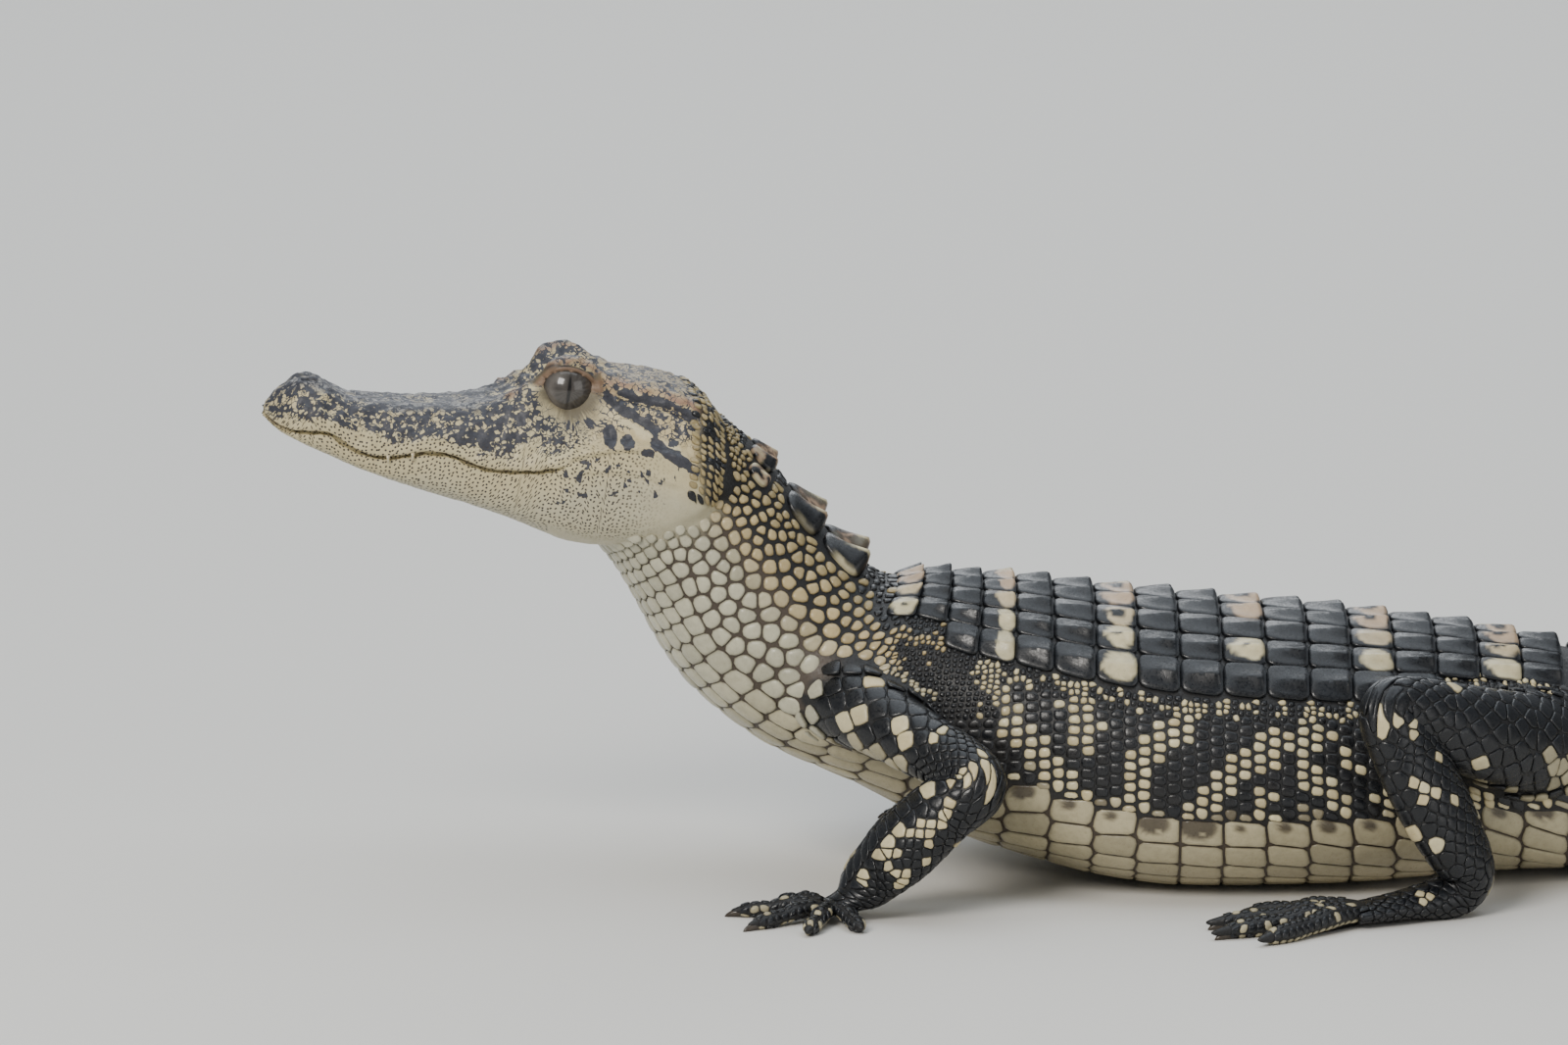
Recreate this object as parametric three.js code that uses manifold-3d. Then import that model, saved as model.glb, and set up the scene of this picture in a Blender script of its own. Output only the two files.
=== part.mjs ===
// A young American alligator at life size, as a still model: crouched on its belly, with the
// chest and head raised on the forelegs. Millimetres, +Z up, the floor at Z = 0, nose towards -X,
// its left side towards -Y. Each named part of the body is one closed solid, with its scutes,
// claws and teeth fused to it.
import * as THREE from "three";
import { ConvexGeometry } from "three/addons/geometries/ConvexGeometry.js";
import { mergeVertices } from "three/addons/utils/BufferGeometryUtils.js";
import Module from "manifold-3d";

const wasm = await Module();
wasm.setup();

// Driving dimensions

const GAP = 0.3; // left between two parts that touch
const HEAD_PITCH = 8; // degrees that the snout points up
const HEAD_YAW = 8; // degrees that the head is turned to its left
const SNOUT_TIP = new THREE.Vector3(-119.8, -13.8, 98.8);
const MOUTH_CORNER = 63; // distance of the mouth's corner behind the snout tip
const JAW_INSET = 1.2; // the lower jaw bites inside the upper lip by this much
const EYE = { back: 60.4, side: 6.5, up: 12, radius: 5.4, lid: 0.9, gape: [5.6, 4.1] };
const NOSTRIL = { back: 8.6, side: 3.1, radii: [1.5, 0.8, 1.3] };
const EAR = { from: 70.5, to: 89, height: 2.1, thickness: 1.1, out: 1.75, down: 2.5, lean: 52 };
const TOOTH = { backs: [25.4, 30.2], radius: 0.45, length: 1.7 };

const TAIL_LENGTH = 322;
const TAIL_ROOT = 146; // X at which the tail leaves the pelvis
const TRUNK_ROWS = 16; // transverse rows of scutes between the shoulders and the tail
const ROW_PITCH = 8.75;
const COLUMN_ANGLE = 13; // degrees of the body's section that one scute covers
const WHORLS = 37; // rings of scales on the tail
const DOUBLE_CREST_WHORLS = 17; // those that carry two crests side by side
const FLAT_WHORLS = 9; // those with flat scutes between the two crests
const WHORL_TAPER = 0.18; // how much longer than the average the first ring is, as a share
const TAIL_PARTS = [0, 8, 16, 26, WHORLS]; // the rings at which the tail is divided
const SCUTE_THICKNESS = 0.7;
const SCUTE_ROOT = 1.4; // depth to which a scute is sunk in the skin
// On each side of the neck: how far behind a station, degrees from the middle, sizes, keel's peak.
const NECK_SHIELDS = [
  { station: 3, behind: 5.2, degrees: 12.5, long: 12.6, wide: 10, keel: 3.8, peak: 0.46 },
  { station: 3, behind: -7.8, degrees: 13, long: 10.5, wide: 10, keel: 3.1, peak: 0.48 },
  { station: 2, behind: -1.5, degrees: 9, long: 6.4, wide: 5.4, keel: 1.9, peak: 0.4 },
  { station: 2, behind: -0.5, degrees: 27, long: 5.2, wide: 4.4, keel: 1.2, peak: 0.4 },
];

const COLOURS = {
  back: { color: 0x1d2128, roughness: 0.42, metalness: 0 },
  neck: { color: 0x8f8a72, roughness: 0.5, metalness: 0 },
  jaw: { color: 0xb9b094, roughness: 0.55, metalness: 0 },
  head: { color: 0x5f5b52, roughness: 0.5, metalness: 0 },
  eye: { color: 0x5d5c5b, roughness: 0.08, metalness: 0 },
  leg: { color: 0x23262b, roughness: 0.45, metalness: 0 },
};

// Small helpers

const radians = THREE.MathUtils.degToRad;
const spread = (from, to, count) =>
  Array.from({ length: count + 1 }, (_, i) => from + ((to - from) * i) / count);

// A smooth curve of numbers, or of arrays of numbers, through knots [place, value].
function through(knots) {
  const slope = (i, k) => {
    const [before, after] = [knots[Math.max(i - 1, 0)], knots[Math.min(i + 1, knots.length - 1)]];
    return (after[1][k] - before[1][k]) / (after[0] - before[0]);
  };
  return (place) => {
    let i = knots.findIndex((knot) => knot[0] > place) - 1;
    if (i < 0) i = place < knots[0][0] ? 0 : knots.length - 2;
    const [[from, start], [to, end]] = [knots[i], knots[i + 1]];
    const span = to - from;
    const t = Math.min(Math.max((place - from) / span, 0), 1);
    const ease = t * t * (3 - 2 * t);
    return start.map(
      (value, k) =>
        value + (end[k] - value) * ease +
        span * t * (1 - t) * ((1 - t) * slope(i, k) - t * slope(i + 1, k)),
    );
  };
}

// The same for one number, from a flat list of pairs.
function line(pairs) {
  const curve = through(pairs.map(([place, value]) => [place, [value]]));
  return (place) => curve(place)[0];
}

function manifold(geometry) {
  const bare = geometry.clone();
  bare.deleteAttribute("normal");
  bare.deleteAttribute("uv");
  const merged = mergeVertices(bare, 1e-4);
  const triVerts = new Uint32Array(merged.index.array);
  const make = () =>
    new wasm.Manifold(
      new wasm.Mesh({ numProp: 3, vertProperties: merged.attributes.position.array, triVerts }),
    );
  const made = make();
  if (made.volume() > 0) return made;
  for (let i = 0; i < triVerts.length; i += 3)
    [triVerts[i], triVerts[i + 1]] = [triVerts[i + 1], triVerts[i]];
  return make();
}

// A closed solid through rings of points, each ring an array of Vector3, capped at both ends.
function loft(rings) {
  const sides = rings[0].length;
  const points = rings.flat();
  const middle = (ring) =>
    ring.reduce((sum, p) => sum.add(p), new THREE.Vector3()).divideScalar(ring.length);
  const first = points.push(middle(rings[0])) - 1;
  const last = points.push(middle(rings.at(-1))) - 1;
  const faces = [];
  rings.forEach((ring, i) =>
    ring.forEach((_, j) => {
      const [a, b] = [i * sides + j, i * sides + ((j + 1) % sides)];
      if (i === 0) faces.push(first, b, a);
      if (i === rings.length - 1) faces.push(last, a, b);
      else faces.push(a, b, b + sides, a, b + sides, a + sides);
    }),
  );
  const geometry = new THREE.BufferGeometry().setFromPoints(points).setIndex(faces);
  return manifold(geometry);
}

const join = (...solids) => solids.flat().reduce((sum, solid) => sum.add(solid));
const cut = (solid, ...tools) => tools.flat().reduce((rest, tool) => rest.subtract(tool), solid);

const object = new THREE.Group();

// Adds a solid as a named mesh, keeping only its largest closed surface.
function node(name, solid, look) {
  const whole = solid.decompose().sort((a, b) => b.volume() - a.volume())[0];
  const { vertProperties, triVerts } = whole.getMesh();
  const geometry = new THREE.BufferGeometry();
  geometry.setAttribute("position", new THREE.BufferAttribute(vertProperties, 3));
  geometry.setIndex(new THREE.BufferAttribute(triVerts, 1));
  geometry.computeVertexNormals();
  const mesh = new THREE.Mesh(geometry, new THREE.MeshStandardMaterial(look));
  mesh.name = name;
  object.add(mesh);
}

// The head, in its own frame: back from the snout tip, out to the left, up from the line of the mouth.

const headTurn = new THREE.Matrix4()
  .makeTranslation(SNOUT_TIP.x, SNOUT_TIP.y, SNOUT_TIP.z)
  .multiply(new THREE.Matrix4().makeRotationZ(radians(HEAD_YAW)))
  .multiply(new THREE.Matrix4().makeRotationY(radians(HEAD_PITCH)));
const inHead = (back, side, up) => new THREE.Vector3(back, -side, up).applyMatrix4(headTurn);

const crownHeight = line([
  [0, 0.8], [2, 3.5], [4, 5.2], [6, 6.5], [8.5, 7.1], [11, 6.8], [14, 5.4], [17, 4.6], [27, 4.8],
  [35, 5.6], [45, 7.4], [49, 8.8], [54, 11.4], [59, 13.2], [66, 14.8], [72, 15.6], [80, 15.6],
  [86, 14.4], [90, 12], [93, 8.6],
]);
// Half width and height of the ridge over the nostril, the snout's edge, the brow and the skull table.
const ridge = through([
  [0, [0.6, 0.5]], [4, [5.2, 4.3]], [8.5, [6.6, 6.2]], [12, [6.8, 5.6]], [17, [7.2, 4]], [27, [8, 4.1]],
  [35, [8.8, 4.9]], [45, [9.6, 7]], [50, [9.7, 10.2]], [54, [9.6, 14.6]], [58, [9.4, 17.9]],
  [61, [9.4, 18.7]],
  [64, [9.6, 18.2]], [67, [10, 16.8]], [71, [10.9, 15.3]], [78, [11.8, 15]], [84, [12.3, 14]],
  [89, [11.9, 12]], [93, [11, 8]],
]);
const cheek = through([
  [0, [0.8, 0]], [4, [8.2, 1.4]], [8, [10.8, 2]], [13, [11.9, 1.4]], [19, [11.6, 0]], [27, [12.3, 0.2]],
  [35, [13.5, 1]], [45, [14.4, 1.8]], [54, [14.6, 4.2]], [60, [14.8, 5.2]], [66, [16, 5.8]],
  [73, [17.8, 6.4]],
  [81, [19.8, 6]], [87, [20.8, 5]], [93, [19.5, 2.6]],
]);
const jawHalfWidth = line([
  [0, 1.2], [1.5, 5], [4, 8.4], [8, 11], [13, 12.2], [19, 12.2], [25, 12.7], [35, 14.3], [45, 15.7],
  [55, 17.3], [65, 19.6], [75, 22.2], [85, 24.2], [90, 23.8], [93, 22.4],
]);
// The line of the mouth, in waves from the snout tip to its corner, then the crease of the cheek.
const lipHeight = line([
  [0, -0.9], [3, -2.4], [6, -2.7], [10, -2.1], [13, -2.1], [17, -4.1], [20, -5.2], [24, -5.5],
  [28, -4.8], [33, -3.4], [36, -3.2], [39, -3.6], [42, -4.5], [47, -5.1], [52, -4.7], [57, -3.7],
  [60, -2.7], [63, -0.8], [68, 1.6], [75, 3], [84, 1.8], [93, -1.2],
]);
const chinHeight = line([
  [0, -1.7], [2, -3.3], [5, -4.8], [9.5, -6.4], [14, -7.8], [22, -10.2], [34, -12.8],
  [43, -14.3], [51, -16],
  [59, -18.1], [64, -19.3], [70, -19.5], [77, -18.6], [83, -17.2], [87, -14.9], [90, -11.8],
  [92, -8], [93, -5.6],
]);

const HEAD_STATIONS = [
  0, 1, 2.4, 4, 6, 8.5, 11, 14, 17, 21, 26, 33, 40, 45, 49, 53, 57, 61, 65, 69, 74, 79, 84, 88, 91, 93,
];

// Points of one side of a section, as [side, up] pairs, from its top middle to its bottom middle.
function skullSide(back, grow) {
  const half = jawHalfWidth(back) + grow;
  const lip = lipHeight(back) - grow;
  const [ridgeHalf, ridgeUp] = ridge(back);
  const [cheekHalf, cheekUp] = cheek(back);
  const skin = through([
    [-1, [-ridgeHalf, ridgeUp]],
    [0, [0, crownHeight(back) + grow]],
    [1, [ridgeHalf + grow, ridgeUp + grow]],
    [2, [cheekHalf + grow, cheekUp]],
    [3, [half, lip + 1.2]],
  ]);
  return [
    ...[0, 0.6, 1, 1.4, 2, 2.5, 3].map(skin),
    [half - 0.5, lip],
    [0, lip + 0.2],
  ];
}

function jawSide(back, grow) {
  const inset = back < MOUTH_CORNER ? JAW_INSET : 0.2;
  const half = jawHalfWidth(back) - Math.min(inset, jawHalfWidth(back) * 0.4) + grow;
  const top = lipHeight(back) - GAP - 0.1 + grow;
  const chin = Math.min(chinHeight(back), top - 0.6) - grow;
  const depth = top - chin;
  return [
    [0, top],
    [half - 0.5, top],
    [half, top - Math.min(0.8, depth * 0.2)],
    [half * 0.97, top - depth * 0.5],
    [half * 0.84, top - depth * 0.8],
    [half * 0.5, chin + depth * 0.02],
    [0, chin],
  ];
}

function headLoft(side, grow) {
  return loft(
    HEAD_STATIONS.map((back, i) => {
      const half = side(back, grow);
      const reach = i === 0 ? -grow : i === HEAD_STATIONS.length - 1 ? grow : 0;
      const other = half.slice(1, -1).reverse();
      return [
        ...half.map(([out, up]) => inHead(back + reach, out, up)),
        ...other.map(([out, up]) => inHead(back + reach, -out, up)),
      ];
    }),
  );
}

function ball(back, side, up, radii, segments) {
  const geometry = new THREE.SphereGeometry(1, segments, segments / 2);
  geometry.rotateX(Math.PI / 2);
  geometry.scale(...radii);
  geometry.translate(back, -side, up);
  return manifold(geometry.applyMatrix4(headTurn));
}

// The eye's opening: a lens-shaped prism from inside the eyeball out past the lids.
function eyeOpening(hand) {
  const [long, tall] = EYE.gape;
  const outline = new THREE.Shape();
  outline.moveTo(-long, -0.6);
  outline.bezierCurveTo(-long * 0.5, tall * 1.25, long * 0.55, tall * 1.25, long, 0.5);
  outline.bezierCurveTo(long * 0.5, -tall * 1.3, -long * 0.5, -tall * 1.3, -long, -0.6);
  const prism = new THREE.ExtrudeGeometry(outline, { depth: 9, bevelEnabled: false, curveSegments: 5 });
  prism.rotateX(Math.PI / 2);
  prism.translate(EYE.back, -EYE.side - 1.5, EYE.up);
  if (hand < 0) prism.scale(1, -1, 1);
  return manifold(prism.applyMatrix4(headTurn));
}

// The flap over the ear's slit, along the side of the skull table.
function earFlap(hand, grow = 0) {
  const sections = spread(0, 1, 6).map((share) => {
    const back = EAR.from + (EAR.to - EAR.from) * share + (share - 0.5) * 2 * grow;
    const [ridgeHalf, ridgeUp] = ridge(back);
    const swell = Math.sqrt(Math.max(1 - (2 * share - 1) ** 2, 0.04));
    const [out, up] = [ridgeHalf + EAR.out, ridgeUp - EAR.down];
    const lean = radians(EAR.lean); // the slope of the head's side there
    const [tall, thick] = [EAR.height * swell + grow, EAR.thickness * swell + grow];
    return spread(0, 2 * Math.PI, 6).slice(0, -1).map((turn) => {
      const [along, off] = [tall * Math.cos(turn), thick * Math.sin(turn)];
      return inHead(
        back,
        hand * (out - along * Math.cos(lean) + off * Math.sin(lean)),
        up + along * Math.sin(lean) + off * Math.cos(lean),
      );
    });
  });
  return loft(sections);
}

function tooth(back, hand) {
  const cone = new THREE.ConeGeometry(TOOTH.radius, TOOTH.length, 6);
  cone.rotateX(-Math.PI / 2);
  cone.translate(back, -hand * (jawHalfWidth(back) - 0.5), lipHeight(back) - TOOTH.length * 0.25);
  return manifold(cone.applyMatrix4(headTurn));
}

const HANDS = [["left", 1], ["right", -1]];
const { lid, radius: eyeRadius } = EYE;

const skull = (grow = 0) => headLoft(skullSide, grow);
const jaw = (grow = 0) => headLoft(jawSide, grow);

let head = skull();
for (const [, hand] of HANDS) {
  const eyeAt = (radius) => ball(EYE.back, hand * EYE.side, EYE.up, [radius, radius, radius], 14);
  head = join(head, eyeAt(eyeRadius + GAP + lid));
  head = cut(head, eyeAt(eyeRadius + GAP), eyeOpening(hand), earFlap(hand, GAP));
  head = cut(head, ball(NOSTRIL.back, hand * NOSTRIL.side, crownHeight(NOSTRIL.back), NOSTRIL.radii, 8));
  head = join(head, TOOTH.backs.map((back) => tooth(back, hand)));
}
node("head", head, COLOURS.head);
node("lower_jaw", jaw(), COLOURS.jaw);
for (const [name, hand] of HANDS) {
  const at = [EYE.back, hand * EYE.side, EYE.up];
  node("eye_" + name, ball(...at, [eyeRadius, eyeRadius, eyeRadius], 14), COLOURS.eye);
  node("ear_" + name, earFlap(hand), COLOURS.head);
}

// Neck, torso and tail: one surface, from stations along the body.

// Each station: top and bottom of the section in the side view, half width, and how high it is widest.
const STATIONS = [
  { top: [-35, 91], bottom: [-57, 73], half: 19, widest: 0.5 }, // inside the head
  { top: [-25.8, 93.8], bottom: [-52.5, 69], half: 22, widest: 0.5 }, // back of the jaw
  { top: [-17, 85], bottom: [-46.2, 59.5], half: 22.6, widest: 0.5 }, // nape
  { top: [-4.5, 70.3], bottom: [-35.5, 41.3], half: 23.4, widest: 0.5 }, // neck shield
  { top: [6.2, 61.3], bottom: [-19.5, 28], half: 25.5, widest: 0.48 }, // base of the neck
  { top: [15.5, 61.2], bottom: [0.5, 19], half: 28.5, widest: 0.47 }, // shoulders
  { top: [26, 60.4], bottom: [18.5, 10], half: 32, widest: 0.45 },
  { top: [38, 59.4], bottom: [36, 4.4], half: 35.5, widest: 0.43 }, // chest
  { top: [51, 57.7], bottom: [50, 1], half: 38.3, widest: 0.42 },
  { top: [66, 56.2], bottom: [66, -0.9], half: 40, widest: 0.41 }, // belly
  { top: [86, 54.4], bottom: [86, -0.9], half: 39.6, widest: 0.41 },
  { top: [106, 52.3], bottom: [106, -0.4], half: 36.5, widest: 0.42 },
  { top: [126, 49.8], bottom: [126, 0.9], half: 31, widest: 0.44 }, // pelvis
  { top: [TAIL_ROOT, 46.2], bottom: [TAIL_ROOT, 1.2], half: 24.5, widest: 0.46 }, // tail root
];

// The tail: its heading in degrees from +X, its height and its half width, along its share of the length.
const tailHeading = line([[0, 0], [0.2, 9], [0.42, 22], [0.62, 6], [0.82, -26], [1, -48]]);
const tailHeight = line([
  [0, 45], [0.12, 37.5], [0.3, 28.5], [0.5, 21.5], [0.7, 14.5], [0.88, 7.6], [1, 1.8],
]);
const tailHalf = line([
  [0, 24.5], [0.12, 18], [0.3, 11.6], [0.5, 7.4], [0.7, 4.6], [0.88, 2.5], [1, 0.7],
]);

const VENT_HEIGHT = 0.8;
const FLATTENED = 0.9; // how much of the round underside is pressed flat by the floor

const inSideView = (x, z) => new THREE.Vector3(x, 0, z);

function bodyKnots() {
  const knots = [];
  let place = 0;
  let before = null;
  const add = (top, bottom, half, widest, heading) => {
    const middle = top.clone().add(bottom).multiplyScalar(0.5);
    if (before) place += middle.distanceTo(before);
    before = middle;
    knots.push([place, [...top.toArray(), ...bottom.toArray(), half, widest, heading]]);
  };
  for (const { top, bottom, half, widest } of STATIONS)
    add(inSideView(...top), inSideView(...bottom), half, widest, 0);
  const root = place;
  const steps = 14;
  const foot = new THREE.Vector3(TAIL_ROOT, 0, 0);
  const fine = 12;
  for (let i = 1; i <= steps; i++) {
    for (let j = 0; j < fine; j++) {
      const turn = radians(tailHeading((i - 1 + (j + 0.5) / fine) / steps));
      foot.x += (Math.cos(turn) * TAIL_LENGTH) / steps / fine;
      foot.y += (Math.sin(turn) * TAIL_LENGTH) / steps / fine;
    }
    const share = i / steps;
    const settled = Math.min(1, share * 8); // the vent is just off the floor, the rest lies on it
    const pressed = FLATTENED * settled * (1 - 0.8 * share);
    const bottom = foot.clone().setZ(VENT_HEIGHT * (1 - settled) - pressed);
    add(foot.clone().setZ(tailHeight(share)), bottom, tailHalf(share), 0.46, tailHeading(share));
  }
  return { knots, root };
}
const { knots: BODY_KNOTS, root: TAIL_START } = bodyKnots();
const bodyAt = through(BODY_KNOTS);
const BODY_END = BODY_KNOTS.at(-1)[0];
const placeOf = (i) => BODY_KNOTS[i][0];

// The power of a section's curve: an ellipse at 1, squarer below it, as the belly is.
const ROUND_POWER = 0.95;
const SQUARE_POWER = 0.8;
const belowPower = line([[placeOf(3), ROUND_POWER], [placeOf(5), 0.88], [placeOf(8), SQUARE_POWER]]);

// A point of the skin: place along the body, degrees from the top round to the left, height off the skin.
function skin(place, degrees, off = 0) {
  const [tx, ty, tz, bx, by, bz, half, widest, heading] = bodyAt(place);
  const top = new THREE.Vector3(tx, ty, tz);
  const bottom = new THREE.Vector3(bx, by, bz);
  const upward = top.clone().sub(bottom);
  const height = upward.length();
  upward.normalize();
  const turn = radians(heading);
  const left = new THREE.Vector3(Math.sin(turn), -Math.cos(turn), 0);
  const [s, c] = [Math.sin(radians(degrees)), Math.cos(radians(degrees))];
  const round = c > 0 ? ROUND_POWER : belowPower(place);
  const reach = (c > 0 ? 1 - widest : widest) * height + off;
  const point = bottom.clone().addScaledVector(upward, widest * height);
  point.addScaledVector(upward, reach * Math.sign(c) * Math.abs(c) ** round);
  point.addScaledVector(left, (half + off) * Math.sign(s) * Math.abs(s) ** round);
  return point;
}

// A length of the body through rings at these places, with points at these angles on each side.
function bodyLoft(places, angles, grow = 0) {
  const mirrored = angles.filter((degrees) => degrees % 180).reverse().map((degrees) => -degrees);
  const round = [...angles, ...mirrored];
  return loft(
    places.map((place) =>
      round.map((degrees) => {
        const point = skin(place, degrees, grow);
        point.z = Math.max(point.z, -grow);
        return point;
      }),
    ),
  );
}

// A keeled plate on the body: its keel rises from front to back and ends in a peak.
function scute({ place, degrees, long, wide, keel, thickness = SCUTE_THICKNESS, peak = 0.42 }) {
  const mmPerDegree = skin(place, degrees + 1).distanceTo(skin(place, degrees));
  const spot = (along, across, off) =>
    skin(place + along * long, degrees + (across * wide) / mmPerDegree, off);
  const points = [];
  for (const [along, across] of [[-0.5, 0.4], [0.5, 0.5]])
    for (const hand of [1, -1]) {
      points.push(spot(along, hand * across, -SCUTE_ROOT));
      points.push(spot(along * 0.94, hand * across * 0.92, thickness));
    }
  points.push(spot(-0.4, 0, thickness + keel * 0.25));
  points.push(spot(peak, 0, thickness + keel));
  return manifold(new ConvexGeometry(points));
}

// How many columns of scutes a row of the back has, on one side of the middle.
const columnsOf = (row) => (row < 2 || row > TRUNK_ROWS - 3 ? 3 : 4);
const FIRST_ROW = placeOf(4) + 5;

function backScutes() {
  const plates = [];
  for (let row = 0; row < TRUNK_ROWS; row++)
    for (let column = 0; column < columnsOf(row); column++)
      for (const [, hand] of HANDS) {
        const place = FIRST_ROW + (row + 0.5) * ROW_PITCH;
        const degrees = hand * (column + 0.5) * COLUMN_ANGLE;
        const wide = (bodyAt(place)[6] * radians(COLUMN_ANGLE) - 0.3) * (1.02 - 0.03 * column);
        const keel = 1.1 + 0.25 * Math.sin(row * 1.7 + column * 2.3);
        plates.push(scute({ place, degrees, long: ROW_PITCH - 0.5, wide, keel }));
      }
  return plates;
}

// Two rows of two tall-keeled shields, and the knobs behind the skull.
const neckScutes = () =>
  HANDS.flatMap(([, hand]) =>
    NECK_SHIELDS.map(({ station, behind, degrees, ...sizes }) =>
      scute({ place: placeOf(station) + behind, degrees: hand * degrees, ...sizes }),
    ),
  );

// Where the tail's rings of scales meet: they grow a little shorter towards its tip.
function whorlEdge(index) {
  const share = index / WHORLS;
  return TAIL_START + (BODY_END - TAIL_START) * share * (1 + WHORL_TAPER * (1 - share));
}

// One upright blade of the tail's crest, leaning back.
function crestBlade({ place, long, degrees, tall, thick }) {
  const spot = (along, across, off) => {
    const turn = radians(bodyAt(place + along)[8]);
    const left = new THREE.Vector3(Math.sin(turn), -Math.cos(turn), 0);
    return skin(place + along, degrees, off).addScaledVector(left, across * thick);
  };
  const tip = [0.12, -0.12].map((across) => spot(long * 0.45, across, tall));
  const points = [...tip, spot(long * 0.1, 0, tall * 0.8)];
  for (const hand of [0.5, -0.5])
    points.push(spot(-long * 0.48, hand, -SCUTE_ROOT), spot(long * 0.48, hand, -SCUTE_ROOT));
  return manifold(new ConvexGeometry(points));
}

// The crests of some of the tail's rings, with the flat scutes between them near its root.
function tailScutes(first, last) {
  const plates = [];
  for (let index = first; index < last; index++) {
    const place = (whorlEdge(index) + whorlEdge(index + 1)) / 2;
    const long = whorlEdge(index + 1) - whorlEdge(index);
    if (index >= DOUBLE_CREST_WHORLS) {
      const left = (WHORLS - index) / (WHORLS - DOUBLE_CREST_WHORLS);
      const [tall, thick] = [1.6 + 4.6 * left, 0.9 + 1.1 * left];
      plates.push(crestBlade({ place, long, degrees: 0, tall, thick }));
      continue;
    }
    const degrees = 34 - (20 * index) / DOUBLE_CREST_WHORLS;
    const tall = 1.6 + 3.2 * Math.min(1, index / 12);
    for (const [, hand] of HANDS) {
      plates.push(crestBlade({ place, long, degrees: hand * degrees, tall, thick: 1.7 }));
      const wide = bodyAt(place)[6] * radians(degrees) * 0.8;
      if (index < FLAT_WHORLS)
        plates.push(scute({ place, degrees: hand * degrees * 0.45, long: long - 0.6, wide, keel: 0.9 }));
    }
  }
  return plates;
}

const NECK_ANGLES = [0, 15, 30, 46, 64, 82, 100, 118, 138, 160, 180];
const BACK_ANGLES = [...spread(0, 4, 4).map((column) => column * COLUMN_ANGLE), 70, 90, 110, 135, 166];
const TAIL_ANGLES = [
  [0, 17, 34, 52, 75, 100, 128, 158],
  [0, 22, 50, 80, 118, 158],
  [0, 25, 60, 105, 158],
  [0, 45, 100, 158],
];
const torsoStart = FIRST_ROW - ROW_PITCH * 0.5;
const torsoEnd = TAIL_START - GAP;
const neckPlaces = spread(placeOf(0), torsoStart - GAP, 9);
const rowEnds = spread(0, TRUNK_ROWS, TRUNK_ROWS).map((row) => FIRST_ROW + row * ROW_PITCH);
const trunkPlaces = [torsoStart, ...rowEnds, torsoEnd];
const neckWhole = bodyLoft(neckPlaces, NECK_ANGLES);
const torsoWhole = bodyLoft(trunkPlaces, BACK_ANGLES);

// Limbs

// Stations of the limbs, written for the left side: X, Y, Z, then half the thickness across the plane of
// bending and within it.
const ARM = [
  [-8, -8, 41, 9, 10.5],
  [-2, -22, 40, 8.8, 9.6],
  [13, -38, 34.5, 7, 7.2],
  [24.5, -49.5, 28.5, 6.3, 6.5],
  [17.7, -49.5, 22.5, 6.4, 7.6],
  [9.8, -48.5, 14.9, 6, 8.3],
  [4.6, -47, 9.5, 4.8, 7.2],
  [0.8, -46.5, 5.8, 3.8, 6.6],
  [-2, -46.5, 3.4, 2.8, 6.4],
  [-5.5, -46.5, 2.2, 2, 5.6],
];
const FAR_ARM = [
  [-6, -8, 41, 9, 10.5],
  [2, -22, 39, 8.8, 9.6],
  [21, -38, 33, 7, 7.2],
  [37, -49, 27.5, 6.3, 6.5],
  [39, -49.5, 21, 6.4, 7.4],
  [38, -49.5, 14.5, 5.9, 7.4],
  [35.5, -49, 9.5, 4.8, 6.6],
  [32.5, -48.5, 5.8, 3.8, 6.2],
  [29.5, -48.5, 3.4, 2.8, 6.2],
  [26, -48.5, 2.2, 2, 5.6],
];
const LEG = [
  [150, -5, 28, 10, 12],
  [141, -20, 29.5, 9.5, 12],
  [125, -36, 36, 8, 9.8],
  [108.5, -46.5, 42.5, 6.2, 7.2],
  [111.5, -47.5, 34, 6.2, 8.6],
  [116, -47.5, 25, 6, 9],
  [120.5, -46.5, 16.5, 5.4, 8.2],
  [124, -45, 9.4, 4.8, 6.4],
  [121, -45.5, 4.8, 4.6, 5.4],
  [112, -49, 3.4, 3.2, 6.2],
  [100, -54, 2.4, 2.2, 7.6],
];
const FAR_LEG = [
  [150, -5, 28, 10, 12],
  [146, -20, 29, 9.5, 12],
  [139, -37, 31, 8, 9.8],
  [128, -49, 32.5, 6.2, 7.2],
  [132, -50, 26, 6.2, 8.2],
  [137, -50, 19.5, 6, 8.6],
  [142, -48.5, 13.5, 5.4, 7.6],
  [145, -47, 8.8, 4.8, 6],
  [142, -47.5, 4.8, 4.6, 5.4],
  [133, -51, 3.4, 3.2, 6.2],
  [121, -56, 2.4, 2.2, 7.6],
];
// Digits from the innermost: degrees outwards from straight ahead, and length without the claw.
const HAND = {
  headings: [-44, -2, 36, 74, 110],
  lengths: [11, 15.5, 16, 14.5, 12],
  radius: 1.9,
  palm: 4.2,
  claw: 4.4,
};
const FOOT = {
  headings: [-8, 10, 25, 42],
  lengths: [21, 28, 30, 26],
  radius: 2.3,
  palm: 5,
  claw: 5.2,
};
const CLAWED = 3; // only the three inner digits bear claws
const WEBS = [[0, 0.34], [1, 0.5], [2, 0.62]]; // inner toe, and the share of the toes that is webbed

const WEB = { thickness: 0.9, height: 0.5, valley: 0.72 };

const sided = (station, side) => [station[0], station[1] * side, ...station.slice(2)];

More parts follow.
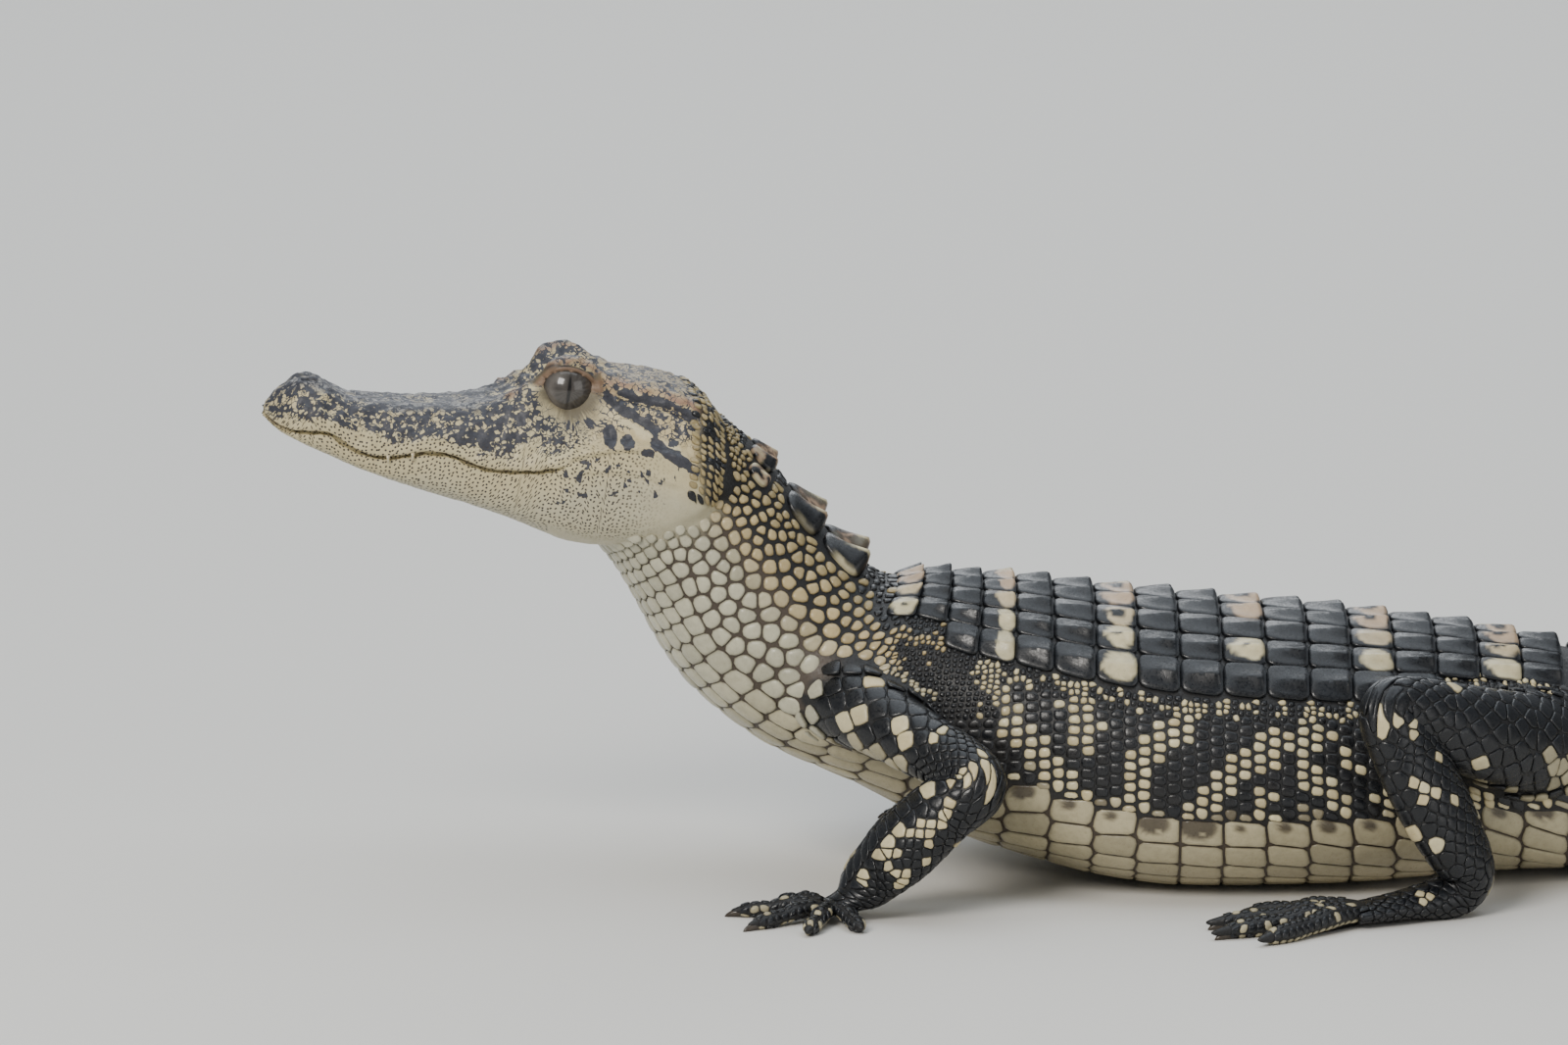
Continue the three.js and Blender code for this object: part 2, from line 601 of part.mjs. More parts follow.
// One part of a limb through its stations, its rings square to its path, with rounded ends.
function limbPart(stations, normal, count, sides, grow = 0) {
  const at = through(stations.map((station, i) => [i, station]));
  const last = stations.length - 1;
  const ring = (place, size, beyond) => {
    const [x, y, z, across, within] = at(place);
    const [ahead, behind] = [at(Math.min(place + 0.02, last)), at(Math.max(place - 0.02, 0))];
    const forward = new THREE.Vector3(...ahead).sub(new THREE.Vector3(...behind)).normalize();
    const flat = normal.clone().projectOnPlane(forward).normalize();
    const broad = forward.clone().cross(flat);
    const center = new THREE.Vector3(x, y, z).addScaledVector(forward, beyond * (across + grow));
    return spread(0, 360, sides).slice(0, -1).map((degrees) => {
      const point = center.clone();
      point.addScaledVector(flat, size * (across + grow) * Math.cos(radians(degrees)));
      point.addScaledVector(broad, size * (within + grow) * Math.sin(radians(degrees)));
      return point.setZ(Math.max(point.z, -grow));
    });
  };
  const rings = spread(0, last, count).map((place) => ring(place, 1, 0));
  return loft([ring(0, 0.62, -0.6), ...rings, ring(last, 0.62, 0.6)]);
}

// A tapering tube along the floor: each section has its share of the length, half thickness and height.
function floorTube(root, forward, length, sections, sides) {
  const across = new THREE.Vector3(forward.y, -forward.x, 0);
  return loft(
    sections.map(([share, thick, height]) =>
      spread(0, 360, sides).slice(0, -1).map((degrees) => {
        const point = root.clone().addScaledVector(forward, share * length);
        point.addScaledVector(across, thick * Math.cos(radians(degrees)));
        return point.setZ(Math.max(height + thick * 0.9 * Math.sin(radians(degrees)), 0));
      }),
    ),
  );
}

// One digit with its knuckles, and its claw if it has one.
function digit({ root, forward, length, radius, claw }) {
  const profile = [[-0.1, 1], [0.2, 1], [0.36, 1.1], [0.54, 0.9], [0.7, 1], [1, 0.5]];
  const lift = (share) => 0.85 + 0.7 * Math.sin(Math.PI * Math.min(1, 0.25 + share)) * (1 - share);
  const toe = floorTube(root, forward, length, profile.map(([share, thick]) => [
    share, radius * thick, radius * lift(share) * (0.6 + 0.4 * thick),
  ]), 6);
  if (!claw) return [toe];
  const nailProfile = [[0, 0.5, 0.9], [0.5, 0.34, 0.9], [1, 0.06, 0.35]];
  const nail = floorTube(root.clone().addScaledVector(forward, length * 0.84), forward, claw,
    nailProfile.map(([share, thick, height]) => [share, radius * thick, radius * height]), 5);
  return [toe, nail];
}

// The web between two toes, down to a valley between them.
function web(first, second, reach) {
  const ahead = ({ root, forward, length }, share) =>
    new THREE.Vector2(
      root.x + forward.x * length * share,
      root.y + forward.y * length * share,
    );
  const [a, b, c, d] = [ahead(first, 0), ahead(first, reach), ahead(second, reach), ahead(second, 0)];
  const [rootMiddle, edgeMiddle] = [a.clone().lerp(d, 0.5), b.clone().lerp(c, 0.5)];
  const shape = new THREE.Shape([a, b, rootMiddle.lerp(edgeMiddle, WEB.valley), c, d]);
  const sheet = new THREE.ExtrudeGeometry(shape, { depth: WEB.thickness, bevelEnabled: false });
  return manifold(sheet.translate(0, 0, WEB.height));
}

// A limb in three parts, parted across the elbow or knee and the wrist or ankle, with its digits.
function limb({ stations, side, names, joints, digits, webs, against }) {
  const placed = stations.map((station) => sided(station, side));
  const point = (i) => new THREE.Vector3(...placed[i].slice(0, 3));
  const [bend, wrist] = joints;
  const normal = point(bend).sub(point(1)).cross(point(wrist).sub(point(bend))).normalize();
  const last = placed.length - 1;
  const center = point(last).lerp(point(last - 1), 0.4).setZ(0);
  const toes = digits.headings.map((heading, i) => {
    const forward = new THREE.Vector3(-Math.cos(radians(heading)), -side * Math.sin(radians(heading)), 0);
    const root = center.clone().addScaledVector(forward, digits.palm);
    const claw = i < CLAWED ? digits.claw : 0;
    return { root, forward, length: digits.lengths[i], radius: digits.radius, claw };
  });
  const part = (from, to, count, sides, grow) =>
    limbPart(placed.slice(from, to + 1), normal, count, sides, grow);
  const lowerParts = [0, GAP].map((grow) => part(bend, wrist, 5, 12, grow));
  const palms = [0, GAP].map((grow) => part(wrist, last, 3, 10, grow));
  const sheets = webs.map(([i, reach]) => web(toes[i], toes[i + 1], reach));
  node(names[0], cut(part(0, bend, 6, 12), against, lowerParts[1]), COLOURS.leg);
  node(names[1], cut(lowerParts[0], palms[1]), COLOURS.leg);
  node(names[2], join(palms[0], toes.flatMap(digit), sheets), COLOURS.leg);
}

const trunkGrown = bodyLoft([torsoStart - 6, ...trunkPlaces, whorlEdge(2)], BACK_ANGLES, GAP);
const neckGrown = bodyLoft([...neckPlaces.slice(3), torsoStart], NECK_ANGLES, GAP);
for (const [name, side] of HANDS) {
  limb({
    stations: side > 0 ? ARM : FAR_ARM,
    side,
    names: ["upper_arm_" + name, "forearm_" + name, "hand_" + name],
    joints: [3, 7],
    digits: HAND,
    webs: [],
    against: [trunkGrown, neckGrown],
  });
  limb({
    stations: side > 0 ? LEG : FAR_LEG,
    side,
    names: ["thigh_" + name, "shank_" + name, "foot_" + name],
    joints: [3, 7],
    digits: FOOT,
    webs: WEBS,
    against: [trunkGrown],
  });
}

node("neck", cut(join(neckWhole, neckScutes()), skull(GAP), jaw(GAP)), COLOURS.neck);
node("torso", join(torsoWhole, backScutes()), COLOURS.back);
for (let i = 0; i < TAIL_PARTS.length - 1; i++) {
  const [first, last] = TAIL_PARTS.slice(i, i + 2);
  const places = spread(first, last, last - first).map(whorlEdge);
  if (last < WHORLS) places[places.length - 1] -= GAP;
  node("tail_" + (i + 1), join(bodyLoft(places, TAIL_ANGLES[i]), tailScutes(first, last)), COLOURS.back);
}

// The origin is on the floor, under the middle of the whole animal.
const box = new THREE.Box3().setFromObject(object);
object.position.set(-(box.min.x + box.max.x) / 2, -(box.min.y + box.max.y) / 2, -box.min.z);

export default object;
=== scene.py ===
# %% [markdown]
# # A young American alligator
#
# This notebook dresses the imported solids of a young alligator, 0.57 m long as it lies, with its chest and
# head raised on the forelegs. The solids give the animal's true size and stance. Here one skin takes the
# place of all its flesh, and over the skin come the scales, the bony plates of the back, the eyes, the
# claws and the few teeth that show. Everything is in metres in the solids' own frame, nose towards -X.

# %% The frame
import math

import bpy
import numpy as np
from mathutils import Matrix, Vector, kdtree, noise
from mathutils.bvhtree import BVHTree


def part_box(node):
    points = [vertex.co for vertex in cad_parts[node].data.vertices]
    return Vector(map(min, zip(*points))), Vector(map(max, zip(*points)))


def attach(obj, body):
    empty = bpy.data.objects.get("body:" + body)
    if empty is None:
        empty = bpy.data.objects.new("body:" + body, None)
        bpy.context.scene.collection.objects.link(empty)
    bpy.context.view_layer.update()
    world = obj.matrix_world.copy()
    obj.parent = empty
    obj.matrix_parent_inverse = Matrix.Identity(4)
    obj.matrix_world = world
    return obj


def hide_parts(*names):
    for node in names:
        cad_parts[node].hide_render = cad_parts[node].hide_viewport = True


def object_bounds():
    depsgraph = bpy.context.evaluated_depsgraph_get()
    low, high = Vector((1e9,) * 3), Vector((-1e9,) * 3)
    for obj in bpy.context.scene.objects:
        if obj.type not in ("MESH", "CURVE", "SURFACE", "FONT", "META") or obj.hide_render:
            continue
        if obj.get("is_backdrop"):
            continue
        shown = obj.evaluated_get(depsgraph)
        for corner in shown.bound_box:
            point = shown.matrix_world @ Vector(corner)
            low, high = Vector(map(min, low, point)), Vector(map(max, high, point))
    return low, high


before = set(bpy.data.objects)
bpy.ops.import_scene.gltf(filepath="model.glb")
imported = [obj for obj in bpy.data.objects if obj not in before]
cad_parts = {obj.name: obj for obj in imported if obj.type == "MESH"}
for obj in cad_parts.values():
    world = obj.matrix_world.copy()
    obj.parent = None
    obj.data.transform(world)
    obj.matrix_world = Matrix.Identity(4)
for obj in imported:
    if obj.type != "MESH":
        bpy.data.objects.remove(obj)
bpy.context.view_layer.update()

# %% [markdown]
# ## Helpers
#
# A mesh of many thousand points is quickest to make from arrays: one of points, one of four-cornered and
# one of three-cornered faces. Colours are written as the hex values that a painter would pick on a screen,
# and one function turns them to the linear values that the renderer counts in.

# %% Meshes and colours
MM = 0.001


def linear(hex_colour):
    """The linear red, green and blue of an sRGB hex value."""
    parts = np.array([int(hex_colour[i:i + 2], 16) for i in (1, 3, 5)]) / 255
    return np.where(parts <= 0.04045, parts / 12.92, ((parts + 0.055) / 1.055) ** 2.4)


def mesh_object(name, points, quads, triangles=()):
    """A new object from points in metres and arrays of faces."""
    quads = np.asarray(quads, np.int32).reshape(-1, 4)
    triangles = np.asarray(triangles, np.int32).reshape(-1, 3)
    corners = np.concatenate([quads.ravel(), triangles.ravel()])
    starts = np.concatenate([np.arange(len(quads)) * 4, quads.size + np.arange(len(triangles)) * 3])
    mesh = bpy.data.meshes.new(name)
    mesh.vertices.add(len(points))
    mesh.vertices.foreach_set("co", np.asarray(points, np.float32).ravel())
    mesh.loops.add(len(corners))
    mesh.polygons.add(len(starts))
    mesh.loops.foreach_set("vertex_index", corners.astype(np.int32))
    mesh.polygons.foreach_set("loop_start", starts.astype(np.int32))
    mesh.update(calc_edges=True)
    made = bpy.data.objects.new(name, mesh)
    bpy.context.scene.collection.objects.link(made)
    return made


def points_of(thing):
    """The points of an object's mesh as an array."""
    points = np.empty(len(thing.data.vertices) * 3, np.float32)
    thing.data.vertices.foreach_get("co", points)
    return points.reshape(-1, 3).astype(float)


def only(thing):
    """Makes one object the only one that operators act on."""
    bpy.ops.object.select_all(action="DESELECT")
    thing.select_set(True)
    bpy.context.view_layer.objects.active = thing


def paint(thing, name, values):
    """Keeps a number or a colour for each point of a mesh, for its material to read."""
    values = np.asarray(values, np.float32)
    if values.ndim == 1:
        attribute = thing.data.attributes.new(name, "FLOAT", "POINT")
        attribute.data.foreach_set("value", values)
        return
    attribute = thing.data.attributes.new(name, "FLOAT_COLOR", "POINT")
    full = np.concatenate([values, np.ones((len(values), 1), np.float32)], axis=1)
    attribute.data.foreach_set("color", full.ravel())


def smooth(thing):
    only(thing)
    bpy.ops.object.shade_smooth()


def blend_to(low, high, value):
    """0 up to low, 1 from high, and an easy curve between."""
    t = np.clip((value - low) / (high - low), 0, 1)
    return t * t * (3 - 2 * t)


print("helpers are ready")

# %% [markdown]
# ## The camera
#
# The picture was taken from the animal's left, a little above it, through a long lens: near and far legs
# show almost no change of scale. A lens of 300 mm gives that flatness. The frame is 320 mm wide where the
# animal stands, and the shoulder, at the body's own zero, is a little right of its middle.

# %% Camera
VIEW_ELEVATION = math.radians(11)
FRAME_WIDTH = 320 * MM
LENS, SENSOR = 300.0, 36.0
HEAD_PITCH, HEAD_YAW = math.radians(8), math.radians(8)
SNOUT_TIP = np.array([-119.8, -13.8, 98.8])
EYE_BACK, EYE_SIDE, EYE_UP, EYE_RADIUS = 60.4, 6.5, 12.0, 5.8

pitch = Matrix.Rotation(HEAD_PITCH, 3, "Y")
yaw = Matrix.Rotation(HEAD_YAW, 3, "Z")
HEAD_TURN = np.array(yaw @ pitch)


def in_head(back, side, up):
    """Points of the body's frame from distances behind the snout tip, out to the left and up."""
    local = np.stack(np.broadcast_arrays(back, -np.asarray(side, float), up), axis=-1).astype(float)
    return local @ HEAD_TURN.T + SNOUT_TIP


low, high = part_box("eye_left")
SHIFT = np.array((low + high) / 2) / MM - in_head(EYE_BACK, EYE_SIDE, EYE_UP)


def to_frame(points):
    """From the body's own millimetres to metres in the frame of the solids."""
    return (np.asarray(points) + SHIFT) * MM


AIM = to_frame([-14.0, 0.0, 72.1])
distance = FRAME_WIDTH * LENS / SENSOR
back_off = Vector((0, -math.cos(VIEW_ELEVATION), math.sin(VIEW_ELEVATION))) * distance
lens = bpy.data.cameras.new("long lens")
lens.lens, lens.sensor_width = LENS, SENSOR
lens.clip_end = 20
camera = bpy.data.objects.new("camera", lens)
bpy.context.scene.collection.objects.link(camera)
camera.location = Vector(AIM) + back_off
camera.rotation_euler = (math.pi / 2 - VIEW_ELEVATION, 0, 0)
bpy.context.scene.camera = camera
print("the camera stands", round(distance, 2), "m away; the body's zero is at",
      np.round(to_frame([0, 0, 0]), 4))

# %% [markdown]
# ## Floor and light
#
# The stage is a plain pale floor. Black, glossy scales show their form only by what they mirror, so the
# light comes from large soft panels: a broad cool one overhead for the sky's sheen on the back, a warm key
# from the camera's left, and a weak fill from the right.

# %% Stage
bpy.ops.object.select_all(action="DESELECT")
bpy.ops.mesh.primitive_plane_add(size=6, location=(0, 0, 0))
floor = bpy.context.object
floor.name = "floor"
floor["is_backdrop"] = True

LIGHTS = [
    # name, place, size, watts, colour
    ("sky panel", (0.0, 0.25, 1.5), 1.8, 19, (0.86, 0.93, 1.0)),
    ("key panel", (-0.9, -1.3, 1.1), 0.7, 27, (1.0, 0.96, 0.9)),
    ("fill panel", (1.2, -1.2, 0.5), 1.2, 7, (1.0, 0.98, 0.95)),
    ("rim panel", (-0.2, 1.4, 0.9), 1.0, 8, (0.92, 0.96, 1.0)),
]
for name, place, size, watts, colour in LIGHTS:
    panel = bpy.data.lights.new(name, "AREA")
    panel.size, panel.energy, panel.color = size, watts, colour
    holder = bpy.data.objects.new(name, panel)
    bpy.context.scene.collection.objects.link(holder)
    holder.location = place
    holder.rotation_euler = (Vector((0, 0, 0.04)) - Vector(place)).to_track_quat("-Z", "Y").to_euler()
world = bpy.data.worlds.new("studio")
bpy.context.scene.world = world
world.use_nodes = True
world.node_tree.nodes["Background"].inputs["Color"].default_value = (0.80, 0.84, 0.88, 1)
world.node_tree.nodes["Background"].inputs["Strength"].default_value = 0.32
print(len(LIGHTS), "panels light the stage")

# %% [markdown]
# ## Finishes
#
# Two finishes carry the animal. The scales are keratin, the same stuff as claws, with a wet-looking gloss
# that breaks up over fine growth lines. The head's skin lies tight on the bone, with a labyrinth of dark
# lines and rows of tiny sense organs that look like pores. Which colour lies where is painted on the points
# of each mesh, and the nodes below add what is finer than the mesh. One small function adds a node with its
# settings, and gives each of its inputs a value or another node's output.

# %% Materials
def wire(node, inputs):
    """Gives each of these inputs of a node a value, or another node's output."""
    for key, value in inputs.items() if isinstance(inputs, dict) else enumerate(inputs):
        socket = node.inputs[key]
        if isinstance(value, bpy.types.NodeSocket):
            node.id_data.links.new(value, socket)
        else:
            socket.default_value = (*value, 1) if socket.type == "RGBA" else value


def add(tree, kind, inputs=(), out=0, size_mm=None, **settings):
    """Adds a node and gives one of its outputs. A pattern with a size lies in the piece's own space."""
    made = tree.nodes.new("ShaderNode" + kind)
    for key, value in settings.items():
        setattr(made, key, value)
    if size_mm:
        wire(made, {"Vector": add(tree, "TexCoord", out="Object"), "Scale": 1 / (size_mm * MM)})
    wire(made, inputs)
    return made.outputs[out]


def new_material(name, values):
    material = bpy.data.materials.new(name)
    material.use_nodes = True
    shader = material.node_tree.nodes["Principled BSDF"]
    wire(shader, values)
    return material, material.node_tree, shader


COLOURS = {"out": 2, "data_type": "RGBA"}
EASED = {"interpolation_type": "SMOOTHSTEP"}
GRAIN, FINE_GRAIN = {"Detail": 3.0, "Roughness": 0.55}, {"Detail": 4.0, "Roughness": 0.55}

# Keratin scales: moulded by the skin below and polished by wear. Thin growth lines break the gloss.
scale_horn, tree, shader = new_material("keratin scales, worn glossy", {
    "IOR": 1.48, "Specular IOR Level": 0.42, "Coat Weight": 0.15, "Coat Roughness": 0.16})
tint = add(tree, "Attribute", attribute_name="tint")
darker = add(tree, "Mix", {0: 0.30, 6: tint, 7: (0.10, 0.075, 0.055)}, **COLOURS, blend_type="MULTIPLY")
mottling = add(tree, "MapRange", (add(tree, "TexNoise", GRAIN, size_mm=1.6), 0.35, 0.75), **EASED)
mottling = add(tree, "Math", (mottling, 0.55), operation="MULTIPLY")
fine = add(tree, "TexNoise", FINE_GRAIN, size_mm=0.5)
wire(shader, {
    "Base Color": add(tree, "Mix", {0: mottling, 6: tint, 7: darker}, **COLOURS),
    "Roughness": add(tree, "MapRange", (fine, -0.15, 1.4), **EASED),
    "Normal": add(tree, "Bump", {"Height": fine, "Strength": 0.35, "Distance": 0.12 * MM}),
})

# Skin of the head, tight on the bone: cream with a dark labyrinth, and rows of tiny dark sense organs.
head_skin, tree, shader = new_material("head skin, tight on the bone", {
    "IOR": 1.5, "Coat Weight": 0.1, "Coat Roughness": 0.3})
place = add(tree, "VectorMath", {0: add(tree, "TexCoord", out="Object"), "Scale": 1 / MM}, operation="SCALE")
warp = add(tree, "TexNoise", {"Vector": place, "Scale": 0.42, "Detail": 2.0}, out="Color")
warp = add(tree, "VectorMath", (warp, (0.5, 0.5, 0.5)), operation="SUBTRACT")
warp = add(tree, "VectorMath", {0: warp, "Scale": 1.9}, operation="SCALE")
bent = add(tree, "VectorMath", (warp, place), operation="ADD")
beads = {"Vector": bent, "Scale": 0.85, "Randomness": 1.0}
seam = add(tree, "TexVoronoi", beads, feature="DISTANCE_TO_EDGE")
bead = add(tree, "TexVoronoi", beads, out="Color")
mottle = add(tree, "Attribute", out="Fac", attribute_name="mottle")
uneven = add(tree, "MapRange", (add(tree, "TexNoise", GRAIN, size_mm=1.7), 0.38, 0.62), **EASED)
reach = add(tree, "Math", (uneven, 0.36, 0.05), operation="MULTIPLY_ADD")
reach = add(tree, "Math", (mottle, reach), operation="MULTIPLY")
labyrinth = add(tree, "Math", (reach, seam), operation="SUBTRACT")
labyrinth = add(tree, "MapRange", (labyrinth, -0.02, 0.03), **EASED)
filled = add(tree, "Math", (mottle, 0.46), operation="MULTIPLY")
filled = add(tree, "Math", (filled, bead), operation="SUBTRACT")
filled = add(tree, "MapRange", (filled, -0.01, 0.01), **EASED)
core = add(tree, "MapRange", (bead.node.outputs["Distance"], 0.34, 0.42), **EASED)
core = add(tree, "Math", (1.0, core), operation="SUBTRACT")
filled = add(tree, "Math", (filled, core), operation="MULTIPLY")
ragged = add(tree, "Math", (add(tree, "TexNoise", GRAIN, size_mm=0.9), 0.5), operation="SUBTRACT")
ragged = add(tree, "Math", (ragged, 0.9), operation="MULTIPLY")
stripes = add(tree, "Attribute", out="Fac", attribute_name="stripes")
stripes = add(tree, "MapRange", (add(tree, "Math", (stripes, ragged), operation="ADD"), 0.42, 0.55), **EASED)
dark_share = add(tree, "Math", (labyrinth, filled), operation="MAXIMUM")
dark_share = add(tree, "Math", (dark_share, stripes), operation="MAXIMUM")
ink = add(tree, "TexNoise", GRAIN, size_mm=1.0)
ink = add(tree, "Mix", {0: ink, 6: (0.010, 0.011, 0.016), 7: (0.05, 0.052, 0.068)}, **COLOURS)
tint = add(tree, "Attribute", attribute_name="tint")
cloud = add(tree, "Math", (add(tree, "TexNoise", GRAIN, size_mm=2.4), 0.45), operation="MULTIPLY")
cloud = add(tree, "Mix", {0: cloud, 6: tint, 7: (0.66, 0.55, 0.42)}, **COLOURS, blend_type="MULTIPLY")
coloured = add(tree, "Mix", {0: dark_share, 6: cloud, 7: ink}, **COLOURS)
unrolled = add(tree, "Attribute", out="Vector", attribute_name="unrolled")
pores = {"Vector": unrolled, "Scale": 1.12, "Randomness": 0.65}
dots = add(tree, "MapRange", (add(tree, "TexVoronoi", pores, voronoi_dimensions="2D"), 0.19, 0.3), **EASED)
dots = add(tree, "Math", (1.0, dots), operation="SUBTRACT")
where_dotted = add(tree, "Attribute", out="Fac", attribute_name="pores")
dots = add(tree, "Math", (dots, where_dotted), operation="MULTIPLY")
grain = add(tree, "TexNoise", FINE_GRAIN, size_mm=0.45)
height = add(tree, "Math", (dots, -0.8, grain), operation="MULTIPLY_ADD")
wire(shader, {
    "Base Color": add(tree, "Mix", {0: dots, 6: coloured, 7: (0.035, 0.028, 0.026)}, **COLOURS),
    "Roughness": add(tree, "MapRange", (grain, -0.35, 1.15), **EASED),
    "Normal": add(tree, "Bump", {"Height": height, "Strength": 0.45, "Distance": 0.12 * MM}),
})

# Floor: matt pale card.
card, tree, shader = new_material("matt card", {"Roughness": 0.9, "Base Color": linear("#d9d7d2")})
fibre = add(tree, "TexNoise", GRAIN, size_mm=3.0)
wire(shader, {"Normal": add(tree, "Bump", {"Height": fibre, "Strength": 0.1, "Distance": 0.1 * MM})})
floor.data.materials.append(card)
print("finishes:", [m.name for m in (scale_horn, head_skin, card)])

# %% [markdown]
# ## The form under the skin
#
# The solids were lofted through named stations: a section every few centimetres with its top and bottom in
# the side view, its half width, and the height at which it is widest. The same stations are written here
# again in millimetres of the body's own frame, so that the skin can be made far finer than the solids and
# still lie inside them. A curve through the stations gives the sections between.

# %% Curves through stations
def through(knots):
    """A smooth curve through knots of a place and its values, for arrays of places."""
    places = np.array([k[0] for k in knots], float)
    values = np.array([np.atleast_1d(k[1]) for k in knots], float)
    slopes = np.empty_like(values)
    slopes[1:-1] = (values[2:] - values[:-2]) / (places[2:] - places[:-2])[:, None]
    slopes[0] = (values[1] - values[0]) / (places[1] - places[0])
    slopes[-1] = (values[-1] - values[-2]) / (places[-1] - places[-2])

    def at(place):
        place = np.asarray(place, float)
        i = np.clip(np.searchsorted(places, place, side="right") - 1, 0, len(places) - 2)
        span = (places[i + 1] - places[i])[..., None]
        t = np.clip((place - places[i])[..., None] / span, 0, 1)
        bulge = t * (1 - t) * ((1 - t) * slopes[i] - t * slopes[i + 1]) * span
        made = values[i] + (values[i + 1] - values[i]) * t * t * (3 - 2 * t) + bulge
        return made

    return at


def line(knots):
    """The same for one value at each place."""
    curve = through(knots)
    return lambda place: curve(place)[..., 0]


STATIONS = [
    # top and bottom of the section in the side view, half width, how high it is widest
    ((-35, 91), (-57, 73), 19, 0.5),  # inside the head
    ((-25.8, 93.8), (-52.5, 69), 22, 0.5),  # back of the jaw
    ((-17, 85), (-46.2, 59.5), 22.6, 0.5),  # nape
    ((-4.5, 70.3), (-35.5, 41.3), 23.4, 0.5),  # neck shield
    ((6.2, 61.3), (-19.5, 28), 25.5, 0.48),  # base of the neck
    ((15.5, 61.2), (0.5, 19), 28.5, 0.47),  # shoulders
    ((26, 60.4), (18.5, 10), 32, 0.45),
    ((38, 59.4), (36, 4.4), 35.5, 0.43),  # chest
    ((51, 57.7), (50, 1), 38.3, 0.42),
    ((66, 56.2), (66, -0.9), 40, 0.41),  # belly
    ((86, 54.4), (86, -0.9), 39.6, 0.41),
    ((106, 52.3), (106, -0.4), 36.5, 0.42),
    ((126, 49.8), (126, 0.9), 31, 0.44),  # pelvis
    ((146, 46.2), (146, 1.2), 24.5, 0.46),  # tail root
]
TAIL_LENGTH, TAIL_ROOT = 322, 146
tail_heading = line([(0, 0), (0.2, 9), (0.42, 22), (0.62, 6), (0.82, -26), (1, -48)])
tail_height = line([(0, 45), (0.12, 37.5), (0.3, 28.5), (0.5, 21.5), (0.7, 14.5), (0.88, 7.6), (1, 1.8)])
tail_half = line([(0, 24.5), (0.12, 18), (0.3, 11.6), (0.5, 7.4), (0.7, 4.6), (0.88, 2.5), (1, 0.7)])


def body_knots():
    """The sections of neck, trunk and tail, each at its place along the middle line."""
    sections = [((tx, 0, tz), (bx, 0, bz), half, widest, 0) for (tx, tz), (bx, bz), half, widest in STATIONS]
    foot, steps, fine = np.array([TAIL_ROOT, 0.0]), 14, 12
    for i in range(1, steps + 1):
        for j in range(fine):
            turn = math.radians(tail_heading((i - 1 + (j + 0.5) / fine) / steps))
            foot += np.array([math.cos(turn), math.sin(turn)]) * TAIL_LENGTH / steps / fine
        share = i / steps
        settled = min(1, share * 8)
        bottom = 0.8 * (1 - settled) - 0.9 * settled * (1 - 0.8 * share)
        sections.append(((*foot, float(tail_height(share))), (*foot, bottom), float(tail_half(share)), 0.46,
                         float(tail_heading(share))))
    knots, place, before = [], 0.0, None
    for top, bottom, half, widest, heading in sections:
        middle = (np.array(top) + np.array(bottom)) / 2
        place += 0 if before is None else float(np.linalg.norm(middle - before))
        before = middle
        knots.append((place, (*top, *bottom, half, widest, heading)))
    return knots


BODY_KNOTS = body_knots()
body_at = through(BODY_KNOTS)
BODY_END, TAIL_START = BODY_KNOTS[-1][0], BODY_KNOTS[13][0]


def place_of(station):
    return BODY_KNOTS[station][0]


below_power = line([(place_of(3), 0.95), (place_of(5), 0.88), (place_of(8), 0.8)])


def power(base, exponent):
    return np.sign(base) * np.abs(base) ** exponent


def skin(place, degrees, off=0.0):
    """Points of the body's surface: place along it, degrees from the top round to the left, height off it."""
    place, degrees, off = np.broadcast_arrays(np.asarray(place, float), degrees, off)
    values = body_at(place)
    top, bottom = values[..., 0:3], values[..., 3:6]
    half, widest, heading = values[..., 6], values[..., 7], values[..., 8]
    upward = top - bottom
    height = np.linalg.norm(upward, axis=-1)
    upward = upward / height[..., None]
    turn, angle = np.radians(heading), np.radians(degrees)
    left = np.stack([np.sin(turn), -np.cos(turn), np.zeros_like(turn)], axis=-1)
    s, c = np.sin(angle), np.cos(angle)
    round_power = np.where(c > 0, 0.95, below_power(place))
    reach = np.where(c > 0, 1 - widest, widest) * height + off
    point = bottom + upward * (widest * height)[..., None]
    point = point + upward * (reach * power(c, round_power))[..., None]
    point = point + left * ((half + off) * power(s, round_power))[..., None]
    point[..., 2] = np.maximum(point[..., 2], 0.0)
    return point


# Distance round each section, from the top down one side, so that scales can be spaced in millimetres.
GIRTH_PLACES = np.linspace(0, BODY_END, 240)
GIRTH_DEGREES = np.linspace(0, 180, 181)
girth_points = skin(GIRTH_PLACES[:, None], GIRTH_DEGREES[None, :])
GIRTH = np.zeros((240, 181))
GIRTH[:, 1:] = np.cumsum(np.linalg.norm(np.diff(girth_points, axis=1), axis=-1), axis=1)
half_girth = line(list(zip(GIRTH_PLACES, GIRTH[:, -1])))


def degrees_at(place, arc):
    """The degrees at a distance round the section, left positive and right negative."""
    place, arc = np.broadcast_arrays(np.asarray(place, float), arc)
    rows = np.clip(place / BODY_END * 239, 0, 238.999)
    low = rows.astype(int)
    share = (rows - low)[..., None]
    table = GIRTH[low] * (1 - share) + GIRTH[low + 1] * share
    size = np.abs(arc)
    index = np.clip((table <= size[..., None]).sum(-1) - 1, 0, 179)
    a = np.take_along_axis(table, index[..., None], -1)[..., 0]
    b = np.take_along_axis(table, index[..., None] + 1, -1)[..., 0]
    return np.sign(arc) * (index + (size - a) / np.maximum(b - a, 1e-9))


print("the body is", round(BODY_END), "mm along its middle line, the tail", round(BODY_END - TAIL_START))

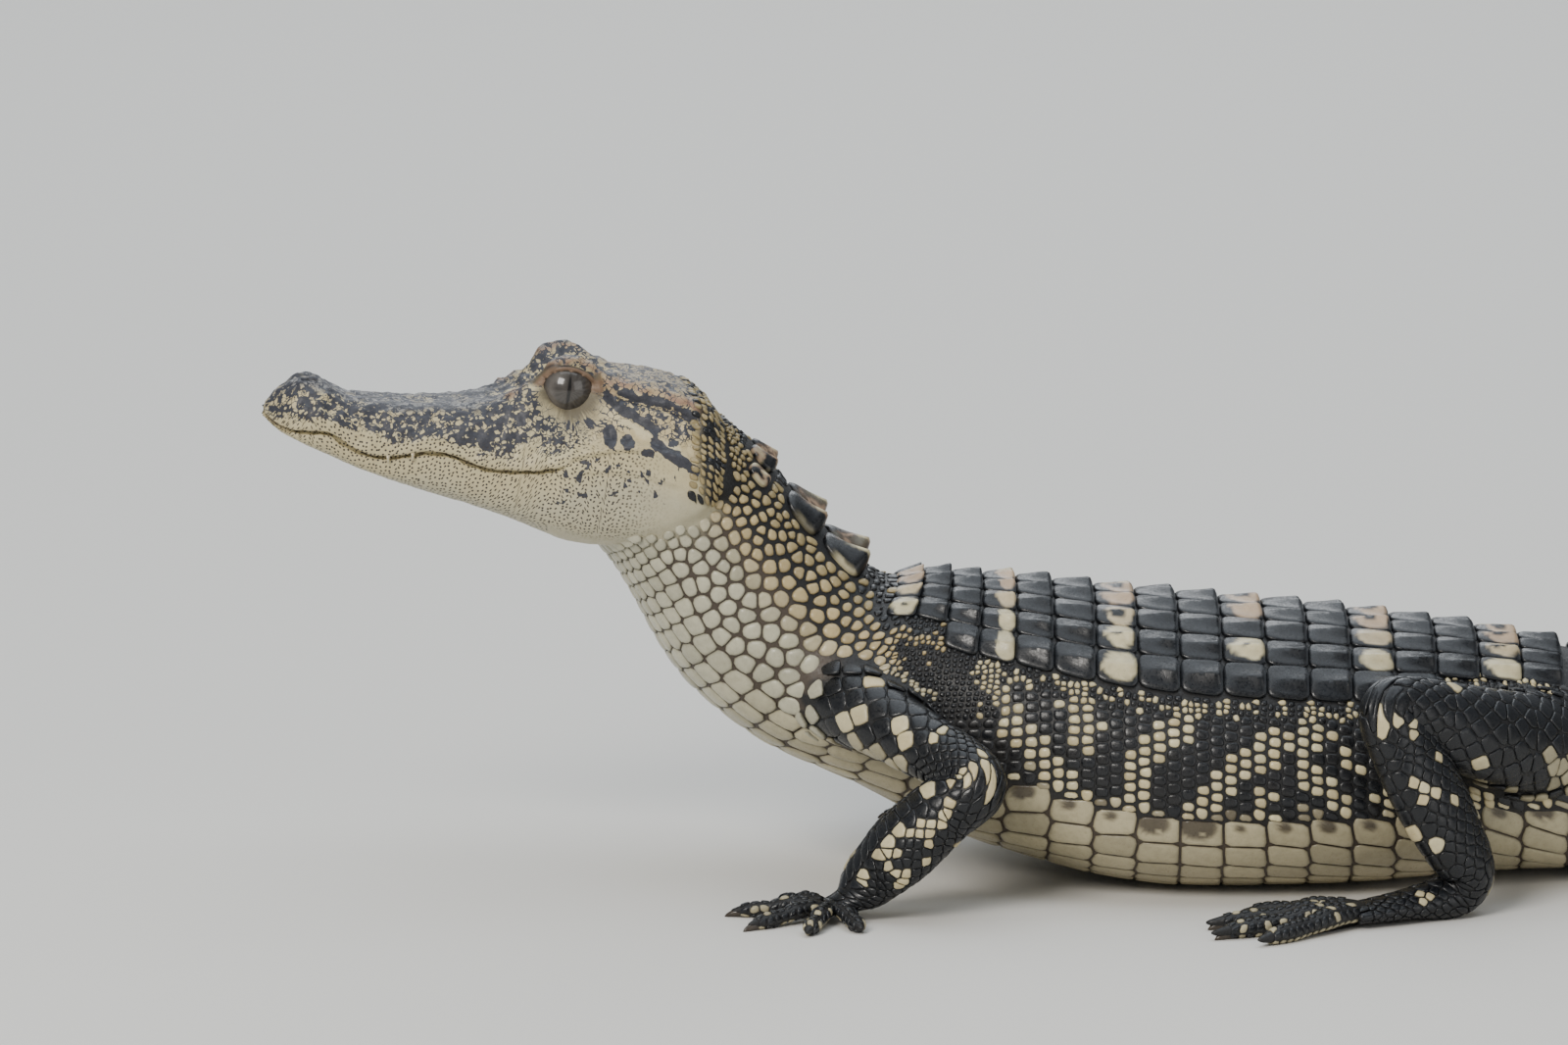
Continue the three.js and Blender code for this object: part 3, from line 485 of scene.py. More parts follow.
# %% [markdown]
# The head has its own stations, in millimetres behind the tip of the snout: the height of its crown, the
# ridge over nostril, snout, brow and skull table, the swell of the cheek, the wavy line of the mouth and
# the chin. An alligator's upper jaw overlaps the lower, so that the lower teeth are hidden.

# %% Curves of the head
crown_height = line([
    (0, 0.8), (2, 3.5), (4, 5.2), (6, 6.5), (8.5, 7.1), (11, 6.8), (14, 5.4), (17, 4.6), (27, 4.8), (35, 5.6),
    (45, 7.4), (49, 8.8), (54, 11.4), (59, 13.2), (66, 14.8), (72, 15.6), (80, 15.6), (86, 14.4), (90, 12),
    (93, 8.6),
])
ridge = through([
    (0, (0.6, 0.5)), (4, (5.2, 4.3)), (8.5, (6.6, 6.2)), (12, (6.8, 5.6)), (17, (7.2, 4)), (27, (8, 4.1)),
    (35, (8.8, 4.9)), (45, (9.6, 7)), (50, (9.7, 10.2)), (54, (9.6, 14.6)), (58, (9.4, 17.9)),
    (61, (9.4, 18.7)), (64, (9.6, 18.2)), (67, (10, 16.8)), (71, (10.9, 15.3)), (78, (11.8, 15)),
    (84, (12.3, 14)), (89, (11.9, 12)), (93, (11, 8)),
])
cheek = through([
    (0, (0.8, 0)), (4, (8.2, 1.4)), (8, (10.8, 2)), (13, (11.9, 1.4)), (19, (11.6, 0)), (27, (12.3, 0.2)),
    (35, (13.5, 1)), (45, (14.4, 1.8)), (54, (14.6, 4.2)), (60, (14.8, 5.2)), (66, (16, 5.8)),
    (73, (17.8, 6.4)), (81, (19.8, 6)), (87, (20.8, 5)), (93, (19.5, 2.6)),
])
jaw_half_width = line([
    (0, 1.2), (1.5, 5), (4, 8.4), (8, 11), (13, 12.2), (19, 12.2), (25, 12.7), (35, 14.3), (45, 15.7),
    (55, 17.3), (65, 19.6), (75, 22.2), (85, 24.2), (90, 23.8), (93, 22.4),
])
lip_height = line([
    (0, -0.9), (3, -2.4), (6, -2.7), (10, -2.1), (13, -2.1), (17, -4.1), (20, -5.2), (24, -5.5), (28, -4.8),
    (33, -3.4), (36, -3.2), (39, -3.6), (42, -4.5), (47, -5.1), (52, -4.7), (57, -3.7), (60, -2.7),
    (63, -0.8), (68, 1.6), (75, 3), (84, 1.8), (93, -1.2),
])
chin_height = line([
    (0, -1.7), (2, -3.3), (5, -4.8), (9.5, -6.4), (14, -7.8), (22, -10.2), (34, -12.8), (43, -14.3),
    (51, -16), (59, -18.1), (64, -19.3), (70, -19.5), (77, -18.6), (83, -17.2), (87, -14.9), (90, -11.8),
    (92, -8), (93, -5.6),
])
HEAD_END, MOUTH_CORNER = 93.0, 60.0


def resample(points, count):
    """The same polyline with this many points at even distances."""
    steps = np.concatenate([[0], np.cumsum(np.linalg.norm(np.diff(points, axis=0), axis=1))])
    even = np.linspace(0, steps[-1], count)
    return np.stack([np.interp(even, steps, points[:, k]) for k in range(2)], axis=1)


def head_side(back):
    """One side of the head's section, from the crown to the chin, as (side, up), with the mouth's groove."""
    half, lip = float(jaw_half_width(back)), float(lip_height(back))
    (ridge_half, ridge_up), (cheek_half, cheek_up) = ridge(back), cheek(back)
    profile = through([
        (-1, (-ridge_half, ridge_up)), (0, (0, float(crown_height(back)))), (1, (ridge_half, ridge_up)),
        (2, (cheek_half, cheek_up)), (3, (half, lip + 1.2)),
    ])
    upper = profile(np.linspace(0, 3, 50))
    shut = float(1 - blend_to(MOUTH_CORNER - 3, MOUTH_CORNER + 3, back))  # 1 where the mouth is, 0 behind
    inset = min(0.2 + 1.0 * shut, half * 0.4)
    top = lip - 0.4
    chin = min(float(chin_height(back)), top - 0.6)
    depth = top - chin
    groove = max(min(1.3, half * 0.3) * shut, 0.05)
    roll = min(0.45, half * 0.2)
    lips = np.array([
        (half - 0.05, lip + 0.55), (half - roll * 0.7, lip + 0.08), (half - groove * 0.7 - 0.1, lip - 0.05),
        (half - inset - groove, lip - 0.18), (half - inset - groove * 0.4, top - 0.02),
    ]) if shut > 0 else np.array([(half - 0.03, lip + 0.5), (half - 0.12, lip)])
    lower_half = half - inset
    lower = through([
        (0, (lower_half - groove * 0.25, top)), (1, (lower_half, top - min(0.8, depth * 0.2))),
        (2, (lower_half * 0.97, top - depth * 0.5)), (3, (lower_half * 0.84, top - depth * 0.8)),
        (4, (lower_half * 0.5, chin + depth * 0.02)), (5, (0, chin)),
    ])(np.linspace(0, 5, 40))
    return resample(upper, 58), resample(np.concatenate([lips, lower]), 62)


print("the head is", HEAD_END, "mm long and", round(2 * float(jaw_half_width(85)), 1), "mm wide at the jaws")

# %% [markdown]
# ## Limbs
#
# Each limb is a tube through its own stations, flat across its plane of bending, with the digits as
# tapering tubes on the floor. Forelimbs have five digits and hind limbs four, and only the three inner
# ones bear claws. Webs join the hind toes.

# %% Curves of the limbs
ARM = [
    # x, y, z, then half the thickness across the plane of bending and within it
    (-8, -8, 41, 9, 10.5), (-2, -22, 40, 8.8, 9.6), (13, -38, 34.5, 7, 7.2), (24.5, -49.5, 28.5, 6.3, 6.5),
    (17.7, -49.5, 22.5, 6.4, 7.6), (9.8, -48.5, 14.9, 6, 8.3), (4.6, -47, 9.5, 4.8, 7.2),
    (0.8, -46.5, 5.8, 3.8, 6.6), (-2, -46.5, 3.4, 2.8, 6.4), (-5.5, -46.5, 2.2, 2, 5.6),
]
FAR_ARM = [
    (-6, -8, 41, 9, 10.5), (2, -22, 39, 8.8, 9.6), (21, -38, 33, 7, 7.2), (37, -49, 27.5, 6.3, 6.5),
    (39, -49.5, 21, 6.4, 7.4), (38, -49.5, 14.5, 5.9, 7.4), (35.5, -49, 9.5, 4.8, 6.6),
    (32.5, -48.5, 5.8, 3.8, 6.2), (29.5, -48.5, 3.4, 2.8, 6.2), (26, -48.5, 2.2, 2, 5.6),
]
LEG = [
    (150, -5, 28, 10, 12), (141, -20, 29.5, 9.5, 12), (125, -36, 36, 8, 9.8), (108.5, -46.5, 42.5, 6.2, 7.2),
    (111.5, -47.5, 34, 6.2, 8.6), (116, -47.5, 25, 6, 9), (120.5, -46.5, 16.5, 5.4, 8.2),
    (124, -45, 9.4, 4.8, 6.4), (121, -45.5, 4.8, 4.6, 5.4), (112, -49, 3.4, 3.2, 6.2),
    (100, -54, 2.4, 2.2, 7.6),
]
FAR_LEG = [
    (150, -5, 28, 10, 12), (146, -20, 29, 9.5, 12), (139, -37, 31, 8, 9.8), (128, -49, 32.5, 6.2, 7.2),
    (132, -50, 26, 6.2, 8.2), (137, -50, 19.5, 6, 8.6), (142, -48.5, 13.5, 5.4, 7.6), (145, -47, 8.8, 4.8, 6),
    (142, -47.5, 4.8, 4.6, 5.4), (133, -51, 3.4, 3.2, 6.2), (121, -56, 2.4, 2.2, 7.6),
]
HAND = {"headings": (-44, -2, 36, 74, 110), "lengths": (11, 15.5, 16, 14.5, 12), "radius": 1.9, "palm": 4.2,
        "claw": 4.4}
FOOT = {"headings": (-8, 10, 25, 42), "lengths": (21, 28, 30, 26), "radius": 2.3, "palm": 5, "claw": 5.2}
WEBS = ((0, 0.34), (1, 0.5), (2, 0.62))
CLAWED = 3


def unit(vectors):
    return vectors / np.maximum(np.linalg.norm(vectors, axis=-1, keepdims=True), 1e-12)


def limb_surface(stations, side):
    """A limb as a surface: place along it in stations, degrees round it, height off it."""
    placed = np.array([(x, y * side, z, across, within) for x, y, z, across, within in stations], float)
    at = through(list(enumerate(placed)))
    p1, p3, p7 = placed[1, :3], placed[3, :3], placed[7, :3]
    normal = unit(np.cross(p3 - p1, p7 - p3))
    last = len(placed) - 1
    ahead = unit(placed[-1, :3] - placed[-2, :3])
    over = np.sign((normal - ahead * (ahead @ normal))[2])

    def surface(place, degrees, off=0.0, size=1.0, beyond=0.0):
        place, degrees, off = np.broadcast_arrays(np.asarray(place, float), degrees, off)
        values = at(place)
        forward = unit(at(np.minimum(place + 0.06, last))[..., :3] - at(np.maximum(place - 0.06, 0))[..., :3])
        flat = unit(normal - forward * (forward @ normal)[..., None])
        # Towards hand and foot the section turns level, and its end is rounded.
        level = blend_to(last - 2.8, last - 0.8, place)[..., None]
        rising = np.cross(np.cross(forward, (0.0, 0.0, 1.0)), forward)
        flat = unit(flat * (1 - level) + rising * over * level)
        broad = np.cross(forward, flat)
        tip = np.clip((place - last + 1.0) / 1.0, 0, 1) ** 2
        across = values[..., 3] * (1 - 0.1 * tip)
        within = values[..., 4] * (1 - 0.15 * level[..., 0]) * np.sqrt(1 - 0.3 * tip)
        turn = np.radians(degrees)
        centre = values[..., :3] + forward * (beyond * across)[..., None]
        point = centre + flat * ((across * size + off) * np.cos(turn))[..., None]
        point = point + broad * ((within * size + off) * np.sin(turn))[..., None]
        point[..., 2] = np.maximum(point[..., 2], 0.0)
        return point

    surface.last = last
    surface.at = at
    return surface


LIMBS = {
    "arm_left": (ARM, 1, HAND), "arm_right": (FAR_ARM, -1, HAND),
    "leg_left": (LEG, 1, FOOT), "leg_right": (FAR_LEG, -1, FOOT),
}
SURFACES = {name: limb_surface(stations, side) for name, (stations, side, _) in LIMBS.items()}


def digits_of(name):
    """Root, direction, length and whether it has a claw, for each digit of a limb."""
    stations, side, hand = LIMBS[name]
    last, before = np.array(stations[-1][:3], float), np.array(stations[-2][:3], float)
    centre = (last + (before - last) * 0.4) * (1, side, 0)
    made = []
    for i, (heading, length) in enumerate(zip(hand["headings"], hand["lengths"])):
        turn = math.radians(heading)
        forward = np.array([-math.cos(turn), -side * math.sin(turn), 0.0])
        made.append((centre + forward * hand["palm"], forward, length, hand["radius"], i < CLAWED))
    return made


digit_thickness = line([(-0.1, 1), (0.2, 1), (0.36, 1.1), (0.54, 0.9), (0.7, 1), (0.86, 0.86), (1, 0.5)])


def digit_surface(root, forward, length, radius):
    """A digit as a surface along the floor: share of its length, degrees round it, height off it."""
    across = np.array([forward[1], -forward[0], 0.0])

    def surface(share, degrees, off=0.0, size=1.0):
        share, degrees, off = np.broadcast_arrays(np.asarray(share, float), degrees, off)
        thick = digit_thickness(share)
        lift = 0.85 + 0.7 * np.sin(np.pi * np.minimum(1, 0.25 + share)) * (1 - share)
        height = radius * lift * (0.6 + 0.4 * thick)
        turn = np.radians(degrees)
        point = root + forward * (share * length)[..., None]
        point = point + across * ((radius * thick * size + off) * np.cos(turn))[..., None]
        rise = height + (radius * thick * size + off) * 0.9 * np.sin(turn)
        point[..., 2] = np.maximum(rise, 0.0)
        return point

    return surface


print("limbs:", {name: len(digits_of(name)) for name in LIMBS})

# %% [markdown]
# ## One skin
#
# Neck, trunk and tail are one loft, the head another with its mouth as a groove, and the limbs, digits
# and webs are joined to them with a Boolean union, so that no seam is left. The skin lies a little inside
# the solids, and the scales fill the rest.

# %% Lofts
SKIN_DEPTH = 0.5  # how far the skin lies inside the solids, where scales cover it


def rings_mesh(name, rings):
    """A closed tube through rings of points in the body's millimetres, its ends closed with fans."""
    rings = np.asarray(rings, float)
    count, sides = rings.shape[:2]
    points = np.concatenate([rings.reshape(-1, 3), rings[:1].mean(1), rings[-1:].mean(1)])
    index = np.arange(count * sides).reshape(count, sides)
    after = np.roll(index, -1, axis=1)
    quads = np.stack([index[:-1], after[:-1], after[1:], index[1:]], axis=-1).reshape(-1, 4)
    first, last = count * sides, count * sides + 1
    caps = [np.stack([np.full(sides, first), after[0], index[0]], axis=-1),
            np.stack([np.full(sides, last), index[-1], after[-1]], axis=-1)]
    made = mesh_object(name, to_frame(points), quads, np.concatenate(caps))
    volume = np.einsum("ij,ij->i", points[quads[:, 0]] - points.mean(0),
                       np.cross(points[quads[:, 1]] - points.mean(0),
                                points[quads[:, 2]] - points.mean(0))).sum()
    if volume < 0:
        made.data.flip_normals()
    return made


body_places = np.concatenate([np.linspace(2, TAIL_START, 120)[:-1], np.linspace(TAIL_START, BODY_END, 150)])
body_angles = np.linspace(0, 360, 97)[:-1]
body = rings_mesh("body", skin(body_places[:, None], body_angles[None, :], -SKIN_DEPTH))

LIMB_SIDES, DIGIT_SIDES = 36, 22
pieces = []
for name, surface in SURFACES.items():
    places = np.linspace(0, surface.last, 72)
    angles = np.linspace(0, 360, LIMB_SIDES + 1)[:-1]
    ends = np.array([0.35, 0.7, 0.9])
    start = [surface(np.zeros(LIMB_SIDES), angles, -SKIN_DEPTH, size=s, beyond=-0.7 * (1 - s)) for s in ends]
    stop = [surface(np.full(LIMB_SIDES, surface.last), angles, -SKIN_DEPTH, size=s, beyond=0.7 * (1 - s))
            for s in ends[::-1]]
    middle = surface(places[:, None], angles[None, :], -SKIN_DEPTH)
    pieces.append(rings_mesh(name, np.concatenate([np.array(start), middle, np.array(stop)])))
    for i, (root, forward, length, radius, _) in enumerate(digits_of(name)):
        toe = digit_surface(root, forward, length, radius)
        shares = np.linspace(-0.1, 1, 26)
        angles = np.linspace(0, 360, DIGIT_SIDES + 1)[:-1]
        rings = toe(shares[:, None], angles[None, :], -0.25)
        tip = [toe(np.full(DIGIT_SIDES, 1 + 0.028 * k), angles, -0.25, size=s) for k,
               s in ((1, 0.8), (2, 0.45))]
        pieces.append(rings_mesh(f"{name}_digit_{i}", np.concatenate([rings, np.array(tip)])))


def web_between(name, i, reach):
    """The thin web between two toes, its edge drawn in between them."""
    (root_a, forward_a, length_a, *_), (root_b, forward_b, length_b, *_) = digits_of(name)[i:i + 2]
    rings = []
    for share in np.linspace(0, 1, 15):
        a = root_a + forward_a * length_a * reach * share
        b = root_b + forward_b * length_b * reach * share
        across = np.linspace(0, 1, 9)
        sag = 1 - 0.28 * share * np.sin(np.pi * across)[:, None]
        start = (root_a + root_b) / 2
        row = start + (a + (b - a) * across[:, None] - start) * sag
        thick = 0.35 * (1 - share) + 0.12 + 0.5 * np.abs(2 * across - 1) ** 3
        upper = row + np.stack([0 * across, 0 * across, 0.55 + thick], axis=-1)
        lower = row[::-1] + np.array([0, 0, 0.35])
        rings.append(np.concatenate([upper, lower]))
    return rings_mesh(f"{name}_web_{i}", rings)


for name in ("leg_left", "leg_right"):
    pieces += [web_between(name, i, reach) for i, reach in WEBS]
print("the body has", len(body.data.polygons), "faces and", len(pieces), "pieces join it")

# %% [markdown]
# ## The head's surface
#
# A fine grid runs round the head, closer where the eye and the mouth are. The grid is then modelled by
# pushing its points in and out along their normals: the lids, the brow's rim, the raised edge of the skull
# table with the ear's slit under it, the nostril's mound, the waves over the teeth, the folds of the cheek
# behind the mouth, and a fine unevenness where the skin lies on rough bone.

# %% Head grid
head_backs = np.unique(np.concatenate([
    np.linspace(0.35, 4, 9), np.linspace(4, 50, 93), np.linspace(50, 70, 71), np.linspace(70, HEAD_END, 46),
]))
side_count = 120
sections = []
for back in head_backs:
    upper, lower = head_side(back)
    sections.append(np.concatenate([upper, lower]))
sections = np.array(sections)  # stations x 120 x (side, up)
left_half = np.concatenate([np.broadcast_to(head_backs[:, None, None], sections[..., :1].shape), sections],
                           -1)
right_half = left_half[:, -2:0:-1] * (1, -1, 1)
head_grid = np.concatenate([left_half, right_half], axis=1)  # (back, side, up)
HEAD_ROWS, HEAD_COLUMNS = head_grid.shape[:2]


def grid_normals(grid):
    """Outward normals of a grid that closes on itself sideways."""
    along = np.gradient(grid, axis=0)
    round_it = np.roll(grid, -1, axis=1) - np.roll(grid, 1, axis=1)
    normals = unit(np.cross(round_it, along))
    outward = grid - grid.mean(axis=1, keepdims=True)
    return np.where((normals * outward).sum() > 0, normals, -normals)


def noise_at(points, size, seed=0.0):
    """Smooth noise from -1 to 1 at points in millimetres, with features of this size."""
    flat = points.reshape(-1, 3) / size + seed
    values = [noise.noise(Vector(p)) for p in flat]
    return np.array(values).reshape(points.shape[:-1]) * 1.6


def bump_at(back, up, size_back, size_up, turn=0.0):
    """1 at a spot of the head's side, falling off to 0 round it."""
    b, u = head_grid[..., 0] - back, head_grid[..., 2] - up
    c, s = math.cos(math.radians(turn)), math.sin(math.radians(turn))
    along, across = b * c + u * s, -b * s + u * c
    return np.exp(-(along / size_back) ** 2 - (across / size_up) ** 2)


def curve_bump(points, width):
    """1 along a line through (back, up) points of the head's side, falling off to 0 beside it."""
    p = np.stack([head_grid[..., 0], head_grid[..., 2]], axis=-1)
    nearest = np.full(p.shape[:-1], 1e9)
    for a, b in zip(np.array(points[:-1], float), np.array(points[1:], float)):
        t = np.clip(((p - a) @ (b - a)) / ((b - a) @ (b - a)), 0, 1)
        nearest = np.minimum(nearest, np.linalg.norm(p - (a + t[..., None] * (b - a)), axis=-1))
    return np.exp(-(nearest / width) ** 2)


normals = grid_normals(head_grid)
side_out = np.abs(head_grid[..., 1])
back_of, up_of = head_grid[..., 0], head_grid[..., 2]
lateral = blend_to(0.25, 0.6, np.abs(normals[..., 1]))  # 1 on the head's sides
top_side = blend_to(0.3, 0.8, normals[..., 2])
lip_line = lip_height(back_of)
above_lip = up_of > lip_line

push = np.full(back_of.shape, -0.25)
# Raised rim of the skull table, and the sunk slit of the ear beneath it.
table_rim = [(68.6, 16.1), (73, 15.4), (79.7, 14.5), (85, 12.8), (89.3, 10.5)]
ear_slit = [(68.5, 12.9), (72, 12.4), (77, 11.9), (82, 11.4), (86.5, 9.6)]
push += lateral * (0.55 * curve_bump(table_rim, 0.9) - 1.1 * curve_bump(ear_slit, 0.55))
push += lateral * 0.5 * curve_bump([(70, 10.6), (78, 9.6), (85, 8.4)], 1.4)
# Folds of the cheek behind the mouth's corner.
for fold in ([(59.5, -1.6), (64, -0.3), (69, 1.6), (74, 2.6)],
             [(64, -3.6), (70, -2.6), (77, -2.4), (83, -3.6)],
             [(67, 4.6), (73, 5.4), (80, 4.8)]):
    push += lateral * (0.28 * curve_bump([(b, u + 1.0) for b, u in fold], 0.8) - 0.4 * curve_bump(fold, 0.4))
# A canthal ridge runs from the brow to the nostril along the snout's edge.
push += 0.35 * curve_bump([(12, 5.6), (20, 4.3), (30, 4.6), (40, 6.0), (47, 8.0)],
                          1.2) * blend_to(0.1, 0.5, side_out / 8)
# Swellings over the big upper teeth, at the waves of the lip.
for back in (9.5, 13.5, 22.0, 26.5, 31.0, 44.0, 49.5, 54.5):
    push += above_lip * lateral * 0.3 * bump_at(back, float(lip_height(back)) + 1.6, 1.5, 1.5)
# Rough bone under the skin: strongest on the snout's top, weak on the jaw.
rough = 0.30 * top_side + 0.2 * lateral * above_lip + 0.1
rugged = noise_at(head_grid, 2.3) * 0.6 + noise_at(head_grid, 1.15, 7.0) * 0.4
push += rough * rugged * blend_to(0, 3, back_of)
head_grid = head_grid + normals * push[..., None]

# Nostrils: two raised crescents on a soft mound, each with a pit.
for hand in (1, -1):
    centre = np.array([8.4, 3.7 * hand, float(crown_height(8.4)) + 0.1])
    distance = np.linalg.norm((head_grid - centre) / (2.4, 2.0, 2.4), axis=-1)
    ring = np.exp(-((distance - 0.95) / 0.4) ** 2) * 0.8
    pit = np.exp(-(distance / 0.5) ** 2) * 2.4
    head_grid[..., 2] += ring - pit
    head_grid[..., 1] -= hand * pit * 0.35

# Lids: the skin round the eye is drawn out to a ball just over the eye's own, and inside the opening it
# dips under the eye's surface, so that the eye sits in the opening.
LID_RADIUS = EYE_RADIUS + 0.85


def lid_curve(turn, grow=0.0):
    """The opening's outline as distances back and up from the eye's centre, for an angle round it."""
    along = np.cos(turn)
    upper, lower = 4.5 + grow, 4.8 + grow
    sharp = np.sign(np.sin(turn)) * np.abs(np.sin(turn)) ** 1.15
    rise = np.where(sharp > 0, upper, lower) * sharp
    return (6.0 + grow) * along, rise - 0.35 * along + 0.1


def opening(back, up):
    """How far a spot beside the eye's centre is out from the opening: 1 on its outline."""
    turn = np.arctan2((up + 0.35 * back / 5.55 - 0.1) / 4.5, back / 5.55)
    b, u = lid_curve(turn)
    return np.hypot(back, up) / np.maximum(np.hypot(b, u), 1e-6)


for hand in (1, -1):
    eye = np.array([EYE_BACK, EYE_SIDE * hand, EYE_UP])
    offset = head_grid - eye
    radius = np.linalg.norm(offset, axis=-1)
    outward = offset / np.maximum(radius, 1e-9)[..., None]
    facing = outward[..., 1] * hand
    inside = opening(outward[..., 0] * LID_RADIUS, outward[..., 2] * LID_RADIUS)
    near = (facing > 0.0) & (radius < 13) & (head_grid[..., 1] * hand > 2)
    # Blend from the head's own surface far away to the lids' ball close to the eye.
    flat_distance = np.hypot(offset[..., 0], offset[..., 2])
    lid_share = (1 - blend_to(6.4, 9.6, flat_distance)) * near * blend_to(0.02, 0.2, facing)
    target = np.where(inside < 0.99, EYE_RADIUS - 1.2, LID_RADIUS)
    wrinkle = 0.13 * np.sin((inside - 1.0) * 30) * blend_to(1.02, 1.12, inside)
    new_radius = radius + (target + wrinkle - radius) * lid_share
    head_grid = np.where(near[..., None], eye + outward * new_radius[..., None], head_grid)

# The brow is a shelf of bone round the eye: a raised rim with a furrow between it and the upper lid.
BROW = [(48.5, 9.2), (51, 12.2), (54, 15.4), (58, 17.9), (62.5, 18.3), (66.2, 16.2), (68.4, 13.8),
        (69.4, 11.6)]
brow_inner = [(x + (EYE_BACK - x) * 0.19, y + (EYE_UP - y) * 0.19) for x, y in BROW]
on_side = blend_to(5.0, 6.5, np.abs(head_grid[..., 1]))
shelf = on_side * (1.1 * curve_bump(BROW, 0.7) - 0.5 * curve_bump(brow_inner, 0.5))
head_grid[..., 1] += np.sign(head_grid[..., 1]) * shelf * 0.75
head_grid[..., 2] += shelf * 0.6
# The skin over the eyes is as uneven as the rest of the skull's top.
over_eyes = blend_to(52, 56, head_grid[..., 0]) * (1 - blend_to(66, 70, head_grid[..., 0]))
over_eyes = over_eyes * blend_to(16.8, 18.2, head_grid[..., 2])
head_grid[..., 2] += over_eyes * 0.3 * noise_at(head_grid, 1.6, 5.0)

head_rings = in_head(head_grid[..., 0], head_grid[..., 1], head_grid[..., 2])
head = rings_mesh("head", head_rings)

# The same grid unrolled, for its pattern and for scales: distances round the head from the crown, with
# those on the left positive.
head_order = np.roll(np.arange(HEAD_COLUMNS), -side_count)
ordered_grid, ordered_normals = head_grid[:, head_order], grid_normals(head_grid)[:, head_order]
ordered_arcs = np.zeros((HEAD_ROWS, HEAD_COLUMNS))
ordered_arcs[:, 1:] = np.cumsum(np.linalg.norm(np.diff(ordered_grid, axis=1), axis=-1), axis=1)
crown_column = HEAD_COLUMNS - side_count
ordered_arcs -= ordered_arcs[:, crown_column, None]


def head_surface(back, arc, off):
    """The head's surface: distance behind the snout tip, distance round from the crown, height off it."""
    back, arc, off = np.broadcast_arrays(np.asarray(back, float), arc, off)
    rows = np.clip(np.interp(back, head_backs, np.arange(HEAD_ROWS)), 0, HEAD_ROWS - 1.001)
    row, down = rows.astype(int), (rows % 1)[..., None]
    table = ordered_arcs[row] * (1 - down) + ordered_arcs[row + 1] * down
    column = np.clip((table <= arc[..., None]).sum(-1) - 1, 0, HEAD_COLUMNS - 2)
    start = np.take_along_axis(table, column[..., None], -1)
    end = np.take_along_axis(table, column[..., None] + 1, -1)
    along = np.clip((arc[..., None] - start) / np.maximum(end - start, 1e-6), 0, 1)
    made = []
    for grid in (ordered_grid, ordered_normals):
        above = grid[row, column] * (1 - along) + grid[row, column + 1] * along
        under = grid[row + 1, column] * (1 - along) + grid[row + 1, column + 1] * along
        made.append(above * (1 - down) + under * down)
    local = made[0] + unit(made[1]) * off[..., None]
    return in_head(local[..., 0], local[..., 1], local[..., 2])


print("the head's grid has", HEAD_ROWS, "by", HEAD_COLUMNS, "points")

# %% [markdown]
# The margins of the lids are thick, rounded rolls of skin that lie close on the eye. Each is a tube along
# the opening's outline.

# %% Lid margins
def lid_roll(hand):
    """A closed tube round the eye's opening."""
    turns = np.linspace(0, 2 * math.pi, 97)[:-1]
    b, u = lid_curve(turns)
    reach = EYE_RADIUS + 0.3
    out = np.sqrt(np.maximum(reach ** 2 - b ** 2 - u ** 2, 0.3))
    centre = np.stack([b, out, u], axis=-1)
    forward = unit(np.roll(centre, -1, axis=0) - np.roll(centre, 1, axis=0))
    outward = unit(centre)
    across = unit(np.cross(forward, outward))
    thick = 0.5
    ring = np.linspace(0, 2 * math.pi, 13)[:-1]
    points = centre[:, None] + thick * (np.cos(ring)[None, :, None] * outward[:, None]
                                        + np.sin(ring)[None, :, None] * across[:, None])
    points = in_head(points[..., 0] + EYE_BACK, (points[..., 1] + EYE_SIDE) * hand, points[..., 2] + EYE_UP)
    index = np.arange(points.shape[0] * points.shape[1]).reshape(points.shape[:2])
    on, after = np.roll(index, -1, axis=0), np.roll(index, -1, axis=1)
    quads = np.stack([index, after, np.roll(on, -1, axis=1), on], axis=-1).reshape(-1, 4)
    made = mesh_object("lid_margin", to_frame(points.reshape(-1, 3)), quads)
    if hand < 0:
        made.data.flip_normals()
    return made


lid_rolls = [lid_roll(1), lid_roll(-1)]


def enclosed_volume(thing):
    """The volume that a mesh closes in, in cubic millimetres, negative where its faces point inwards."""
    mesh = thing.data
    mesh.calc_loop_triangles()
    corners = np.empty(len(mesh.loop_triangles) * 3, np.int32)
    mesh.loop_triangles.foreach_get("vertices", corners)
    p = points_of(thing)[corners.reshape(-1, 3)] / MM
    return float(np.einsum("ij,ij->i", p[:, 0], np.cross(p[:, 1], p[:, 2])).sum() / 6)


for thing in [body, head, *pieces, *lid_rolls]:
    if enclosed_volume(thing) < 0:
        thing.data.flip_normals()

# %% [markdown]
# The union of all pieces is one closed skin. Every point of it is then matched to the nearest point of the
# pieces it came from, so that the head's points keep their place on the head's grid for the painting, and
# the creases where limbs and neck meet the trunk are eased as loose skin eases them.

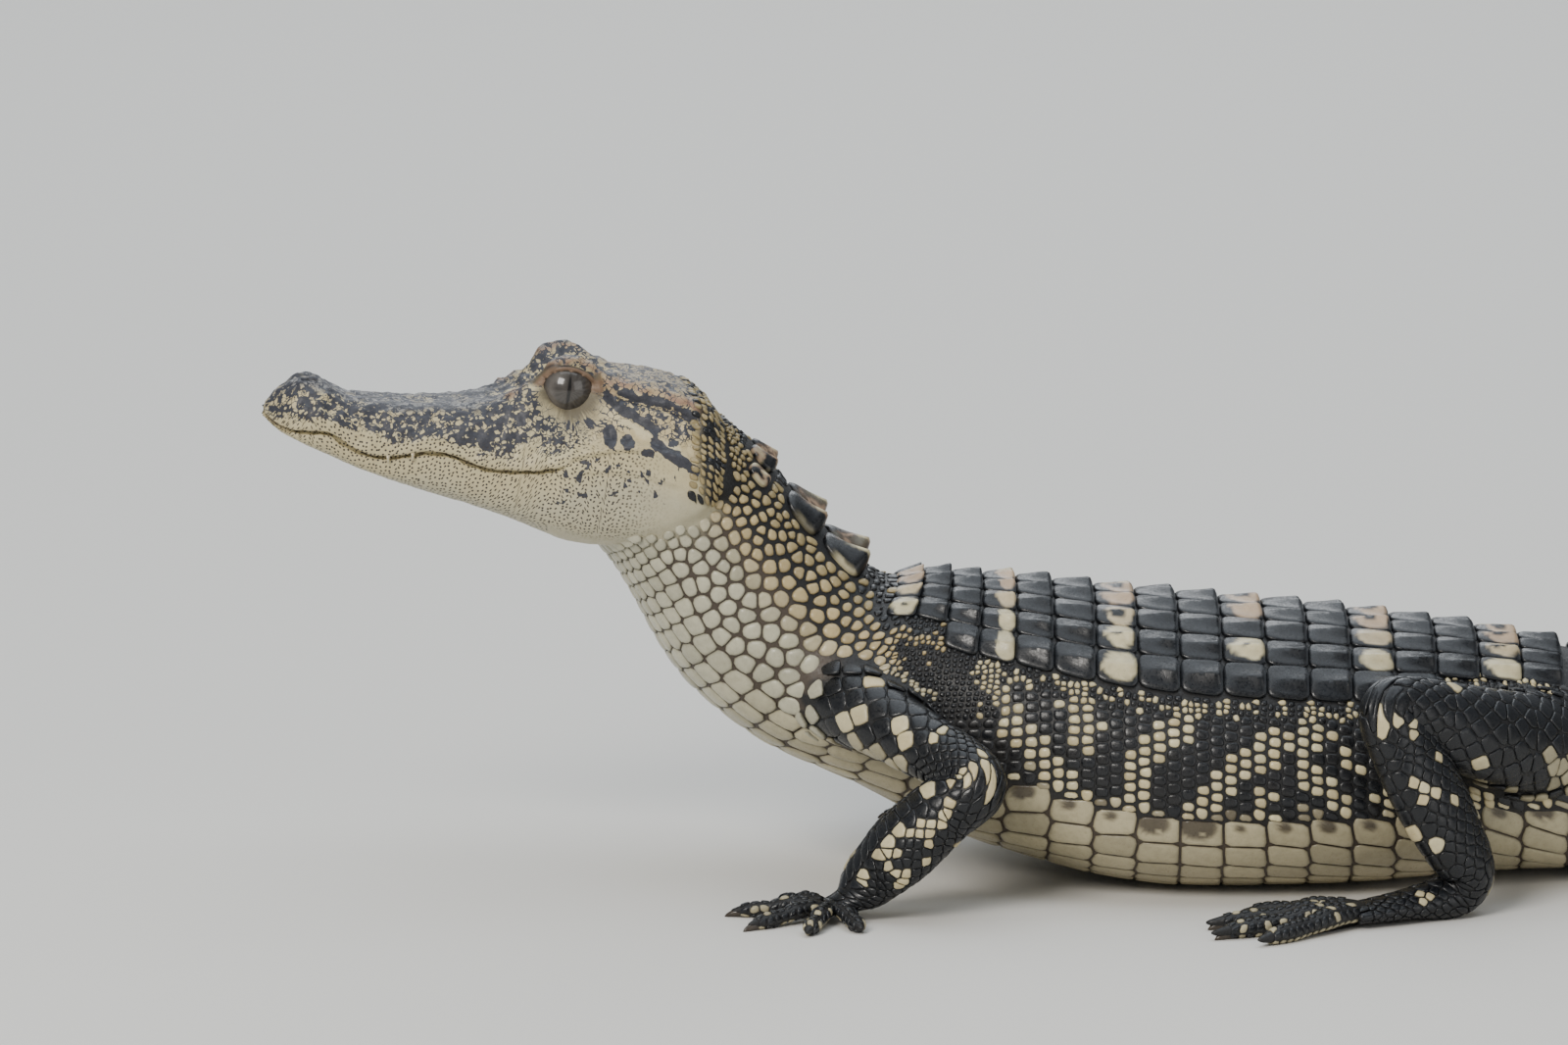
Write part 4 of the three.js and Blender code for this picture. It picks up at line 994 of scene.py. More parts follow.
# %% Union
sources = {"body": body, "head": head, "lid": lid_rolls[0], "lid_right": lid_rolls[1]}
source_points = {name: points_of(thing) for name, thing in sources.items()}
limb_points = np.concatenate([points_of(piece) for piece in pieces])
union_parts = bpy.data.collections.new("skin pieces")
bpy.context.scene.collection.children.link(union_parts)
for piece in [head, *pieces, *lid_rolls]:
    apply_to = body.modifiers.new("join", "BOOLEAN")
    apply_to.operation = "UNION"
    apply_to.solver = "MANIFOLD"
    apply_to.object = piece
    only(body)
    bpy.ops.object.modifier_apply(modifier=apply_to.name)
for piece in [head, *pieces, *lid_rolls]:
    bpy.data.objects.remove(piece)
skin_object = body
skin_object.name = "skin"
print("the skin has", len(skin_object.data.vertices), "points, volume",
      round(enclosed_volume(skin_object) / 1000, 1),
      "cubic centimetres")

# %% [markdown]
# Where the head sits on the neck and the limbs on the trunk, the union leaves sharp creases. Points near
# the meeting of two pieces are found, and only those are drawn towards the middle of their neighbours,
# most at the crease and less away from it.

# %% Ease the creases
all_source = np.concatenate([*source_points.values(), limb_points])
labels = np.concatenate([np.full(len(p), i) for i, p in enumerate([*source_points.values(), limb_points])])
BODY, HEAD, LID, LID_FAR, LIMB = range(5)
tree_of_sources = kdtree.KDTree(len(all_source))
for i, p in enumerate(all_source):
    tree_of_sources.insert(p, i)
tree_of_sources.balance()
points = points_of(skin_object)
source_index = np.array([tree_of_sources.find(p)[1] for p in points])
piece_of = labels[source_index]

edges = np.empty(len(skin_object.data.edges) * 2, np.int32)
skin_object.data.edges.foreach_get("vertices", edges)
edges = edges.reshape(-1, 2)


def spread_out(values, rounds, keep=None):
    """Each point's value drawn to the mean of its neighbours'."""
    values = np.array(values, float)
    count = np.bincount(edges.ravel(), minlength=len(points)).astype(float)
    for _ in range(rounds):
        total = np.zeros_like(values)
        np.add.at(total, edges[:, 0], values[edges[:, 1]])
        np.add.at(total, edges[:, 1], values[edges[:, 0]])
        mean = total / (count if values.ndim == 1 else count[:, None])
        values = mean if keep is None else values + (mean - values) * keep
    return values


crossing = piece_of[edges[:, 0]] != piece_of[edges[:, 1]]
crossing &= ~np.isin(piece_of[edges], (LID, LID_FAR)).any(axis=1)
limb_index = source_index - (len(all_source) - len(limb_points))
seam = np.zeros(len(points))
seam[edges[crossing].ravel()] = 1
seam_points = points[seam > 0] / MM
tree_of_seams = kdtree.KDTree(len(seam_points))
for i, p in enumerate(seam_points):
    tree_of_seams.insert(p, i)
tree_of_seams.balance()
seam_distance = np.array([tree_of_seams.find(p)[2] for p in points / MM])
big_seam = np.where(piece_of == HEAD, 3.0, 9.0)
ease = np.clip(1 - seam_distance / big_seam, 0, 1) ** 0.8
on_head = piece_of == HEAD
local = (points / MM - SHIFT - SNOUT_TIP) @ HEAD_TURN
ease *= np.where(on_head & (local[:, 0] < 70), 0, 1)
ease *= np.where(np.isin(piece_of, (LID, LID_FAR)), 0, 1)
points = spread_out(points, 42, keep=0.8 * ease[:, None])
skin_object.data.vertices.foreach_set("co", points.astype(np.float32).ravel())
skin_object.data.update()
smooth(skin_object)
print(int(seam.sum()), "points lie on the creases, and", int((ease > 0).sum()), "were eased")

# %% [markdown]
# ## Markings of the skin
#
# A young alligator is glossy black above with broken cross bands of cream, and dull cream below. On the
# head, cream sides carry a dark labyrinth; the top of the snout and the skull table are painted bluish grey,
# as the sky's sheen on wet skin; a dark stripe runs back from the eye; the brow and the rim of the skull
# table are pinkish tan. The mouth's line, the nostrils and the lids round the eye carry painted shade. Each
# colour is laid over the last one with a soft share between 0 and 1.

# %% Paint the skin
CREAM, DEEP_CREAM, BELLY_CREAM = linear("#cfc49e"), linear("#bdaa7c"), linear("#b8ae8e")
THROAT, TAN, PINKISH = linear("#b5b19a"), linear("#b3a075"), linear("#b08e76")
HEAD_SKY_SHEEN, BLACK, BROWN = linear("#74777e"), linear("#0f1115"), linear("#3a2f27")
GROOVE, PALE_GROOVE = linear("#0b0a0b"), linear("#4a3f33")


def lay(under, colour, share):
    return under * (1 - share[..., None]) + colour * share[..., None]


def near_line(b, u, points, width):
    """1 within this width of a line through (back, up) points, with a soft edge."""
    p, nearest = np.stack([b, u], axis=-1), np.full(b.shape, 1e9)
    for s, e in zip(np.array(points[:-1], float), np.array(points[1:], float)):
        t = np.clip(((p - s) @ (e - s)) / ((e - s) @ (e - s)), 0, 1)
        nearest = np.minimum(nearest, np.linalg.norm(p - (s + t[..., None] * (e - s)), axis=-1))
    return 1 - blend_to(width * 0.75, width * 1.15, nearest)


mesh_normals = np.empty(len(points) * 3, np.float32)
skin_object.data.vertex_normals.foreach_get("vector", mesh_normals)
mesh_normals = mesh_normals.reshape(-1, 3).astype(float)
local = (points / MM - SHIFT - SNOUT_TIP) @ HEAD_TURN
back_p, side_p, up_p = local[:, 0], np.abs(local[:, 1]), local[:, 2]
facing_up = (mesh_normals @ HEAD_TURN)[:, 2]
lip_p = lip_height(np.clip(back_p, 0, HEAD_END))
in_front = (on_head | np.isin(piece_of, (LID, LID_FAR))).astype(float)


def head_colours(b, s, u, facing):
    """Colour, labyrinth and pores for spots of the head."""
    wobble = noise_at(np.stack([b, s, u], -1), 5.0, 3.0)
    fine = noise_at(np.stack([b, s, u], -1), 2.0, 9.0)
    bb, uu = b + fine * 0.25, u + fine * 0.3
    lip = lip_height(np.clip(b, 0, HEAD_END))
    ridge_up = ridge(np.clip(b, 0, HEAD_END))[..., 1]
    tint = np.broadcast_to(linear("#c2b893"), (*b.shape, 3)).copy()
    above = blend_to(0.2, 1.2, uu - lip)  # 1 above the mouth
    top = blend_to(-1.2, 1.0, uu - ridge_up + 0.8 * wobble) * blend_to(0.15, 0.6, facing)
    # Upper jaw: cream lip with pores, then the labyrinth, then the top, painted bluish grey as the sky's
    # sheen on it.
    height = (uu - lip) / np.maximum(ridge_up - lip, 1)
    band = np.interp(b, (0, 12, 20, 45, 60), (0.30, 0.40, 0.36, 0.26, 0.22))
    mottle = above * 0.9 * blend_to(band - 0.06, band + 0.14, height + 0.14 * wobble) * (1 - 0.3 * top)
    tint = lay(tint, DEEP_CREAM, above * 0.3 * blend_to(0.3, 0.9, height))
    tint = lay(tint, HEAD_SKY_SHEEN, top * 0.9)
    streaks = noise_at(np.stack([b * 0.32, s * 1.1, u], -1), 1.3, 31.0)
    rim_path = [(68.0, 15.2), (73, 14.6), (79.7, 13.9), (85, 13.0), (90.3, 10.2)]
    table = blend_to(0.3, 1.1, uu - np.interp(b, *zip(*rim_path))) * blend_to(66, 69, b)
    # The skull table above its rim is painted bluish grey too, as the sky's sheen.
    tint = lay(tint, HEAD_SKY_SHEEN, table * 0.75)
    tint = lay(tint, BLACK, np.maximum(top, table) * blend_to(0.1, 0.42, streaks) * 0.85)
    pores = 1 - blend_to(band, band + 0.2, height) * 0.85
    # Jaw: cream with sense organs to its lower edge, clean at its angle, with a few blotches of dark brown.
    jaw = 1 - above
    speck = noise_at(np.stack([b, s, u], -1), 1.7, 21.0)
    specks = jaw * blend_to(0.5, 0.66, speck) * blend_to(54, 62, b) * (1 - blend_to(80, 86, b))
    specks = specks * (1 - blend_to(7, 12, lip - uu))
    tint = lay(tint, THROAT, jaw * blend_to(2, 9, lip - uu) * 0.8)
    edge_clean = blend_to(2.0, 4.5, uu - chin_height(np.clip(b, 0, HEAD_END)))
    behind = np.clip(1 - blend_to(70, 84, b), 0.0, 1)
    pores = np.where(above > 0.5, pores * (1 - 0.9 * blend_to(62, 70, b)),
                     behind * np.where(b > 60, edge_clean, 1.0))
    # Cheek behind the eye: fine vermiculation under the table, cream fading to the neck.
    cheek_share = above * blend_to(62, 70, b)
    tint = lay(tint, DEEP_CREAM, cheek_share * 0.55)
    mottle = mottle * (1 - cheek_share * (0.2 + 0.7 * (1 - blend_to(4.5, 7.5, uu - 0.06 * (b - 75)))))
    # Brow and rim of the skull table: narrow ridges of pinkish tan between dark lines.
    brow, rim = near_line(bb, uu, BROW, 0.6), near_line(bb, uu, rim_path, 0.75)
    over_brow = near_line(bb, uu, [(x, y + 1.5) for x, y in BROW], 0.8)
    ridge_share = blend_to(6.0, 7.6, s)
    mottle = np.maximum(mottle, over_brow * ridge_share * 0.8)
    tint = lay(tint, linear("#94765f"), np.maximum(brow, rim) * ridge_share * (0.7 + 0.3 * fine))
    mottle = mottle * (1 - 0.6 * np.maximum(brow, rim) * ridge_share)
    # Dark stripe from the eye's rear corner, with cream beneath it, and one under the table's rim.
    dark = near_line(bb, uu, [(66.4, 12.4), (69.0, 11.4), (72.5, 9.7), (77.8, 7.2)], 1.0)
    dark = np.maximum(dark, near_line(bb, uu, [(70.5, 13.0), (75.8, 12.5), (81.2, 12.1), (87.0, 10.1),
                                               (91, 7.9)], 0.85))
    light = near_line(bb, uu, [(65.5, 9.9), (69.5, 8.9), (76.5, 5.7), (82, 4.4)], 0.75)
    tint = lay(tint, CREAM, light * ridge_share)
    mottle = mottle * (1 - light * ridge_share)
    for spot_b, spot_u, long, tall in ((68.8, 5.0, 1.5, 2.2), (72.3, 4.4, 1.3, 1.3), (76.3, 3.0, 1.4, 1.0),
                                       (70.8, -0.4, 0.7, 0.5), (75.7, -1.5, 0.6, 0.6), (76.9, -2.8, 0.5, 0.6),
                                       (65.0, 6.6, 1.5, 0.55), (61.4, 5.2, 1.4, 0.5), (64.5, -0.9, 1.3, 0.5),
                                       (81.5, 5.4, 1.1, 0.6), (57.0, 4.6, 1.5, 0.45), (73.4, -3.2, 0.5, 0.4)):
        distance = np.hypot((bb - spot_b) / long, (uu - spot_u) / tall)
        dark = np.maximum(dark, 1 - blend_to(0.8, 1.15, distance))
    dark = np.maximum(dark, near_line(bb, uu, [(77.9, 4.9), (82, 2.9), (87.4, 0.3)], 1.25))
    dark = np.maximum(dark * blend_to(5, 8, s), specks * 0.85)
    # Round the eye: a cream lower lid, and an upper lid of dark brown with a tan edge. The upper lid's dark
    # is partly painted shadow under the brow, and the lower lid is painted dark as shade where it dips under
    # the eye.
    outward = np.stack([b - EYE_BACK, s - EYE_SIDE, u - EYE_UP], axis=-1)
    reach = np.linalg.norm(outward, axis=-1)
    ball = outward / np.maximum(reach, 1e-6)[..., None] * LID_RADIUS
    ring = opening(ball[..., 0], ball[..., 2])
    near_eye = (1 - blend_to(1.26, 1.42, ring)) * (outward[..., 1] > 0) * (reach < 8.5) * blend_to(5.5, 8, s)
    lower = near_eye * (1 - blend_to(-0.5, 0.7, u - EYE_UP))
    upper = near_eye * blend_to(-0.5, 0.7, u - EYE_UP) * (1 - blend_to(1.12, 1.2, ring))
    mottle = mottle * (1 - (1 - blend_to(6.5, 7.4, np.hypot(b - EYE_BACK, u - EYE_UP))) * (u < EYE_UP - 2)
                       * (s > 5))
    tint = lay(tint, CREAM, lower * 0.8)
    # The upper lid's dark brown also stands for painted shadow under the brow.
    tint = lay(tint, linear("#2c2624"), upper * (0.85 + 0.15 * fine))
    tint = lay(tint, linear("#7d6450"), upper * (1 - blend_to(1.04, 1.09, ring)) * 0.8)
    # Painted shade: the lower lid darkens where it dips under the eye.
    tint = lay(tint, linear("#241c19"), lower * (1 - blend_to(0.96, 1.01, ring)) * 0.8)
    mottle = mottle * (1 - np.maximum(lower, upper))
    pores = pores * (1 - near_eye)
    # The mouth's line and the inside of the nostrils are painted dark, as shade in the mouth's groove and in
    # the nostrils' pits.
    shut = near_line(b, u, list(zip(range(1, 60, 2), lip_height(np.arange(1, 60, 2)) - 0.15)), 0.22)
    tint = lay(tint, linear("#3b2a22"), shut * 0.9)
    nostril = np.linalg.norm(np.stack([(b - 8.6) / 2.6, (s - 3.0) / 1.9, (u - 6.6) / 3.2], -1), axis=-1)
    tint = lay(tint, BLACK, 1 - blend_to(0.45, 0.8, nostril))
    # The whole back of the head fades into the dark neck above.
    nape = blend_to(85.0, 88.0, bb + 0.35 * np.minimum(uu - 2, 0)) * blend_to(-7, -5, uu)
    tint = lay(tint, GROOVE, nape)
    mottle, pores = mottle * (1 - nape), pores * (1 - nape)
    return tint, np.clip(mottle, 0, 1), np.clip(pores, 0, 1), dark * (1 - near_eye) * (1 - nape)


tint, mottle, pores, stripes = head_colours(back_p, side_p, up_p, facing_up)
# Below the eye the mesh has long thin faces, so the colours of neighbouring points are drawn together.
from_eye = np.hypot(back_p - EYE_BACK, up_p - EYE_UP)
below_eye = (up_p < EYE_UP - 0.5) & (side_p > 4)
calm = 0.85 * blend_to(5.6, 6.4, from_eye) * (1 - blend_to(9.5, 11.5, from_eye)) * below_eye
mottle, tint = spread_out(mottle, 6, calm), spread_out(tint, 6, calm[:, None])
under = np.broadcast_to(GROOVE, tint.shape).copy()
body_place = body_places[np.clip(source_index // 96, 0, len(body_places) - 1)]
body_turn = body_angles[source_index % 96]
body_turn = np.minimum(body_turn, 360 - body_turn)
pale_from = np.interp(body_place, (0, 40, 60, 72, 84), (62, 66, 78, 96, 101))
below = (piece_of == BODY) * blend_to(pale_from - 6, pale_from + 6, body_turn)
under = lay(under, PALE_GROOVE, below * 0.8)
head_share = spread_out(in_front, 3)
tint = lay(under, np.array(0.0), head_share) + tint * head_share[:, None]
paint(skin_object, "tint", tint)
paint(skin_object, "mottle", mottle * head_share)
paint(skin_object, "stripes", stripes * head_share)
head_arcs = np.zeros((HEAD_ROWS, HEAD_COLUMNS))
head_arcs[:, head_order] = ordered_arcs
head_number = np.clip(source_index - len(source_points["body"]), 0, HEAD_ROWS * HEAD_COLUMNS - 1)
unrolled = np.stack([back_p, np.where(on_head, head_arcs.ravel()[head_number], 28 - 1.1 * up_p),
                     0 * back_p], axis=-1)
paint(skin_object, "unrolled", unrolled)
paint(skin_object, "pores", pores * head_share)
skin_object.data.materials.clear()
skin_object.data.materials.append(head_skin)
FLESH = ["head", "lower_jaw", "ear_left", "ear_right", "neck", "torso", "tail_1", "tail_2", "tail_3",
         "tail_4"]
for side in ("left", "right"):
    FLESH += [f"{part}_{side}" for part in ("upper_arm", "forearm", "hand", "thigh", "shank", "foot")]
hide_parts(*FLESH)
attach(skin_object, "root")
bmesh_tree = BVHTree.FromPolygons([tuple(p) for p in points],
                                  [tuple(f.vertices) for f in skin_object.data.polygons])
print("painted", len(points), "points; the skin stands in for", len(FLESH), "solids")

# %% [markdown]
# ## Scales
#
# Scales do not overlap on an alligator as they do on a snake: each is a cushion of horn that ends at a
# groove, and neighbours press one another into rounded rectangles and polygons. So a scale's outline here
# is the share of the surface that is nearer to its own root than to any other root, rounded off and drawn
# in by half a groove. It is built as a few rings that rise from under the skin to a domed or flat top.
# Each piece of coat keeps a map for its colours: the surface unrolled in millimetres, with a small disc
# for each scale at its root.

# %% The scale maker
UNROLLED = 640.0  # millimetres that the whole map is wide
PATCH = 0.0015  # half the width of a scale's disc on the map


def neighbours(roots, ghosts, count):
    """Vectors from each root to its nearest other roots or ghosts."""
    pool = np.concatenate([roots, ghosts]) if len(ghosts) else roots
    tree = kdtree.KDTree(len(pool))
    for i, p in enumerate(pool):
        tree.insert((p[0], p[1], 0), i)
    tree.balance()
    found = np.array([[hit[1] for hit in tree.find_n((p[0], p[1], 0), count + 1)][1:] for p in roots])
    return pool[found] - roots[:, None]


def outlines(roots, ghosts, directions, groove, roundness, limit):
    """How far each scale reaches from its root in each direction, up to a limit."""
    away = neighbours(roots, ghosts, 12)
    size = np.linalg.norm(away, axis=-1)
    facing = np.cos(directions[None, :, None] - np.arctan2(away[..., 1], away[..., 0])[:, None, :])
    pull = np.maximum(2 * facing / np.maximum(size, 0.05)[:, None, :], 0)
    p = np.broadcast_to(roundness, len(roots))[:, None]
    reach = ((pull ** p[..., None]).sum(-1) + (1.0 / limit) ** p) ** (-1 / p)
    return np.maximum(reach - np.broadcast_to(groove, len(roots))[:, None] / 2, 0.12)


class Coat:
    """Scales gathered into one mesh."""

    def __init__(self, name):
        self.name, self.count, self.scales = name, 0, 0
        self.points, self.quads, self.triangles, self.tints, self.map = [], [], [], [], []

    def add_rings(self, points, tints, map_points, closed_top=True):
        """Rings of points (scales, rings, directions, 3) and one middle (scales, 3) at the top."""
        rings, tops = points
        n, r, d = rings.shape[:3]
        base = self.count
        index = base + np.arange(n * r * d).reshape(n, r, d)
        after = np.roll(index, -1, axis=2)
        quads = np.stack([index[:, :-1], after[:, :-1], after[:, 1:], index[:, 1:]], axis=-1).reshape(-1, 4)
        top = base + n * r * d + np.arange(n)
        foot = top + n
        up = np.stack([index[:, -1], after[:, -1], np.broadcast_to(top[:, None], (n, d))], axis=-1)
        down = np.stack([after[:, 0], index[:, 0], np.broadcast_to(foot[:, None], (n, d))], axis=-1)
        self.points += [rings.reshape(-1, 3), tops, rings[:, 0].mean(axis=1)]
        self.quads.append(quads)
        self.triangles += [up.reshape(-1, 3), down.reshape(-1, 3)]
        ring_tints, top_tints = tints
        self.tints += [ring_tints.reshape(-1, 3), top_tints, ring_tints[:, 0].mean(axis=1)]
        self.map += [part.reshape(-1, 2) for part in map_points]
        self.count += n * r * d + 2 * n
        self.scales += n

    def finish(self, material, nodes=()):
        points = np.concatenate(self.points)
        made = mesh_object(self.name, to_frame(points), np.concatenate(self.quads),
                           np.concatenate(self.triangles))
        if enclosed_volume(made) < 0:
            made.data.flip_normals()
        paint(made, "tint", np.clip(np.concatenate(self.tints), 0, 1))
        corner = np.empty(len(made.data.loops), np.int32)
        made.data.loops.foreach_get("vertex_index", corner)
        layer = made.data.uv_layers.new(name="OFBake")
        layer.data.foreach_set("uv", np.concatenate(self.map)[corner].astype(np.float32).ravel())
        made.data.materials.append(material)
        smooth(made)
        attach(made, "root")
        made.data.calc_loop_triangles()
        print(self.name, "has", self.scales, "scales and", len(made.data.loop_triangles), "triangles")
        return made


PROFILES = {
    # rings as (share of the reach, height in shares of the scale's own)
    "flat": ((0.97, -0.9), (1.0, 0.25), (0.93, 0.72), (0.8, 0.93), (0.45, 1.0)),
    "cushion": ((0.96, -0.9), (1.0, 0.15), (0.9, 0.55), (0.7, 0.85), (0.38, 0.98)),
    "bead": ((0.94, -0.9), (1.0, 0.1), (0.84, 0.55), (0.5, 0.9)),
    "broad": ((0.97, -0.9), (1.0, 0.25), (0.95, 0.72), (0.86, 0.93), (0.68, 0.98), (0.46, 1.0), (0.22, 1.0)),
}


def lay_scales(coat, roots, surface, *, directions=12, groove=0.3, roundness=8.0, height=0.5,
               profile="cushion",
               tints=None, ghosts=(), map_at=None, tilt=0.15, keel=0.0, rim=0.55, pull_in=2.2, edge_highlight=None,
               blotches=None, deepest=-0.35, limit=3.2, shrink=1.0):
    """Scales with these roots, in millimetres of an unrolled surface, laid on that surface."""
    if not len(roots):
        return np.zeros(0, bool)
    rng = np.random.default_rng(len(roots))
    turn = np.linspace(0, 2 * math.pi, directions, endpoint=False)
    ghosts = np.asarray(ghosts, float).reshape(-1, 2)
    reach = outlines(roots, ghosts, turn, groove, roundness, limit)
    reach = reach * np.broadcast_to(shrink, len(roots))[:, None]
    feet = surface(roots[:, 0], roots[:, 1], np.full(len(roots), -SKIN_DEPTH))
    shift, keep = np.zeros_like(feet), np.ones(len(roots), bool)
    for i, foot in enumerate(to_frame(feet)):
        spot, normal, _, distance = bmesh_tree.find_nearest(foot)
        distance /= MM
        if distance > pull_in:
            keep[i] = False
        shift[i] = (np.array(spot) - foot) / MM
    roots, reach, shift = roots[keep], reach[keep], shift[keep]
    n = len(roots)
    if n == 0:
        return keep
    heights = np.broadcast_to(height, keep.shape)[keep] * rng.uniform(0.85, 1.15, n)
    rings = PROFILES[profile]
    share = np.array([r[0] for r in rings])
    rise = np.array([r[1] for r in rings])
    du = reach[:, None, :] * share[None, :, None] * np.cos(turn)
    dv = reach[:, None, :] * share[None, :, None] * np.sin(turn)
    u, v = roots[:, 0, None, None] + du, roots[:, 1, None, None] + dv
    along = np.clip(du / np.maximum(reach.max(axis=1), 0.3)[:, None, None], -1, 1)
    off = heights[:, None, None] * rise[None, :, None]
    off = np.where(rise[None, :, None] < 0, deepest, off)
    lifted = rise[None, :, None] > 0
    tilts = np.broadcast_to(tilt, keep.shape)[keep][:, None, None]
    off = off + lifted * tilts * along * heights[:, None, None]
    across = np.clip(np.abs(dv) / np.maximum(reach.mean(axis=1), 0.3)[:, None, None], 0, 1)
    keels = np.broadcast_to(keel, keep.shape)[keep][:, None, None]
    off = off + lifted * keels * np.maximum(1 - across * 1.6, 0) * (0.5 + 0.5 * along)
    ring_points = surface(u, v, off - SKIN_DEPTH) + shift[:, None, None, :]
    tops = surface(roots[:, 0], roots[:, 1], heights * 1.03 + keels[:, 0, 0] * 0.5 - SKIN_DEPTH) + shift
    ring_points[..., 2] = np.maximum(ring_points[..., 2], 0.0)
    base = np.broadcast_to(BLACK if tints is None else tints, (len(keep), 3))[keep]
    light = base.sum(axis=1) > 0.25
    # Pale scales are painted darker towards their edge, darkest on the foot sunk into the groove: painted
    # shade.
    shade = np.interp(share, (0.35, 0.8, 0.92, 1.0), (1.0, 1.0, 0.86, rim))
    shade = np.where(rise < 0, rim * 0.5, shade)
    ring_tints = base[:, None, None, :] * np.where(light[:, None], shade[None, :], 1.0)[:, :, None, None]
    ring_tints = np.broadcast_to(ring_tints, (*u.shape, 3)).copy()
    if edge_highlight is not None:
        # The rear edge of a dark scale is painted paler, a painted highlight.
        rear = blend_to(0.45, 0.95, along) * (~light)[:, None, None] * lifted
        ring_tints = ring_tints * (1 - 0.5 * rear[..., None]) + edge_highlight * 0.5 * rear[..., None]
    if blotches is not None:
        # A brown blotch in the front upper part of a pale scale.
        size = np.broadcast_to(blotches, keep.shape)[keep][:, None, None]
        mean = reach.mean(axis=1)[:, None, None]
        spot = np.hypot((du / mean + 0.25) / 0.62, (dv * np.sign(v) / mean + 0.42) / 0.46)
        where = (1 - blend_to(size - 0.25, size + 0.3, spot)) * (size > 0.1)
        ring_tints = lay(ring_tints, BROWN * 0.8, where * 0.85)
    unrolled = np.stack([u, v], axis=-1) if map_at is None else map_at(u, v)
    middle = np.stack([roots[:, 0], roots[:, 1]], -1) if map_at is None else map_at(roots[:, 0], roots[:, 1])
    disc = np.stack([np.cos(turn), np.sin(turn)], -1)
    map_share = np.linspace(1.0, 0.35, len(rings))
    ring_map = middle[:, None, None, :] / UNROLLED + PATCH * map_share[None, :, None, None] * disc[None, None]
    offset = np.array([0.02, 0.02])
    top_map, foot_map = middle / UNROLLED + offset, middle / UNROLLED + offset + (0.0, 0.5)
    coat.add_rings((ring_points, tops), (ring_tints, base), (ring_map + offset, top_map, foot_map))
    return keep


def body_surface(u, v, off):
    return skin(u, degrees_at(u, v), off)


print("scales end under the skin", SKIN_DEPTH, "mm below the solids' surface")

# %% [markdown]
# ## Scales of neck, flank and belly
#
# Distances here are millimetres along the body's middle line and round its side from the top. The belly
# has one row of broad rectangles for each row of back plates. The flank's scales are small and loosely in
# rows. On the throat they stand in tight cross rows, which shrink towards the jaw, and on the neck's side
# they are domed polygons in black skin. Over the shoulder blade they are hardly more than granules.

# %% Roots of the body's scales
ROW_PITCH, TRUNK_ROWS, COLUMN_ANGLE = 8.75, 17, 13
FIRST_ROW = place_of(4) + 5
WHORLS = 37


def whorl_edge(index):
    """Where one ring of tail scales ends and the next begins: they grow shorter towards the tip."""
    share = np.asarray(index) / WHORLS
    return TAIL_START + (BODY_END - TAIL_START) * share * (1 + 0.18 * (1 - share))


def arc_at(place, degrees):
    """The distance round from the top at these degrees, for one place."""
    row = min(max(float(place) / BODY_END * 239, 0), 238.999)
    low_row, share = int(row), row % 1
    table = GIRTH[low_row] * (1 - share) + GIRTH[low_row + 1] * share
    return float(np.interp(float(degrees), GIRTH_DEGREES, table))


columns_of = lambda row: 3 if row < 2 or row > 13 else 4
plate_degrees = line([(FIRST_ROW - 4, 39), (FIRST_ROW + 16, 39), (FIRST_ROW + 19, 52),
                      (FIRST_ROW + 121, 52), (FIRST_ROW + 124, 39), (TAIL_START, 39)])
SHIELDS = [
    # place, degrees from the top, length, width, keel, where the keel peaks
    (place_of(3) + 5.2, 12.5, 12.6, 10.0, 3.8, 0.27), (place_of(3) - 7.8, 13.0, 10.5, 10.0, 3.1, 0.28),
    (place_of(2) - 1.5, 9.0, 6.4, 5.4, 1.9, 0.25), (place_of(2) - 0.5, 27.0, 5.2, 4.4, 1.2, 0.25),
]


BELLY_EDGE = 96  # degrees from the top where the belly's rectangles begin
NECK_EDGE = 114  # and where the throat's rows begin


def nearest_to(pool, spots):
    """The distance from each spot to the nearest of a pool of roots, and which root that is."""
    tree = kdtree.KDTree(len(pool))
    for i, p in enumerate(pool):
        tree.insert((*p, 0)[:3], i)
    tree.balance()
    found = [tree.find((*p, 0)[:3]) for p in spots]
    return np.array([f[2] for f in found]), np.array([f[1] for f in found])


def neck_roots():
    """Roots packed over the neck's side, each as far from the next as its size asks, then evened out."""
    rng = np.random.default_rng(17)
    places = rng.uniform(6, FIRST_ROW + 1.05 * ROW_PITCH, 26000)
    arcs = rng.uniform(0.8, 52, 26000)
    rows = np.clip((places / BODY_END * 239).astype(int), 0, 238)
    low = np.array([np.interp(NECK_EDGE, GIRTH_DEGREES, GIRTH[row]) for row in rows])
    plates_start = np.array([arc_at(p, 39) if p > FIRST_ROW - 0.6 else 0.0 for p in places])
    inside = (arcs < low - 0.4) & (arcs > plates_start)
    spots = np.stack([places, arcs], axis=-1)[inside]
    degrees = degrees_at(spots[:, 0], spots[:, 1])
    size = np.interp(spots[:, 0], (6, 12, 20, 32, 55, 72), (1.7, 2.1, 3.0, 3.7, 4.3, 4.4))
    size *= np.interp(degrees, (15, 40, 70, 100, 114), (0.66, 0.74, 0.86, 1.0, 1.06))
    size *= 1 - 0.3 * blend_to(52, 66, spots[:, 0]) * (1 - blend_to(60, 84, degrees))
    kept, kept_size = np.empty((0, 2)), np.empty(0)
    for spot, wanted in zip(spots, size):
        if not len(kept) or (np.hypot(*(kept - spot).T) > 0.42 * (wanted + kept_size)).all():
            kept, kept_size = np.concatenate([kept, spot[None]]), np.append(kept_size, wanted)
    for _ in range(3):
        nearest = nearest_to(kept, spots)[1]
        weight = np.bincount(nearest, 1 / size ** 2, len(kept))
        middle = [np.bincount(nearest, spots[:, k] / size ** 2, len(kept)) / weight for k in (0, 1)]
        kept = np.stack(middle, axis=-1)
    return kept


